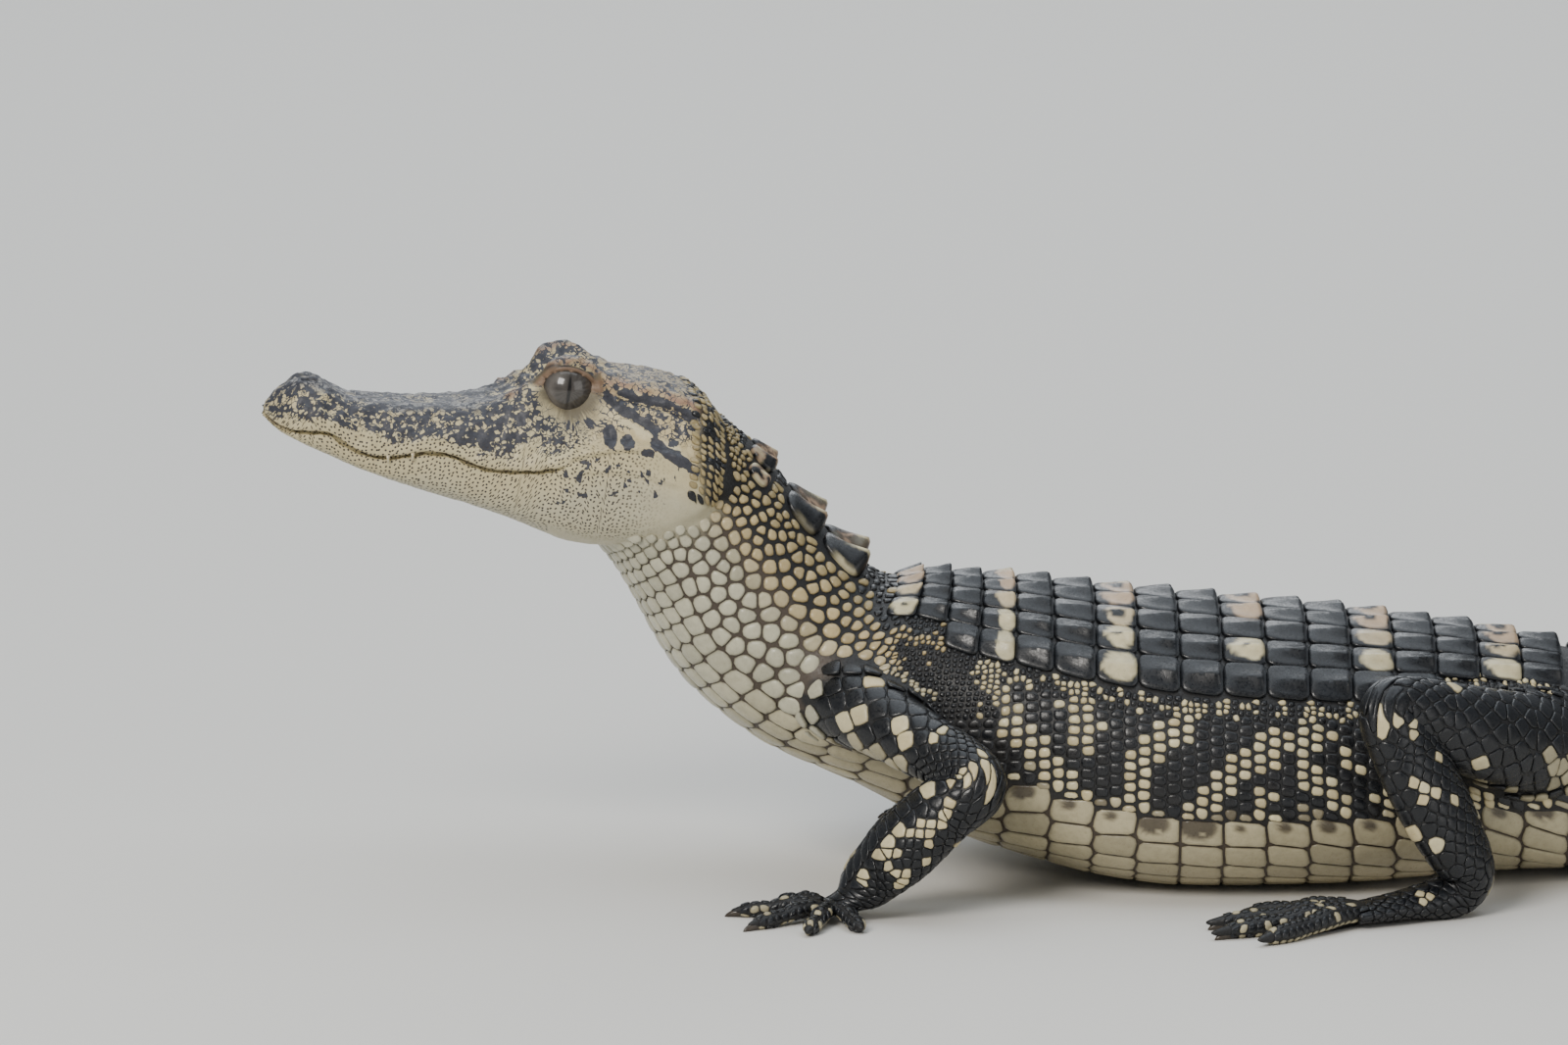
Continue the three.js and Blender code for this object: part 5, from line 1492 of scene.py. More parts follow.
def flank_roots():
    """Roots of one side from the back plates down to the belly's middle."""
    roots, kinds = [], []

    def put(place, arc, kind):
        roots.append((place, arc))
        kinds.append(kind)

    # Belly rectangles, one row for each row of plates.
    place = FIRST_ROW + 1.5 * ROW_PITCH
    while place < TAIL_START - 2:
        middle = float(half_girth(place))
        edge = float(arc_at(place, BELLY_EDGE))
        count = max(int(round((middle - edge) / 6.0)), 2)
        for j in range(count):
            put(place, middle - (j + 0.5) * (middle - edge) / count, "belly")
        place += ROW_PITCH
    # Flank rows, three to a row of plates.
    place = FIRST_ROW + 1.0 * ROW_PITCH + 1.4
    i = 0
    while place < TAIL_START - 1:
        top = float(arc_at(place, plate_degrees(place))) - 0.2
        edge = float(arc_at(place, BELLY_EDGE))
        count = int(round((edge - top) / 2.35))
        for j in range(count):
            arc = top + (j + (0.75 if i % 2 else 0.25)) * (edge - top) / count
            put(place, arc, "flank")
        place += ROW_PITCH / 3
        i += 1
    # Throat in cross rows that grow from the jaw to the chest.
    place = 9.0
    while place < FIRST_ROW + 1.0 * ROW_PITCH:
        pitch = float(np.interp(place, (9, 20, 35, 50, 74), (2.5, 3.4, 4.6, 5.6, 6.2)))
        middle, edge = float(half_girth(place)), float(arc_at(place, NECK_EDGE))
        count = int(round((middle - edge) / (pitch * 1.05)))
        for j in range(count):
            put(place, middle - (j + 0.5) * (middle - edge) / count, "throat")
        place += pitch
    for place, arc in neck_roots():
        put(place, arc, "neck")
    return np.array(roots), np.array(kinds)


SPLIT = ((-0.75, -0.6), (0.7, -0.55), (-0.65, 0.6), (0.75, 0.6))


def split_small(roots, kinds, where, seed):
    """Scales become four beads each in some places."""
    rng = np.random.default_rng(seed)
    out, out_kinds = [], []
    for root, kind, small in zip(roots, kinds, where):
        if not small:
            out.append(root)
            out_kinds.append(kind)
            continue
        for du, dv in SPLIT:
            out.append(root + np.array([du, dv]) + rng.uniform(-1, 1, 2) * (0.3, 0.15))
            out_kinds.append("granule")
    return np.array(out), np.array(out_kinds)


base_roots, base_kinds = flank_roots()
near_shield = np.zeros(len(base_roots), bool)
shield_ghosts = []
for place, degrees, long, wide, *_ in SHIELDS:
    arc = float(arc_at(place, degrees))
    inside = np.abs(base_roots[:, 0] - place) < long / 2 + 0.9
    inside &= np.abs(base_roots[:, 1] - arc) < wide / 2 + 0.9
    near_shield |= inside
    for t in np.linspace(0, 2 * math.pi, 28, endpoint=False):
        square = 1 / max(abs(math.cos(t)), abs(math.sin(t))) ** 0.6
        shield_ghosts.append((place + (long / 2 - 0.9) * math.cos(t) * square,
                              arc + (wide / 2 - 0.9) * math.sin(t) * square))
base_roots, base_kinds = base_roots[~near_shield], base_kinds[~near_shield]
plate_line = [(p, float(arc_at(p, plate_degrees(p))) - 2.0)
              for p in np.arange(FIRST_ROW - 3, TAIL_START + 3, 1.6)]
shoulder = (base_roots[:, 0] > 66) & (base_roots[:, 0] < 93)
shoulder &= (base_roots[:, 1] > 25) & (base_roots[:, 1] < 43)
plate_edge = np.array([arc_at(p, plate_degrees(p)) for p in base_roots[:, 0]])
under_plates = (base_kinds == "flank") & (base_roots[:, 1] < plate_edge + 3.4)
base_roots, base_kinds = split_small(base_roots, base_kinds, shoulder | under_plates, 5)
side_roots, side_kinds, side_ghosts = {}, {}, {}
for side, seed in ((1, 11), (-1, 12)):
    loose = np.select([base_kinds == "belly", base_kinds == "throat", base_kinds == "granule"],
                      [0.2, 0.25, 0.1],
                      0.26)
    moved = base_roots + np.random.default_rng(seed).uniform(-1, 1, base_roots.shape) * loose[:, None]
    across = moved * (1, -1)
    ghosts = np.concatenate([np.array(shield_ghosts + plate_line), across[across[:, 1] > -9]])
    # Beyond the belly's middle the other side's scales follow.
    beyond = np.stack([moved[:, 0], 2 * half_girth(moved[:, 0]) - moved[:, 1]], axis=-1)
    close = moved[:, 1] > half_girth(moved[:, 0]) - 9
    next_whorl = [(float(whorl_edge(0.5)), a) for a in np.arange(2, 80, 3.0)]
    ghosts = np.concatenate([ghosts, beyond[close], np.array(next_whorl)])
    side_roots[side], side_kinds[side] = moved * (1, side), base_kinds
    side_ghosts[side] = ghosts * (1, side)
print(len(base_roots), "scales on each side:", {k: int((base_kinds == k).sum()) for k in set(base_kinds)})

# %% [markdown]
# The cross bands break up on the flank into slanting strokes of cream scales. Each stroke is a short path
# with a width. Those of the left side are where this animal has them, and the right side, which differs a
# little in every alligator, has the same ones shifted and bent at random.

# %% Flank markings
STROKES = [
    # path as (distance along the body, distance round from the top), and half the width
    ([(90, 32.2), (91.6, 35.4), (95.5, 39), (97, 44.1), (100.1, 47.5), (105.9, 53.6), (109.8, 58.4)], 2.9),
    ([(109.4, 35.8), (111, 47.1)], 3.0),
    ([(132.3, 40.4), (129.2, 44.8), (124.2, 49.2), (123, 54.8), (123, 60.9)], 3.2),
    ([(157.9, 42.2), (150.9, 45.1), (145.5, 48.8), (141.2, 52.6), (138.1, 56.5), (133.9, 60.5)], 2.9),
    ([(157.5, 50), (160.3, 52.5), (164.5, 55)], 2.4), ([(148.6, 56), (148.6, 61.5)], 2.2),
    ([(164.5, 44.8), (165.7, 47.1)], 1.8), ([(183, 36), (178, 42), (175, 48), (172, 54)], 2.8),
    ([(196, 38), (193, 46), (190, 54)], 2.6), ([(206, 34), (204, 44)], 2.4),
    ([(105.9, 34.9), (106.5, 35.6)], 0.9), ([(117.6, 38.6), (118.2, 39)], 0.9),
    ([(119.9, 37.1), (120.3, 37.6)], 0.8),
]


def stroke_depth(roots, side, seed):
    """How far each root lies inside a cream stroke, in millimetres; below 0 it is outside."""
    rng = np.random.default_rng(seed)
    depth = np.full(len(roots), -99.0)
    p = np.stack([roots[:, 0], np.abs(roots[:, 1])], axis=-1)
    for path, half in STROKES:
        path = np.array(path, float)
        if side < 0:
            path = path + rng.uniform(-4, 4, 2) * (1.0, 0.5) + rng.uniform(-1, 1, path.shape)
        for s, e in zip(path[:-1], path[1:]):
            t = np.clip(((p - s) @ (e - s)) / ((e - s) @ (e - s)), 0, 1)
            depth = np.maximum(depth, half - np.linalg.norm(p - (s + t[:, None] * (e - s)), axis=-1))
    return depth


def body_tints(roots, kinds, side, seed):
    rng = np.random.default_rng(seed)
    n = len(roots)
    place, arc = roots[:, 0], np.abs(roots[:, 1])
    degrees = np.abs(degrees_at(place, arc))
    bright = rng.uniform(0.8, 1.08, (n, 1))
    black = BLACK * rng.uniform(0.7, 1.5, (n, 1)) + rng.uniform(0, 0.006, (n, 1)) * np.array([1.0, 0.8, 0.6])
    depth = stroke_depth(roots, side, seed) + rng.normal(0, 0.7, n)
    tints = black
    # Flank: cream where a stroke runs, greyer and browner down to the belly.
    flank_cream = (depth > 0) | (rng.random(n) < 0.012)
    beads = (kinds == "granule") & (place > 96) & (rng.random(n) < 0.45)
    flank_cream = flank_cream | beads
    tints = np.where(flank_cream[:, None],
                     lay(np.broadcast_to(CREAM, (n, 3)), DEEP_CREAM, rng.random(n) * 0.6) * bright,
                     tints)
    low = blend_to(86, 95, degrees) * 0.6
    chosen = (rng.random(n) < low) & (kinds != "belly")
    greyish = lay(np.broadcast_to(BELLY_CREAM, (n, 3)), BROWN, rng.random(n) * 0.75) * bright
    tints = np.where((chosen & ~flank_cream)[:, None], greyish, tints)
    belly = lay(np.broadcast_to(BELLY_CREAM, (n, 3)), BROWN, rng.random(n) * 0.18) * bright
    tints = np.where((kinds == "belly")[:, None], belly, tints)
    # Throat: greyish cream in front, belly cream behind.
    throat = lay(np.broadcast_to(THROAT, (n, 3)), BELLY_CREAM, blend_to(35, 70, place)) * bright
    tints = np.where((kinds == "throat")[:, None], throat, tints)
    # Neck: tan domes below, black ones among them above.
    in_neck = (kinds == "neck") | ((kinds == "granule") & (place < 80))
    dark_from = np.interp(place, (9, 30, 44, 56, 64, 74, 84), (14, 18, 24, 34, 50, 80, 100))
    pale_share = blend_to(dark_from - 9, dark_from + 7, degrees)
    clump = np.array([noise.noise(Vector((p / 6, a / 5, side * 3.0))) for p, a in zip(place, arc)])
    pale = rng.random(n) < np.clip(pale_share + clump * 1.1 * (pale_share < 0.95), 0, 1)
    clusters = ((62, 77, 22, 27), (75, 86, 24, 29), (70, 74, 33, 40), (86, 93, 30, 36))
    for start, stop, upper, lower in clusters:
        inside = (place > start) & (place < stop) & (arc > upper) & (arc < lower)
        pale |= inside & (rng.random(n) < 0.6)
    tan = lay(np.broadcast_to(linear("#9a8a62"), (n, 3)), TAN, blend_to(30, 60, degrees))
    tan = lay(tan, THROAT, blend_to(62, 88, degrees)) * bright
    neck = np.where(pale[:, None], tan, black)
    return np.where(in_neck[:, None], neck, tints)


def mirrored(roots, side, kinds, wanted):
    """Images of the roots near the belly's edge, across it, so that the edge comes out straight."""
    close = roots[np.isin(kinds, wanted)]
    edge = np.array([arc_at(p, BELLY_EDGE) for p in close[:, 0]])
    arc = np.abs(close[:, 1])
    near = np.abs(arc - edge) < 9
    return np.stack([close[near, 0], (2 * edge - arc)[near] * side], axis=-1)


GROUPS = {
    # kinds: directions, roundness, profile, tilt, the painted shade at the rim of pale scales, and for pale
    # and for dark scales the groove and the height
    "neck": (14, 5.5, "cushion", 0.1, 0.5, (0.24, 0.6), (0.5, 0.45)),
    "throat": (16, 11.0, "cushion", 0.12, 0.5, (0.16, 0.5), (0.16, 0.4)),
    "flank": (14, 8.0, "cushion", 0.12, 0.5, (0.46, 0.55), (0.22, 0.32)),
    "granule": (8, 5.0, "bead", 0.0, 0.6, (0.24, 0.5), (0.2, 0.36)),
    "belly": (24, 22.0, "broad", 0.1, 0.55, (0.46, 0.42), (0.46, 0.42)),
}
neck_spots = []
for side, word in ((1, "left"), (-1, "right")):
    for pieces_kinds, name in ((("neck", "throat"), "neck_scales"),
                               (("flank", "granule", "belly"), "flank_scales")):
        coat = Coat(f"{name}_{word}")
        roots, kinds = side_roots[side], side_kinds[side]
        tints = body_tints(roots, kinds, side, 21 + side)
        for kind in pieces_kinds:
            directions, roundness, profile, tilt, rim, on_pale, on_dark = GROUPS[kind]
            chosen = kinds == kind
            others = np.concatenate([roots[~chosen], side_ghosts[side]])
            if kind in ("belly", "flank"):
                across_edge = "belly" if kind == "flank" else "flank"
                others = np.concatenate([roots[~chosen & (kinds != across_edge)], side_ghosts[side],
                                         mirrored(roots, side, kinds, kind)])
            pale = tints[chosen].sum(axis=1) > 0.25
            degrees = np.abs(degrees_at(roots[chosen][:, 0], np.abs(roots[chosen][:, 1])))
            groove = np.where(pale, on_pale[0], on_dark[0])
            shrink = np.ones(len(pale))
            if kind == "neck":
                # Towards the nape the domes stand apart in black skin, and their sizes vary.
                apart = 1 - blend_to(48, 84, degrees)
                shrink = 1 - apart * np.random.default_rng(9 + side).uniform(0.0, 0.2, len(pale))
                groove = groove + 0.2 * apart
            kept = lay_scales(
                coat, roots[chosen], body_surface, directions=directions, groove=groove,
                roundness=np.where(pale, min(roundness, 5.0), roundness) if kind == "flank" else roundness,
                height=np.where(pale, on_pale[1], on_dark[1]), profile=profile, tints=tints[chosen],
                ghosts=others, tilt=tilt, rim=rim, shrink=shrink, limit=6.5 if kind == "belly" else 4.2,
                pull_in=1.3 if kind == "neck" else 2.2,
                edge_highlight=None if kind == "granule" else linear("#2c2e32"),
                blotches=np.random.default_rng(3 + side).uniform(0.3, 1.7, int(chosen.sum()))
                * (degrees < 106) if kind == "belly" else None)
            if name == "neck_scales":
                neck_spots.append(body_surface(*roots[chosen][kept].T, 0.0))
        coat.finish(scale_horn)


# %% [markdown]
# Behind the skull and the jaw, rows of small scales lie on the head itself and lead over to the neck. They
# are laid where no scale of the neck stands.

# %% Scales behind the head
rear = []
for i, back in enumerate(np.arange(86.3, 94.0, 1.55)):
    row = int(np.clip(np.interp(back, head_backs, np.arange(HEAD_ROWS)), 0, HEAD_ROWS - 1))
    arcs = np.arange(-46, 46, 1.75) + (0.9 if i % 2 else 0.0)
    heights = np.interp(arcs, ordered_arcs[row], ordered_grid[row, :, 2])
    rear += [(back, arc, u) for arc, u in zip(arcs, heights) if back > (86 if u > -5 else 89.4)]
rear = np.array(rear)
rear[:, :2] += np.random.default_rng(51).uniform(-0.22, 0.22, (len(rear), 2))
rear = rear[nearest_to(np.concatenate(neck_spots), head_surface(rear[:, 0], rear[:, 1], 0.0))[0] > 1.75]
rng = np.random.default_rng(52)
pale = rng.random(len(rear)) < np.clip(np.interp(rear[:, 2], (-12, 0, 8), (1.0, 0.9, 0.6)), 0, 1)
tan = lay(np.broadcast_to(linear("#9a8a62"), (len(rear), 3)), THROAT, blend_to(-6, -16, rear[:, 2]))
coat = Coat("head_rear_scales")
lay_scales(coat, rear[:, :2], head_surface, directions=12, groove=0.34, roundness=5.0, height=0.42,
           tints=np.where(pale[:, None], tan * rng.uniform(0.8, 1.1, (len(rear), 1)), BLACK), rim=0.5,
           pull_in=0.9, limit=1.4, map_at=lambda u, v: np.stack([u + 10.0, v + 100.0], axis=-1))
coat.finish(scale_horn)

# %% [markdown]
# ## Plates of the back
#
# Under each of these plates lies a bony one. Each is a rounded rectangle with a keel that rises to the
# rear, and hollow facets beside it. They stand in cross rows, six or eight to a row, and join into long
# ridges. Four tall shields guard the neck, with smaller knobs before them. Rings of an outline at sinking
# heights make a plate, just as with the scales.

# %% Plates
PLATE_RINGS = (1.0, 1.0, 0.95, 0.86, 0.72, 0.55, 0.36, 0.18)
PLATE_FEET = (-1.0, 0.1, 0.55, 0.85, 1.0, 1.0, 1.0, 1.0)


def lay_plates(coat, plates, directions=32, hollow=0.35):
    """Keeled plates, each a dictionary of its place, degrees, size, keel and colours."""
    turn = np.linspace(0, 2 * math.pi, directions, endpoint=False)
    share = np.array(PLATE_RINGS)[:, None]
    foot = np.array(PLATE_FEET)[:, None]
    foot = np.concatenate([np.broadcast_to(foot, (len(PLATE_RINGS), directions)).ravel(), [1.0]])
    all_points, all_tints, maps, map_tops, map_feet = [], [], [], [], []
    for plate in plates:
        place, degrees, long, wide = (plate[k] for k in ("place", "degrees", "long", "wide"))
        power = plate.get("round", 5.5)
        square = (np.abs(np.cos(turn)) ** power + np.abs(np.sin(turn)) ** power) ** (-1 / power)
        a = np.concatenate([(share * square * np.cos(turn)).ravel(), [0.0]]) / 2
        b = np.concatenate([(share * square * np.sin(turn)).ravel(), [0.0]]) / 2
        per_degree = float(np.linalg.norm(skin(place, degrees + 1) - skin(place, degrees)))
        taper = 1 + plate.get("taper", 0.06) * a * 2
        u, v = place + a * long, degrees + b * wide * taper / per_degree
        rear = np.clip((a + 0.5) / (plate["peak"] + 0.5), 0, 1)
        fall = 1 - blend_to(plate["peak"] + 0.02, 0.5, a) * 0.55
        keel = plate["keel"] * (plate.get("front", 0.18) + (1 - plate.get("front", 0.18))
                                * rear ** 1.1) * fall
        ridge_shape = np.maximum(1 - np.abs(b) * 2.0, 0) ** plate.get("sharp", 1.9)
        wave = 0.10 * np.sin(a * 9 + place) * np.cos(b * 7 + degrees)
        off = plate["thick"] * (1 + wave) + keel * ridge_shape
        off = off - hollow * plate["thick"] * np.exp(-((np.abs(b) - 0.28) / 0.12) ** 2) * rear
        off = np.where(foot < 0, -1.1, off * foot)
        spot = skin(u, v, off)
        all_points.append(spot)
        all_tints.append(plate["tint"](a, b, off / (plate["thick"] + plate["keel"])))
        arc = math.copysign(arc_at(place, abs(degrees)), degrees)
        middle = np.array([place, arc]) / UNROLLED + 0.02
        maps.append(middle + PATCH * share[..., None] * np.stack([np.cos(turn), np.sin(turn)], -1)
                    * np.linspace(1, 0.9, len(PLATE_RINGS))[:, None, None])
        map_tops.append(middle)
        map_feet.append(middle + (0.0, 0.5))
    n, r = len(plates), len(PLATE_RINGS)
    points, tints = np.array(all_points), np.array(all_tints)
    coat.add_rings((points[:, :-1].reshape(n, r, directions, 3), points[:, -1]),
                   (tints[:, :-1].reshape(n, r, directions, 3), tints[:, -1]),
                   (np.array(maps), np.array(map_tops), np.array(map_feet)))


# Blue-black horn, a painted sky sheen, and a pale grey for painted highlights on edges and keels.
BLUE_BLACK, PLATE_SKY_SHEEN, PAINTED_HIGHLIGHT = linear("#0c0e12"), linear("#242930"), linear("#63666a")


def plate_tint(seed, pale, middle_share, patch=(0.1, 0.34), hole=0.0):
    """A painter for one plate: blue-black with a painted cloud of sky sheen and painted highlights on its
    rear edge and keel, or a cream patch, often with a dark hole.

    patch is the patch's middle along the plate and half its length, in shares of the plate."""
    rng = np.random.default_rng(seed)
    shift = rng.uniform(0, 50)
    strength = rng.uniform(0.88, 1.0)
    aside = rng.uniform(-0.08, 0.08)
    size = rng.uniform(0.85, 1.15)

    def tint(a, b, high):
        cloud = np.array([noise.noise(Vector((x * 3.2 + shift, y * 3.2, shift))) for x, y in zip(a, b)])
        made = np.broadcast_to(BLUE_BLACK, (len(a), 3)).copy()
        # A cloud of painted sky sheen over the blue-black.
        made = lay(made, PLATE_SKY_SHEEN, np.clip(0.2 + cloud, 0, 1) * 0.38)
        # Painted highlights on the rear edge and on the keel's highest parts.
        edge = blend_to(0.45, 0.495, a) * (1 - blend_to(0.42, 0.48, np.abs(b)))
        made = lay(made, PAINTED_HIGHLIGHT, edge * 0.75)
        made = lay(made, PAINTED_HIGHLIGHT * 0.6, blend_to(0.75, 1.0, high) * 0.3)
        if pale:
            colour = CREAM * (1 - middle_share) + PINKISH * middle_share
            away = np.hypot((a - patch[0]) / (patch[1] * size), (b - aside) / 0.43) + cloud * 0.3
            where = 1 - blend_to(0.88, 1.06, away)
            if hole:
                middle = np.hypot((a - patch[0] + 0.06) / (0.34 * hole),
                                  (b - aside) / (0.22 * hole)) + cloud * 0.35
                where = where * blend_to(0.75, 1.0, middle)
            made = lay(made, colour * (0.92 + 0.2 * cloud[:, None]), where * strength * pale)
        return made

    return tint


# Rows with a cross band, and each patch's middle and half length in shares of a plate's length.
BANDED_ROWS = {0: (0.0, 0.55), 3: (0.24, 0.3), 6: (0.08, 0.4), 9: (0.12, 0.4), 12: (0.08, 0.42),
               15: (0.1, 0.42)}
plates = []
for row in range(TRUNK_ROWS):
    for column in range(columns_of(row)):
        for hand in (1, -1):
            place, degrees = FIRST_ROW + (row + 0.5) * ROW_PITCH, hand * (column + 0.5) * COLUMN_ANGLE
            half = float(body_at(place)[6])
            seed = row * 100 + column * 10 + hand + 1
            rng = np.random.default_rng(seed)
            band = BANDED_ROWS.get(row)
            pale = 0.0 if band is None else (1.0 if rng.random() < 0.85 else 0.0)
            hole = rng.uniform(0.5, 0.8) if column < 2 and row not in (0, 3) and rng.random() < 0.75 else 0.0
            if column == 2 and rng.random() < 0.4:
                hole = 0.4
            plates.append({
                "place": place, "degrees": degrees, "long": ROW_PITCH - 0.1,
                "wide": arc_at(place, (column + 1) * COLUMN_ANGLE) - arc_at(place, column * COLUMN_ANGLE)
                - 0.12
                + (0.9 if column == columns_of(row) - 1 else 0),
                "keel": 1.6 + 0.25 * math.sin(row * 1.7 + column * 2.3) - (0.3 if column == 3 else 0),
                "peak": 0.44,
                "thick": 0.45, "sharp": 1.6,
                "tint": plate_tint(seed + 999, pale, 0.7 if column == 0 else 0.3 * (column < 2),
                                   band or (0, 0.3), hole),
            })
back_plates = Coat("back_plates")
lay_plates(back_plates, plates, hollow=0.6)
back_plates.finish(scale_horn)


def shield_tint(seed, hand, small):
    """Nuchal shields: black on the outer slope, tan with black clouds inside, cream at the outer rim."""
    rng = np.random.default_rng(seed)
    shift = rng.uniform(0, 50)

    def tint(a, b, high):
        out = b * hand
        cloud = np.array([noise.noise(Vector((x * 3.0 + shift, y * 3.0, shift))) for x, y in zip(a, b)])
        made = np.broadcast_to(BLUE_BLACK * 0.8, (len(a), 3)).copy()
        tan = lay(np.broadcast_to(linear("#a1876f"), (len(a), 3)), CREAM * 0.9, np.clip(cloud * 2, 0, 1))
        inner = (1 - blend_to(-0.03, 0.05, out + cloud * 0.06)) * blend_to(-0.42, -0.2, a + cloud * 0.2)
        inner = inner * (1 - blend_to(0.02, 0.16, np.abs(cloud + 0.12) * (1.6 if small else 0.9)) * 0.8)
        crown = (1 - blend_to(0.03, 0.08, np.abs(out + 0.01))) * blend_to(-0.2, 0.1, a)
        made = lay(made, tan, np.maximum(inner, crown) * 0.92)
        rim = blend_to(0.36, 0.43, out + cloud * 0.05) * blend_to(-0.3, 0.0, a)
        made = lay(made, CREAM * 0.75, rim * blend_to(-0.2, 0.1, cloud + 0.1) * (0.9 if seed < 73 else 0.25))
        if small:
            made = lay(made, tan, blend_to(0.0, 0.1, cloud + 0.05) * 0.7)
        return made

    return tint


neck_plates = Coat("neck_plates")
shields = []
for i, (place, degrees, long, wide, keel, peak) in enumerate(SHIELDS):
    for hand in (1, -1):
        shields.append({"place": place, "degrees": hand * degrees, "long": long, "wide": wide, "keel": keel,
                        "peak": peak, "thick": 0.5, "taper": 0.1, "sharp": 1.1, "front": 0.0, "round": 2.8,
                        "tint": shield_tint(70 + i * 2 + hand, hand, i > 1)})
lay_plates(neck_plates, shields, directions=48, hollow=0.5)
neck_plates.finish(scale_horn)

# %% [markdown]
# ## Tail
#
# The tail is ringed by whorls of tall rectangular scales. Its crest begins as two low rows on each side of
# the middle, which rise, draw together, and join at the seventeenth whorl into one row of upright blades.

# %% Tail scales and crest
DOUBLE_CREST, FLAT_WHORLS = 17, 9


def crest_degrees(index):
    return 34 - 20 * index / DOUBLE_CREST if index < DOUBLE_CREST else 0.0


tail_roots, tail_index = [], []
for index in range(WHORLS):
    place = float(whorl_edge(index + 0.5))
    middle = float(half_girth(place))
    edge_arc = arc_at(place, crest_degrees(index)) + (1.6 if index < 26 else 0.5)
    count = max(int(round((middle - edge_arc) / max(5.2 * (1 - index / 55), 2.0))), 2)
    for j in range(count):
        tail_roots.append((place, edge_arc + (j + 0.5) * (middle - edge_arc) / count))
        tail_index.append(index)
    if FLAT_WHORLS <= index < DOUBLE_CREST:
        tail_roots.append((place, edge_arc * 0.28))
        tail_index.append(index)
tail_roots, tail_index = np.array(tail_roots), np.array(tail_index)
TAIL_BANDS = (1, 2, 6, 7, 11, 12, 16, 17, 21, 22, 26, 27, 31, 32)
for side, word in ((1, "left"), (-1, "right")):
    rng = np.random.default_rng(40 + side)
    roots = tail_roots + rng.uniform(-0.15, 0.15, tail_roots.shape)
    degrees = degrees_at(roots[:, 0], roots[:, 1])
    n = len(roots)
    tints = BLACK * rng.uniform(0.8, 1.4, (n, 1))
    banded = np.isin(tail_index, TAIL_BANDS) & (degrees > 38) & (rng.random(n) < 0.72)
    tints = np.where(banded[:, None], lay(np.broadcast_to(CREAM, (n, 3)), DEEP_CREAM, rng.random(n)), tints)
    under = degrees > 118
    pale_under = under & (rng.random(n) < 0.75)
    tints = np.where(pale_under[:, None], BELLY_CREAM * rng.uniform(0.75, 1.0, (n, 1)), tints)
    crest_ghosts = []
    for index in range(WHORLS):
        place = float(whorl_edge(index + 0.5))
        arc = arc_at(place, crest_degrees(index)) - 0.5
        crest_ghosts += [(place + d, arc) for d in (-3, -1, 1, 3)]
        crest_ghosts.append((place, 2 * float(half_girth(place)) - (float(half_girth(place)) - 2.4)))
    before = side_roots[side][side_roots[side][:, 0] > TAIL_START - 12] * (1, side)
    coat = Coat(f"tail_scales_{word}")
    lay_scales(coat, roots * (1, side), body_surface, directions=18, groove=0.36, roundness=14.0, height=0.45,
               profile="flat", tints=tints, tilt=0.25, rim=0.5, limit=6.0,
               keel=np.where(degrees < 60, 0.25, 0.0),
               ghosts=np.concatenate([np.array(crest_ghosts), before]) * (1, side),
               edge_highlight=linear("#4a4c50"))
    coat.finish(scale_horn)

crest = Coat("tail_crest")
flats = []
for index in range(WHORLS):
    place, long = float(whorl_edge(index + 0.5)), float(whorl_edge(index + 1) - whorl_edge(index))
    if index >= DOUBLE_CREST:
        left = (WHORLS - index) / (WHORLS - DOUBLE_CREST)
        tall, thick, hands = 1.6 + 4.6 * left, 0.9 + 1.1 * left, (0,)
    else:
        tall, thick, hands = 1.6 + 3.2 * min(1, index / 12), 1.7, (1, -1)
    for hand in hands:
        turn = np.linspace(0, 2 * math.pi, 20, endpoint=False)
        rise = np.array([-1.2, 0.0, 0.25, 0.5, 0.72, 0.88, 0.97])
        grown = np.maximum(rise, 0)
        length = (0.96 * (1 - grown ** 1.7) + 0.10) * np.where(rise < 0, 0.95, 1)
        width = (1 - grown) ** 0.8 + 0.10
        centre = 0.44 * grown ** 1.25
        a = centre[:, None] + length[:, None] / 2 * np.cos(turn)
        across = width[:, None] * thick / 2 * np.sin(turn) * np.abs(np.sin(turn)) ** 0.3
        off = np.where(rise < 0, -1.2, grown * tall)[:, None] + 0 * a
        degrees = hand * crest_degrees(index)
        heading = np.radians(body_at(place + a * long)[..., 8])
        leftward = np.stack([np.sin(heading), -np.cos(heading), np.zeros_like(heading)], -1)
        rings = skin(place + a * long, degrees, off) + leftward * across[..., None]
        top = skin(place + 0.46 * long, degrees, tall)
        shade = np.random.default_rng(index * 3 + hand + 1).uniform(0.8, 1.3)
        tint = np.broadcast_to(BLUE_BLACK * shade, (1, 7, 20, 3)).copy()
        if index in TAIL_BANDS:
            band = 0.8 * blend_to(0.0, 0.35, np.sin(turn + index) * 0.3 + 0.2)
            tint = tint + (CREAM * 0.8 - tint) * band[None, None, :, None]
        # The blades' tops are painted paler, a painted highlight.
        tint = tint + (PAINTED_HIGHLIGHT - tint) * (0.6 * np.maximum(grown - 0.8, 0) / 0.2)[None, :, None, None]
        middle = np.array([place, hand * arc_at(place, abs(degrees))]) / UNROLLED + 0.02
        disc = np.stack([np.cos(turn), np.sin(turn)], -1)
        ring_map = middle + PATCH * np.linspace(1, 0.3, 7)[:, None, None] * disc[None]
        crest.add_rings((rings[None], top[None]), (tint, tint[:, -1, 0]),
                        (ring_map[None], middle[None], middle[None] + (0, 0.5)))
        if index < FLAT_WHORLS:
            wide = float(body_at(place)[6]) * math.radians(abs(degrees)) * 0.8
            pale = 0.9 if index in TAIL_BANDS else 0.0
            flats.append({"place": place, "degrees": degrees * 0.45, "long": long - 0.6, "wide": wide,
                          "keel": 0.9, "peak": 0.42, "thick": 0.7,
                          "tint": plate_tint(index * 7 + hand + 300, pale, 0.4, (0.0, 0.4))})
lay_plates(crest, flats)
crest.finish(scale_horn)

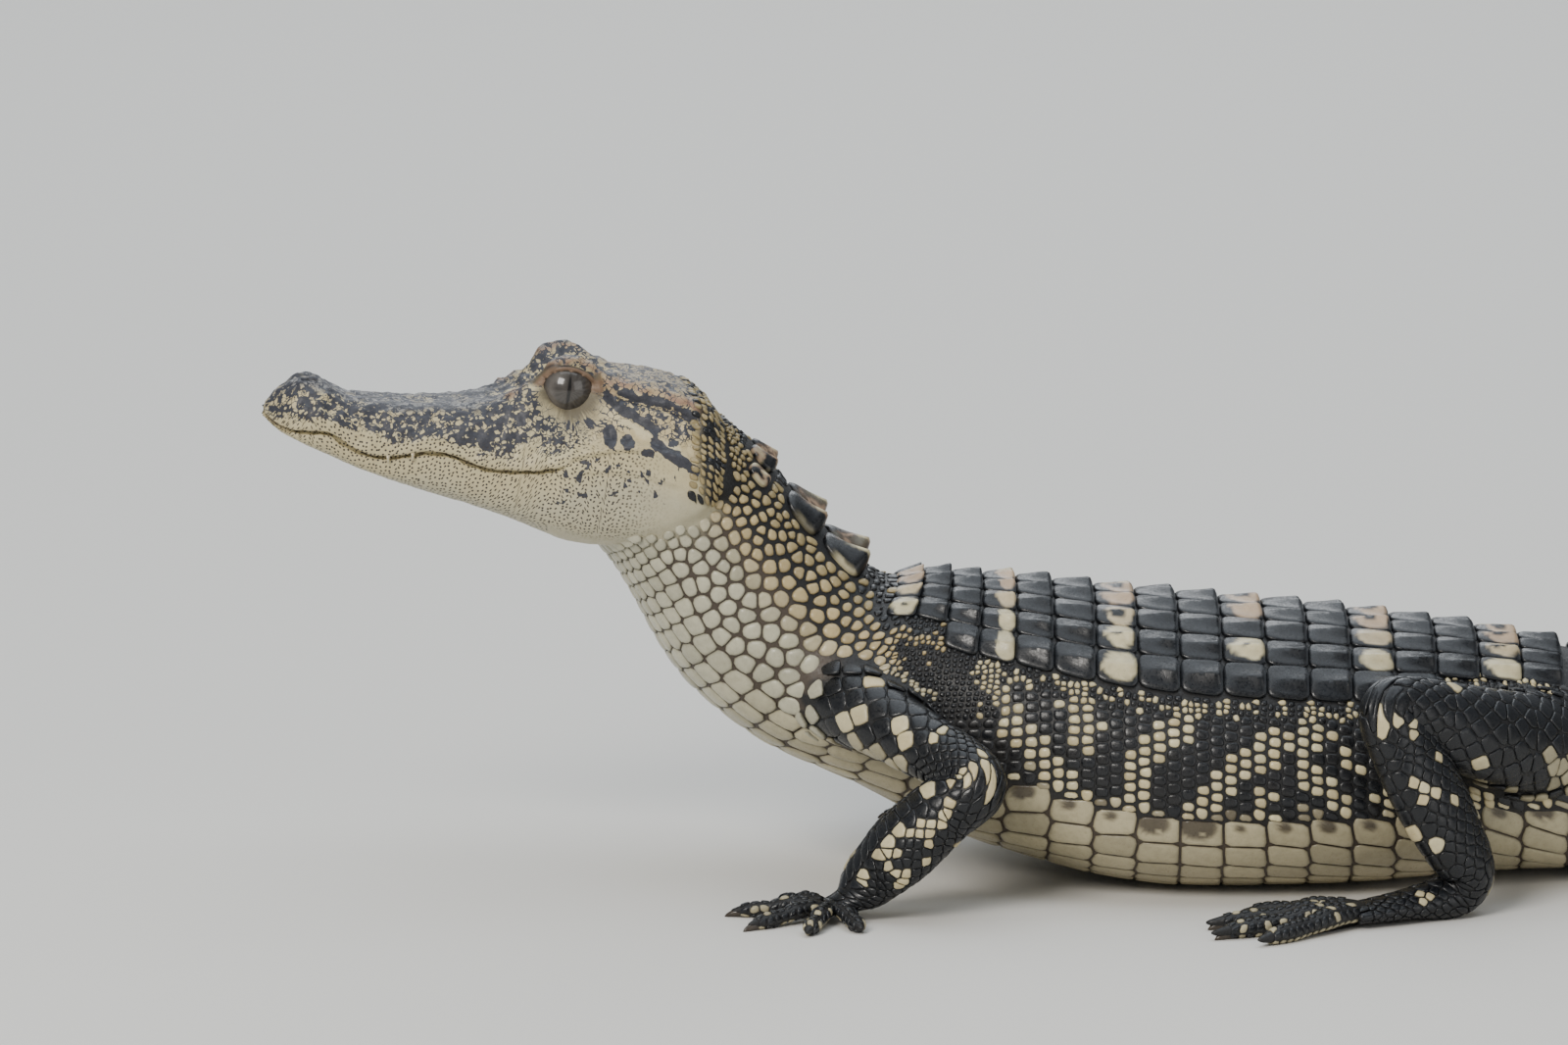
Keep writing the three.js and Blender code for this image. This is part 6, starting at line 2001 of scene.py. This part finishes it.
# %% [markdown]
# ## Scales of the limbs
#
# A limb's surface is unrolled along its length, and rows of scales run round it. On the upper arm and the
# thigh they are large rhomboids, smaller below, and finest over wrist and ankle. The digits wear broad
# cross plates on top and small pads below. Nearly all are black, with a few groups of cream.

# %% Limb scales
class Unrolled:
    """A tube's surface in millimetres along it and round it."""

    def __init__(self, surface, low, high):
        self.surface = surface
        self.places = np.linspace(low, high, 160)
        self.degrees = np.linspace(-180, 180, 97)
        grid = surface(self.places[:, None], self.degrees[None, :], 0.0)
        middle = grid.mean(axis=1)
        self.length = np.concatenate([[0], np.cumsum(np.linalg.norm(np.diff(middle, axis=0), axis=1))])
        steps = np.linalg.norm(np.diff(grid, axis=1), axis=-1)
        self.arcs = np.concatenate([np.zeros((160, 1)), np.cumsum(steps, axis=1)], axis=1)
        self.total = float(self.length[-1])

    def girth(self, u):
        return float(np.interp(u, self.length, self.arcs[:, -1]))

    def __call__(self, u, v, off):
        u, v = np.broadcast_arrays(np.asarray(u, float), v)
        rows = np.clip(np.interp(u, self.length, np.arange(160)), 0, 158.999)
        low_row = rows.astype(int)
        share = (rows - low_row)[..., None]
        table = self.arcs[low_row] * (1 - share) + self.arcs[low_row + 1] * share
        around = table[..., -1]
        arc = np.mod(v + around / 2, around)
        index = np.clip((table <= arc[..., None]).sum(-1) - 1, 0, 95)
        a = np.take_along_axis(table, index[..., None], -1)[..., 0]
        b = np.take_along_axis(table, index[..., None] + 1, -1)[..., 0]
        degrees = -180 + (index + (arc - a) / np.maximum(b - a, 1e-9)) * 3.75
        return self.surface(np.interp(u, self.length, self.places), degrees, off)


def tube_roots(tube, along, across, plated_from, seed, start=1.0, loose=0.1):
    """Rows of roots round a tube, each row turned by half a scale, and ghosts where the rows close.

    From this share of the limb on, every other row begins with two broad plates on the limb's front."""
    rng = np.random.default_rng(seed)
    roots, ghosts, u, i = [], [], start, 0
    while u < tube.total - 0.5:
        around = tube.girth(u)
        low, room, front = -around / 2, around, []
        if u > plated_from * tube.total:
            turn = np.linspace(-around / 2, around / 2, 73)
            middle = float(turn[np.argmin(tube(u, turn, 0.0)[:, 0])])
            low, room, front = middle + 6.9, around - 13.8, [middle - 3.0, middle + 3.0]
        count = max(int(round(room / across(u / tube.total))), 4)
        rest = [low + (j + (0.75 if i % 2 else 0.25)) * room / count for j in range(count)]
        for v in rest + (front if i % 2 else []):
            v = (v + around / 2) % around - around / 2
            spot = np.array([u, v]) + rng.uniform(-loose, loose, 2) * (2.5, 4)
            roots.append(spot)
            for turn in (-1, 1):
                other = v + turn * around
                if abs(other) < around / 2 + 9:
                    ghosts.append((spot[0], other))
        u += float(along(u / tube.total))
        i += 1
    return np.array(roots), np.array(ghosts)


LIMB_SIZES = {
    # at shares of the limb's length: how far apart the rows are, and the scales of a row; where plates begin
    "arm": (line([(0, 2.4), (0.2, 3.0), (0.38, 3.0), (0.46, 1.5), (0.62, 1.5), (1, 1.4)]),
            line([(0, 5.0), (0.2, 6.0), (0.38, 5.6), (0.46, 2.6), (0.54, 2.6), (0.62, 3.0), (1, 2.4)]), 0.6),
    "leg": (line([(0, 2.2), (0.3, 2.6), (0.42, 2.0), (0.5, 1.7), (0.6, 1.8), (1, 1.5)]),
            line([(0, 4.4), (0.3, 5.0), (0.42, 3.8), (0.5, 3.0), (0.6, 3.4), (1, 2.6)]), 0.48),
}
# Groups of cream scales: a point in the body's millimetres, and how far the group reaches.
PALE_GROUPS = {
    "arm_left": [(-3, -28, 47, 1.5), (-1, -32, 44, 1.5), (0.4, -32, 45, 1.4), (1.5, -37, 40, 2.0),
                 (-2, -35, 38, 1.8), (8.3, -42, 37.6, 2.2), (11.8, -44, 38, 2.2), (16, -46, 38.3, 2.0),
                 (11, -41, 40.7, 1.6), (15.3, -42, 40.4, 1.8), (11, -45, 36.5, 1.5), (23.5, -54, 32.7, 2.1),
                 (25.2, -54, 33.2, 2.1), (26.4, -52, 34.3, 2.0), (20.2, -54, 30.2, 1.3),
                 (22, -55.6, 29.7, 1.3), (27.2, -55.5, 30, 1.2), (27.7, -56, 27.2, 1.2),
                 (19.3, -56.6, 23.6, 1.6), (16.9, -56.4, 21.3, 1.5), (13.7, -56, 20.5, 1.6),
                 (10.7, -55, 18.8, 1.7), (7.9, -54.4, 16.1, 1.7), (6.1, -54, 13.4, 1.6),
                 (16.1, -56.4, 19.1, 1.2), (15.8, -56.3, 17, 1.2), (8.3, -55, 11.5, 1.7),
                 (8.8, -54.7, 9.7, 1.6), (14.9, -55.7, 13.8, 1.3), (1.5, -50.7, 9.6, 1.3),
                 (-1.1, -48.4, 9.2, 1.2), (11.4, -55, 10.4, 1.4)],
    "leg_left": [(105.8, -54, 42.2, 1.5), (108.5, -54, 42.1, 1.5), (112.4, -52.4, 40.4, 1.4),
                 (113.6, -55, 29.7, 1.8), (115.6, -54.5, 27.4, 1.8), (113.3, -54, 17.8, 1.7),
                 (116.4, -54.4, 18, 1.8), (111.1, -53.6, 20.4, 1.3), (118.1, -54, 17.6, 1.5),
                 (118.2, -50, 33.4, 1.1), (120, -50, 29.9, 1.1), (121.4, -50.5, 25.7, 1.1),
                 (123.3, -50.6, 20, 1.2), (125.2, -44.7, 40, 1.3), (133.7, -39.7, 34.6, 1.3),
                 (137, -36, 36.2, 1.3), (138, -36, 32.5, 1.3), (126.2, -43.8, 31.2, 1.2),
                 (131, -39.8, 28, 1.2), (120, -41, 47.1, 1.5), (134.3, -30.5, 43, 1.5), (115, -54, 7, 2.6),
                 (121, -52, 6, 2.0)],
    "arm_right": [(30, 55, 24, 2.4), (38, 55, 11, 2.6), (12, 44, 31, 2.4), (33, 53, 5, 2.4),
                  (18, 46, 37, 2.0)],
    "leg_right": [(133, 56, 30, 2.4), (139, 56, 14, 2.6), (140, 53, 6, 2.4), (124, 56, 4, 2.0),
                  (128, 50, 38, 2.0)],
}


def limb_tints(name, roots, tube, seed):
    rng = np.random.default_rng(seed)
    n = len(roots)
    spots = tube(roots[:, 0], roots[:, 1], 0.0)
    tints = BLACK * rng.uniform(0.75, 1.45, (n, 1))
    share = np.zeros(n)
    for *centre, reach in PALE_GROUPS[name]:
        share = np.maximum(share, 1 - np.linalg.norm(spots - centre, axis=1) / reach / 1.35)
    pale = (share > rng.uniform(0.1, 0.45, n)) | (rng.random(n) < 0.012)
    cream = lay(np.broadcast_to(CREAM, (n, 3)), DEEP_CREAM,
                rng.random(n) * 0.6) * rng.uniform(0.85, 1.05, (n, 1))
    # The inner side of each limb, which faces the body, is dull cream.
    side = LIMBS[name][1]
    inner = (spots[:, 1] * -side < np.interp(roots[:, 0] / tube.total, (0, 0.4, 1),
                                             (26, 44, 44))) & (spots[:, 2] < 34)
    inner &= rng.random(n) < 0.65
    tints = np.where(inner[:, None], BELLY_CREAM * rng.uniform(0.6, 0.9, (n, 1)), tints)
    # Where the arm leaves the throat, its first scales are as pale as the throat.
    front = spots[:, 0] < (-6.8 if side > 0 else -4.8)
    tints = np.where(front[:, None], THROAT * rng.uniform(0.85, 1.0, (n, 1)), tints)
    return np.where(pale[:, None], cream, tints)


for number, (name, surface) in enumerate(SURFACES.items()):
    kind = name.split("_")[0]
    tube = Unrolled(surface, 0.3, surface.last)
    roots, ghosts = tube_roots(tube, *LIMB_SIZES[kind], seed=60 + number)
    coat = Coat(f"{name}_scales")
    low_v = number * 90.0 + 30

    def place_on_map(u, v, low=low_v):
        return np.stack([np.asarray(u, float) + 60, np.asarray(v, float) + low], axis=-1)

    tints = limb_tints(name, roots, tube, 80 + number)
    lay_scales(coat, roots, tube, directions=16, roundness=10.0, profile="flat", tints=tints, ghosts=ghosts,
               groove=np.where(tints.sum(axis=1) > 0.25, 0.3, 0.16), map_at=place_on_map, tilt=0.2, rim=0.55,
               height=np.where(tints.sum(axis=1) > 0.25, 0.42, 0.34), edge_highlight=linear("#2c2e32"),
               pull_in=1.0, limit=4.4)
    # Digits: cross plates along the top, and smaller scales beside and below.
    for i, (root, forward, length, radius, _) in enumerate(digits_of(name)):
        toe = Unrolled(digit_surface(root, forward, length, radius), 0.04, 0.93)
        plate_count = max(int(toe.total / 1.75), 5)
        roots, kinds = [], []
        for j in range(plate_count):
            u = (j + 0.5) / plate_count * toe.total
            around = toe.girth(u)
            roots += [(u, around * 0.25), (u + 0.1, around * 0.03), (u + 0.1, around * 0.47),
                      (u, -around * 0.17), (u, -around * 0.33)]
            kinds += [0, 1, 1, 2, 2]
        roots, kinds = np.array(roots), np.array(kinds)
        over = np.array([(u, v + turn * toe.girth(u)) for u, v in roots for turn in (-1, 1)])
        rng = np.random.default_rng(100 + number * 10 + i)
        tints = BLACK * rng.uniform(0.8, 1.6, (len(roots), 1))
        pale = rng.random(len(roots)) < np.select([kinds == 0, kinds == 1], [0.16, 0.2], 0.55)
        tints = np.where(pale[:, None], BELLY_CREAM * rng.uniform(0.7, 1.0, (len(roots), 1)), tints)
        low_digit = low_v + 40

        def toe_map(u, v, low=low_digit, shift=i):
            return np.stack([np.asarray(u, float) + 170 + shift * 40, np.asarray(v, float) + low], axis=-1)

        lay_scales(coat, roots, toe, directions=10, groove=0.22, roundness=7.0, height=0.32,
                   profile="cushion",
                   tints=tints, ghosts=over, map_at=toe_map, tilt=0.3, edge_highlight=linear("#4c4d50"),
                   pull_in=1.2,
                   deepest=-0.2)
    coat.finish(scale_horn)

# %% [markdown]
# ## Eyes
#
# The eye is a ball with a silvery iris, flecked and dark at its rim, and a narrow upright slit for a pupil
# in daylight. A wet clear layer lies over it. The ball is a sphere turned so that its pole looks out
# sideways, which makes its rings run round the iris.

# %% Eyes
EYE_SPEC = {
    "iris": linear("#4a4642"), "fleck": linear("#322e2b"), "light": linear("#67625d"),
    "ring": linear("#1a1614"),
    "rest": linear("#3a322b"),
}
eye_finish, tree, shader = new_material("wet eye", {
    "IOR": 1.4, "Roughness": 0.25, "Coat Weight": 1.0, "Coat Roughness": 0.03, "Coat IOR": 1.38})
grain = add(tree, "TexNoise", {"Detail": 2.0, "Roughness": 0.55}, size_mm=0.35)
grain = add(tree, "Math", (grain, 0.35), operation="MULTIPLY")
tint = add(tree, "Attribute", attribute_name="tint")
wire(shader, {"Base Color": add(tree, "Mix", {0: grain, 6: tint, 7: (0.03, 0.025, 0.02)}, **COLOURS)})
for hand, word in ((1, "left"), (-1, "right")):
    bpy.ops.object.select_all(action="DESELECT")
    bpy.ops.mesh.primitive_uv_sphere_add(segments=128, ring_count=96, radius=EYE_RADIUS * MM)
    eye = bpy.context.object
    eye.name = f"eyeball_{word}"
    gaze = HEAD_TURN @ np.array([-0.02, -hand, 0.03])
    eye.rotation_euler = Vector(gaze).to_track_quat("Z", "Y").to_euler()
    eye.location = Vector(to_frame(in_head(EYE_BACK, EYE_SIDE * hand, EYE_UP)))
    bpy.ops.object.transform_apply(location=True, rotation=True, scale=True)
    # The half that no one sees is drawn in, so that it stays under the skin between the eyes.
    spots = (points_of(eye) / MM - SHIFT - in_head(EYE_BACK, EYE_SIDE * hand, EYE_UP)) @ HEAD_TURN
    out = -spots[:, 1] * hand
    hidden = np.clip(1.5 - out, 0, None)
    drawn = spots * (1 - 0.045 * hidden)[:, None]
    side = EYE_SIDE * hand + hand * np.where(hidden > 0, 1.5 - 0.3 * hidden, out)
    place = to_frame(in_head(EYE_BACK + drawn[:, 0], side, EYE_UP + drawn[:, 2]))
    eye.data.vertices.foreach_set("co", place.astype(np.float32).ravel())
    b, u = spots[:, 0] + 0.3, spots[:, 2] - 0.2
    radius, angle = np.hypot(b, u), np.arctan2(u, b)
    streak = np.array([noise.noise(Vector((math.cos(t) * 7, math.sin(t) * 7, r * 0.7 + hand)))
                       for t, r in zip(angle, radius)])
    tint = lay(np.broadcast_to(EYE_SPEC["iris"], (len(b), 3)), EYE_SPEC["fleck"],
               np.clip(0.35 + streak * 0.8, 0, 1))
    tint = lay(tint, EYE_SPEC["light"], np.exp(-((radius - 3.7) / 0.7) ** 2) * np.clip(0.3 - b / 5, 0, 0.8))
    tint = lay(tint, EYE_SPEC["ring"], blend_to(4.5, 5.1, radius))
    tint = lay(tint, EYE_SPEC["rest"], np.where(out < 0, 1.0, 0.0))
    slit = np.hypot(b / 0.34, u / 3.0)
    tint = lay(tint, EYE_SPEC["fleck"], (1 - blend_to(1.0, 1.7, slit)) * 0.8)
    tint = lay(tint, np.zeros(3), 1 - blend_to(0.85, 1.05, slit))
    paint(eye, "tint", tint)
    eye.data.materials.append(eye_finish)
    smooth(eye)
    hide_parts(f"eye_{word}")
    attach(eye, "root")
print("eyes of", 2 * EYE_RADIUS, "mm")

# %% [markdown]
# ## Claws and teeth
#
# A claw is a curved cone of dark horn, drawn out ring by ring from a circle with smaller and lower steps.
# One is modelled and copied to the three inner digits of each foot. Two teeth of the upper jaw show below
# the lip on each side, as small ivory pegs.

# %% Claws
claw_horn, tree, shader = new_material("dark claw horn", {"IOR": 1.55, "Roughness": 0.3})
streaks = add(tree, "TexNoise", {"Detail": 3.0}, size_mm=0.8)
wire(shader, {
    "Base Color": add(tree, "Mix", {0: streaks, 6: linear("#17130f"), 7: linear("#4c4135")}, **COLOURS),
    "Normal": add(tree, "Bump", {"Height": streaks, "Strength": 0.3, "Distance": 0.1 * MM}),
})

bpy.ops.object.select_all(action="DESELECT")
bpy.ops.mesh.primitive_circle_add(vertices=16, radius=0.92 * MM, fill_type="NGON",
                                  rotation=(0, math.pi / 2, 0))
claw = bpy.context.object
claw.name = "claw"
bpy.ops.object.transform_apply(location=True, rotation=True, scale=True)
bpy.ops.object.mode_set(mode="EDIT")
bpy.ops.mesh.select_all(action="SELECT")
CLAW_STEPS = [(0.9, 0.02, 1.0), (0.8, 0.0, 0.93), (0.8, -0.08, 0.86), (0.8, -0.16, 0.78), (0.7, -0.24, 0.64),
              (0.4, -0.2, 0.35)]
for along, rise, size in CLAW_STEPS:
    bpy.ops.mesh.extrude_region_move(TRANSFORM_OT_translate={"value": (along * MM, 0, rise * MM)})
    bpy.ops.transform.resize(value=(size, size, size))
bpy.ops.mesh.select_all(action="SELECT")
bpy.ops.mesh.normals_make_consistent(inside=False)
bpy.ops.object.mode_set(mode="OBJECT")
claw.data.materials.append(claw_horn)


def join_all(things, name):
    """Joins objects into one whose object sits at the origin."""
    bpy.ops.object.select_all(action="DESELECT")
    for thing in things:
        thing.select_set(True)
    bpy.context.view_layer.objects.active = things[0]
    bpy.ops.object.transform_apply(location=True, rotation=True, scale=True)
    bpy.ops.object.join()
    bpy.context.scene.cursor.location = (0, 0, 0)
    bpy.ops.object.origin_set(type="ORIGIN_CURSOR")
    joined = bpy.context.object
    joined.name = name
    smooth(joined)
    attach(joined, "root")
    return joined


claws = []
for name in LIMBS:
    for root, forward, length, radius, clawed in digits_of(name):
        if not clawed:
            continue
        copy = claw.copy()
        copy.data = claw.data.copy()
        bpy.context.scene.collection.objects.link(copy)
        size = radius / 1.9
        copy.scale = (LIMBS[name][2]["claw"] / 4.4, size, size)
        copy.rotation_euler = (0, math.radians(3), math.atan2(forward[1], forward[0]))
        copy.location = Vector(to_frame(root + forward * length * 0.86)) + Vector((0, 0, 0.98 * size * MM))
        claws.append(copy)
bpy.data.objects.remove(claw)
join_all(claws, "claws")
print(len(claws), "claws")

# %% Teeth
enamel, tree, shader = new_material("ivory tooth enamel", {
    "IOR": 1.6, "Roughness": 0.25, "Subsurface Weight": 0.15, "Subsurface Scale": 0.4 * MM})
stain = add(tree, "TexNoise", GRAIN, size_mm=0.6)
wire(shader, {"Base Color": add(tree, "Mix", {0: stain, 6: linear("#c9c1a6"), 7: linear("#a4946c")},
                                **COLOURS)})
teeth = []
for back in (25.4, 30.2):
    for hand in (1, -1):
        bpy.ops.object.select_all(action="DESELECT")
        bpy.ops.mesh.primitive_cone_add(vertices=16, radius1=0.5 * MM, radius2=0.08 * MM, depth=1.8 * MM,
                                        rotation=(math.pi, 0, 0))
        tooth = bpy.context.object
        up = float(lip_height(back)) - 0.5
        tooth.location = Vector(to_frame(in_head(back, hand * (float(jaw_half_width(back)) - 0.62), up)))
        teeth.append(tooth)
all_teeth = join_all(teeth, "teeth")
all_teeth.data.materials.append(enamel)
print(len(teeth), "teeth")

# %% [markdown]
# ## Sizes, and the finish

# %% Print the sizes
low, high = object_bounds()
print("the model reaches from", [round(v, 4) for v in low], "to", [round(v, 4) for v in high])
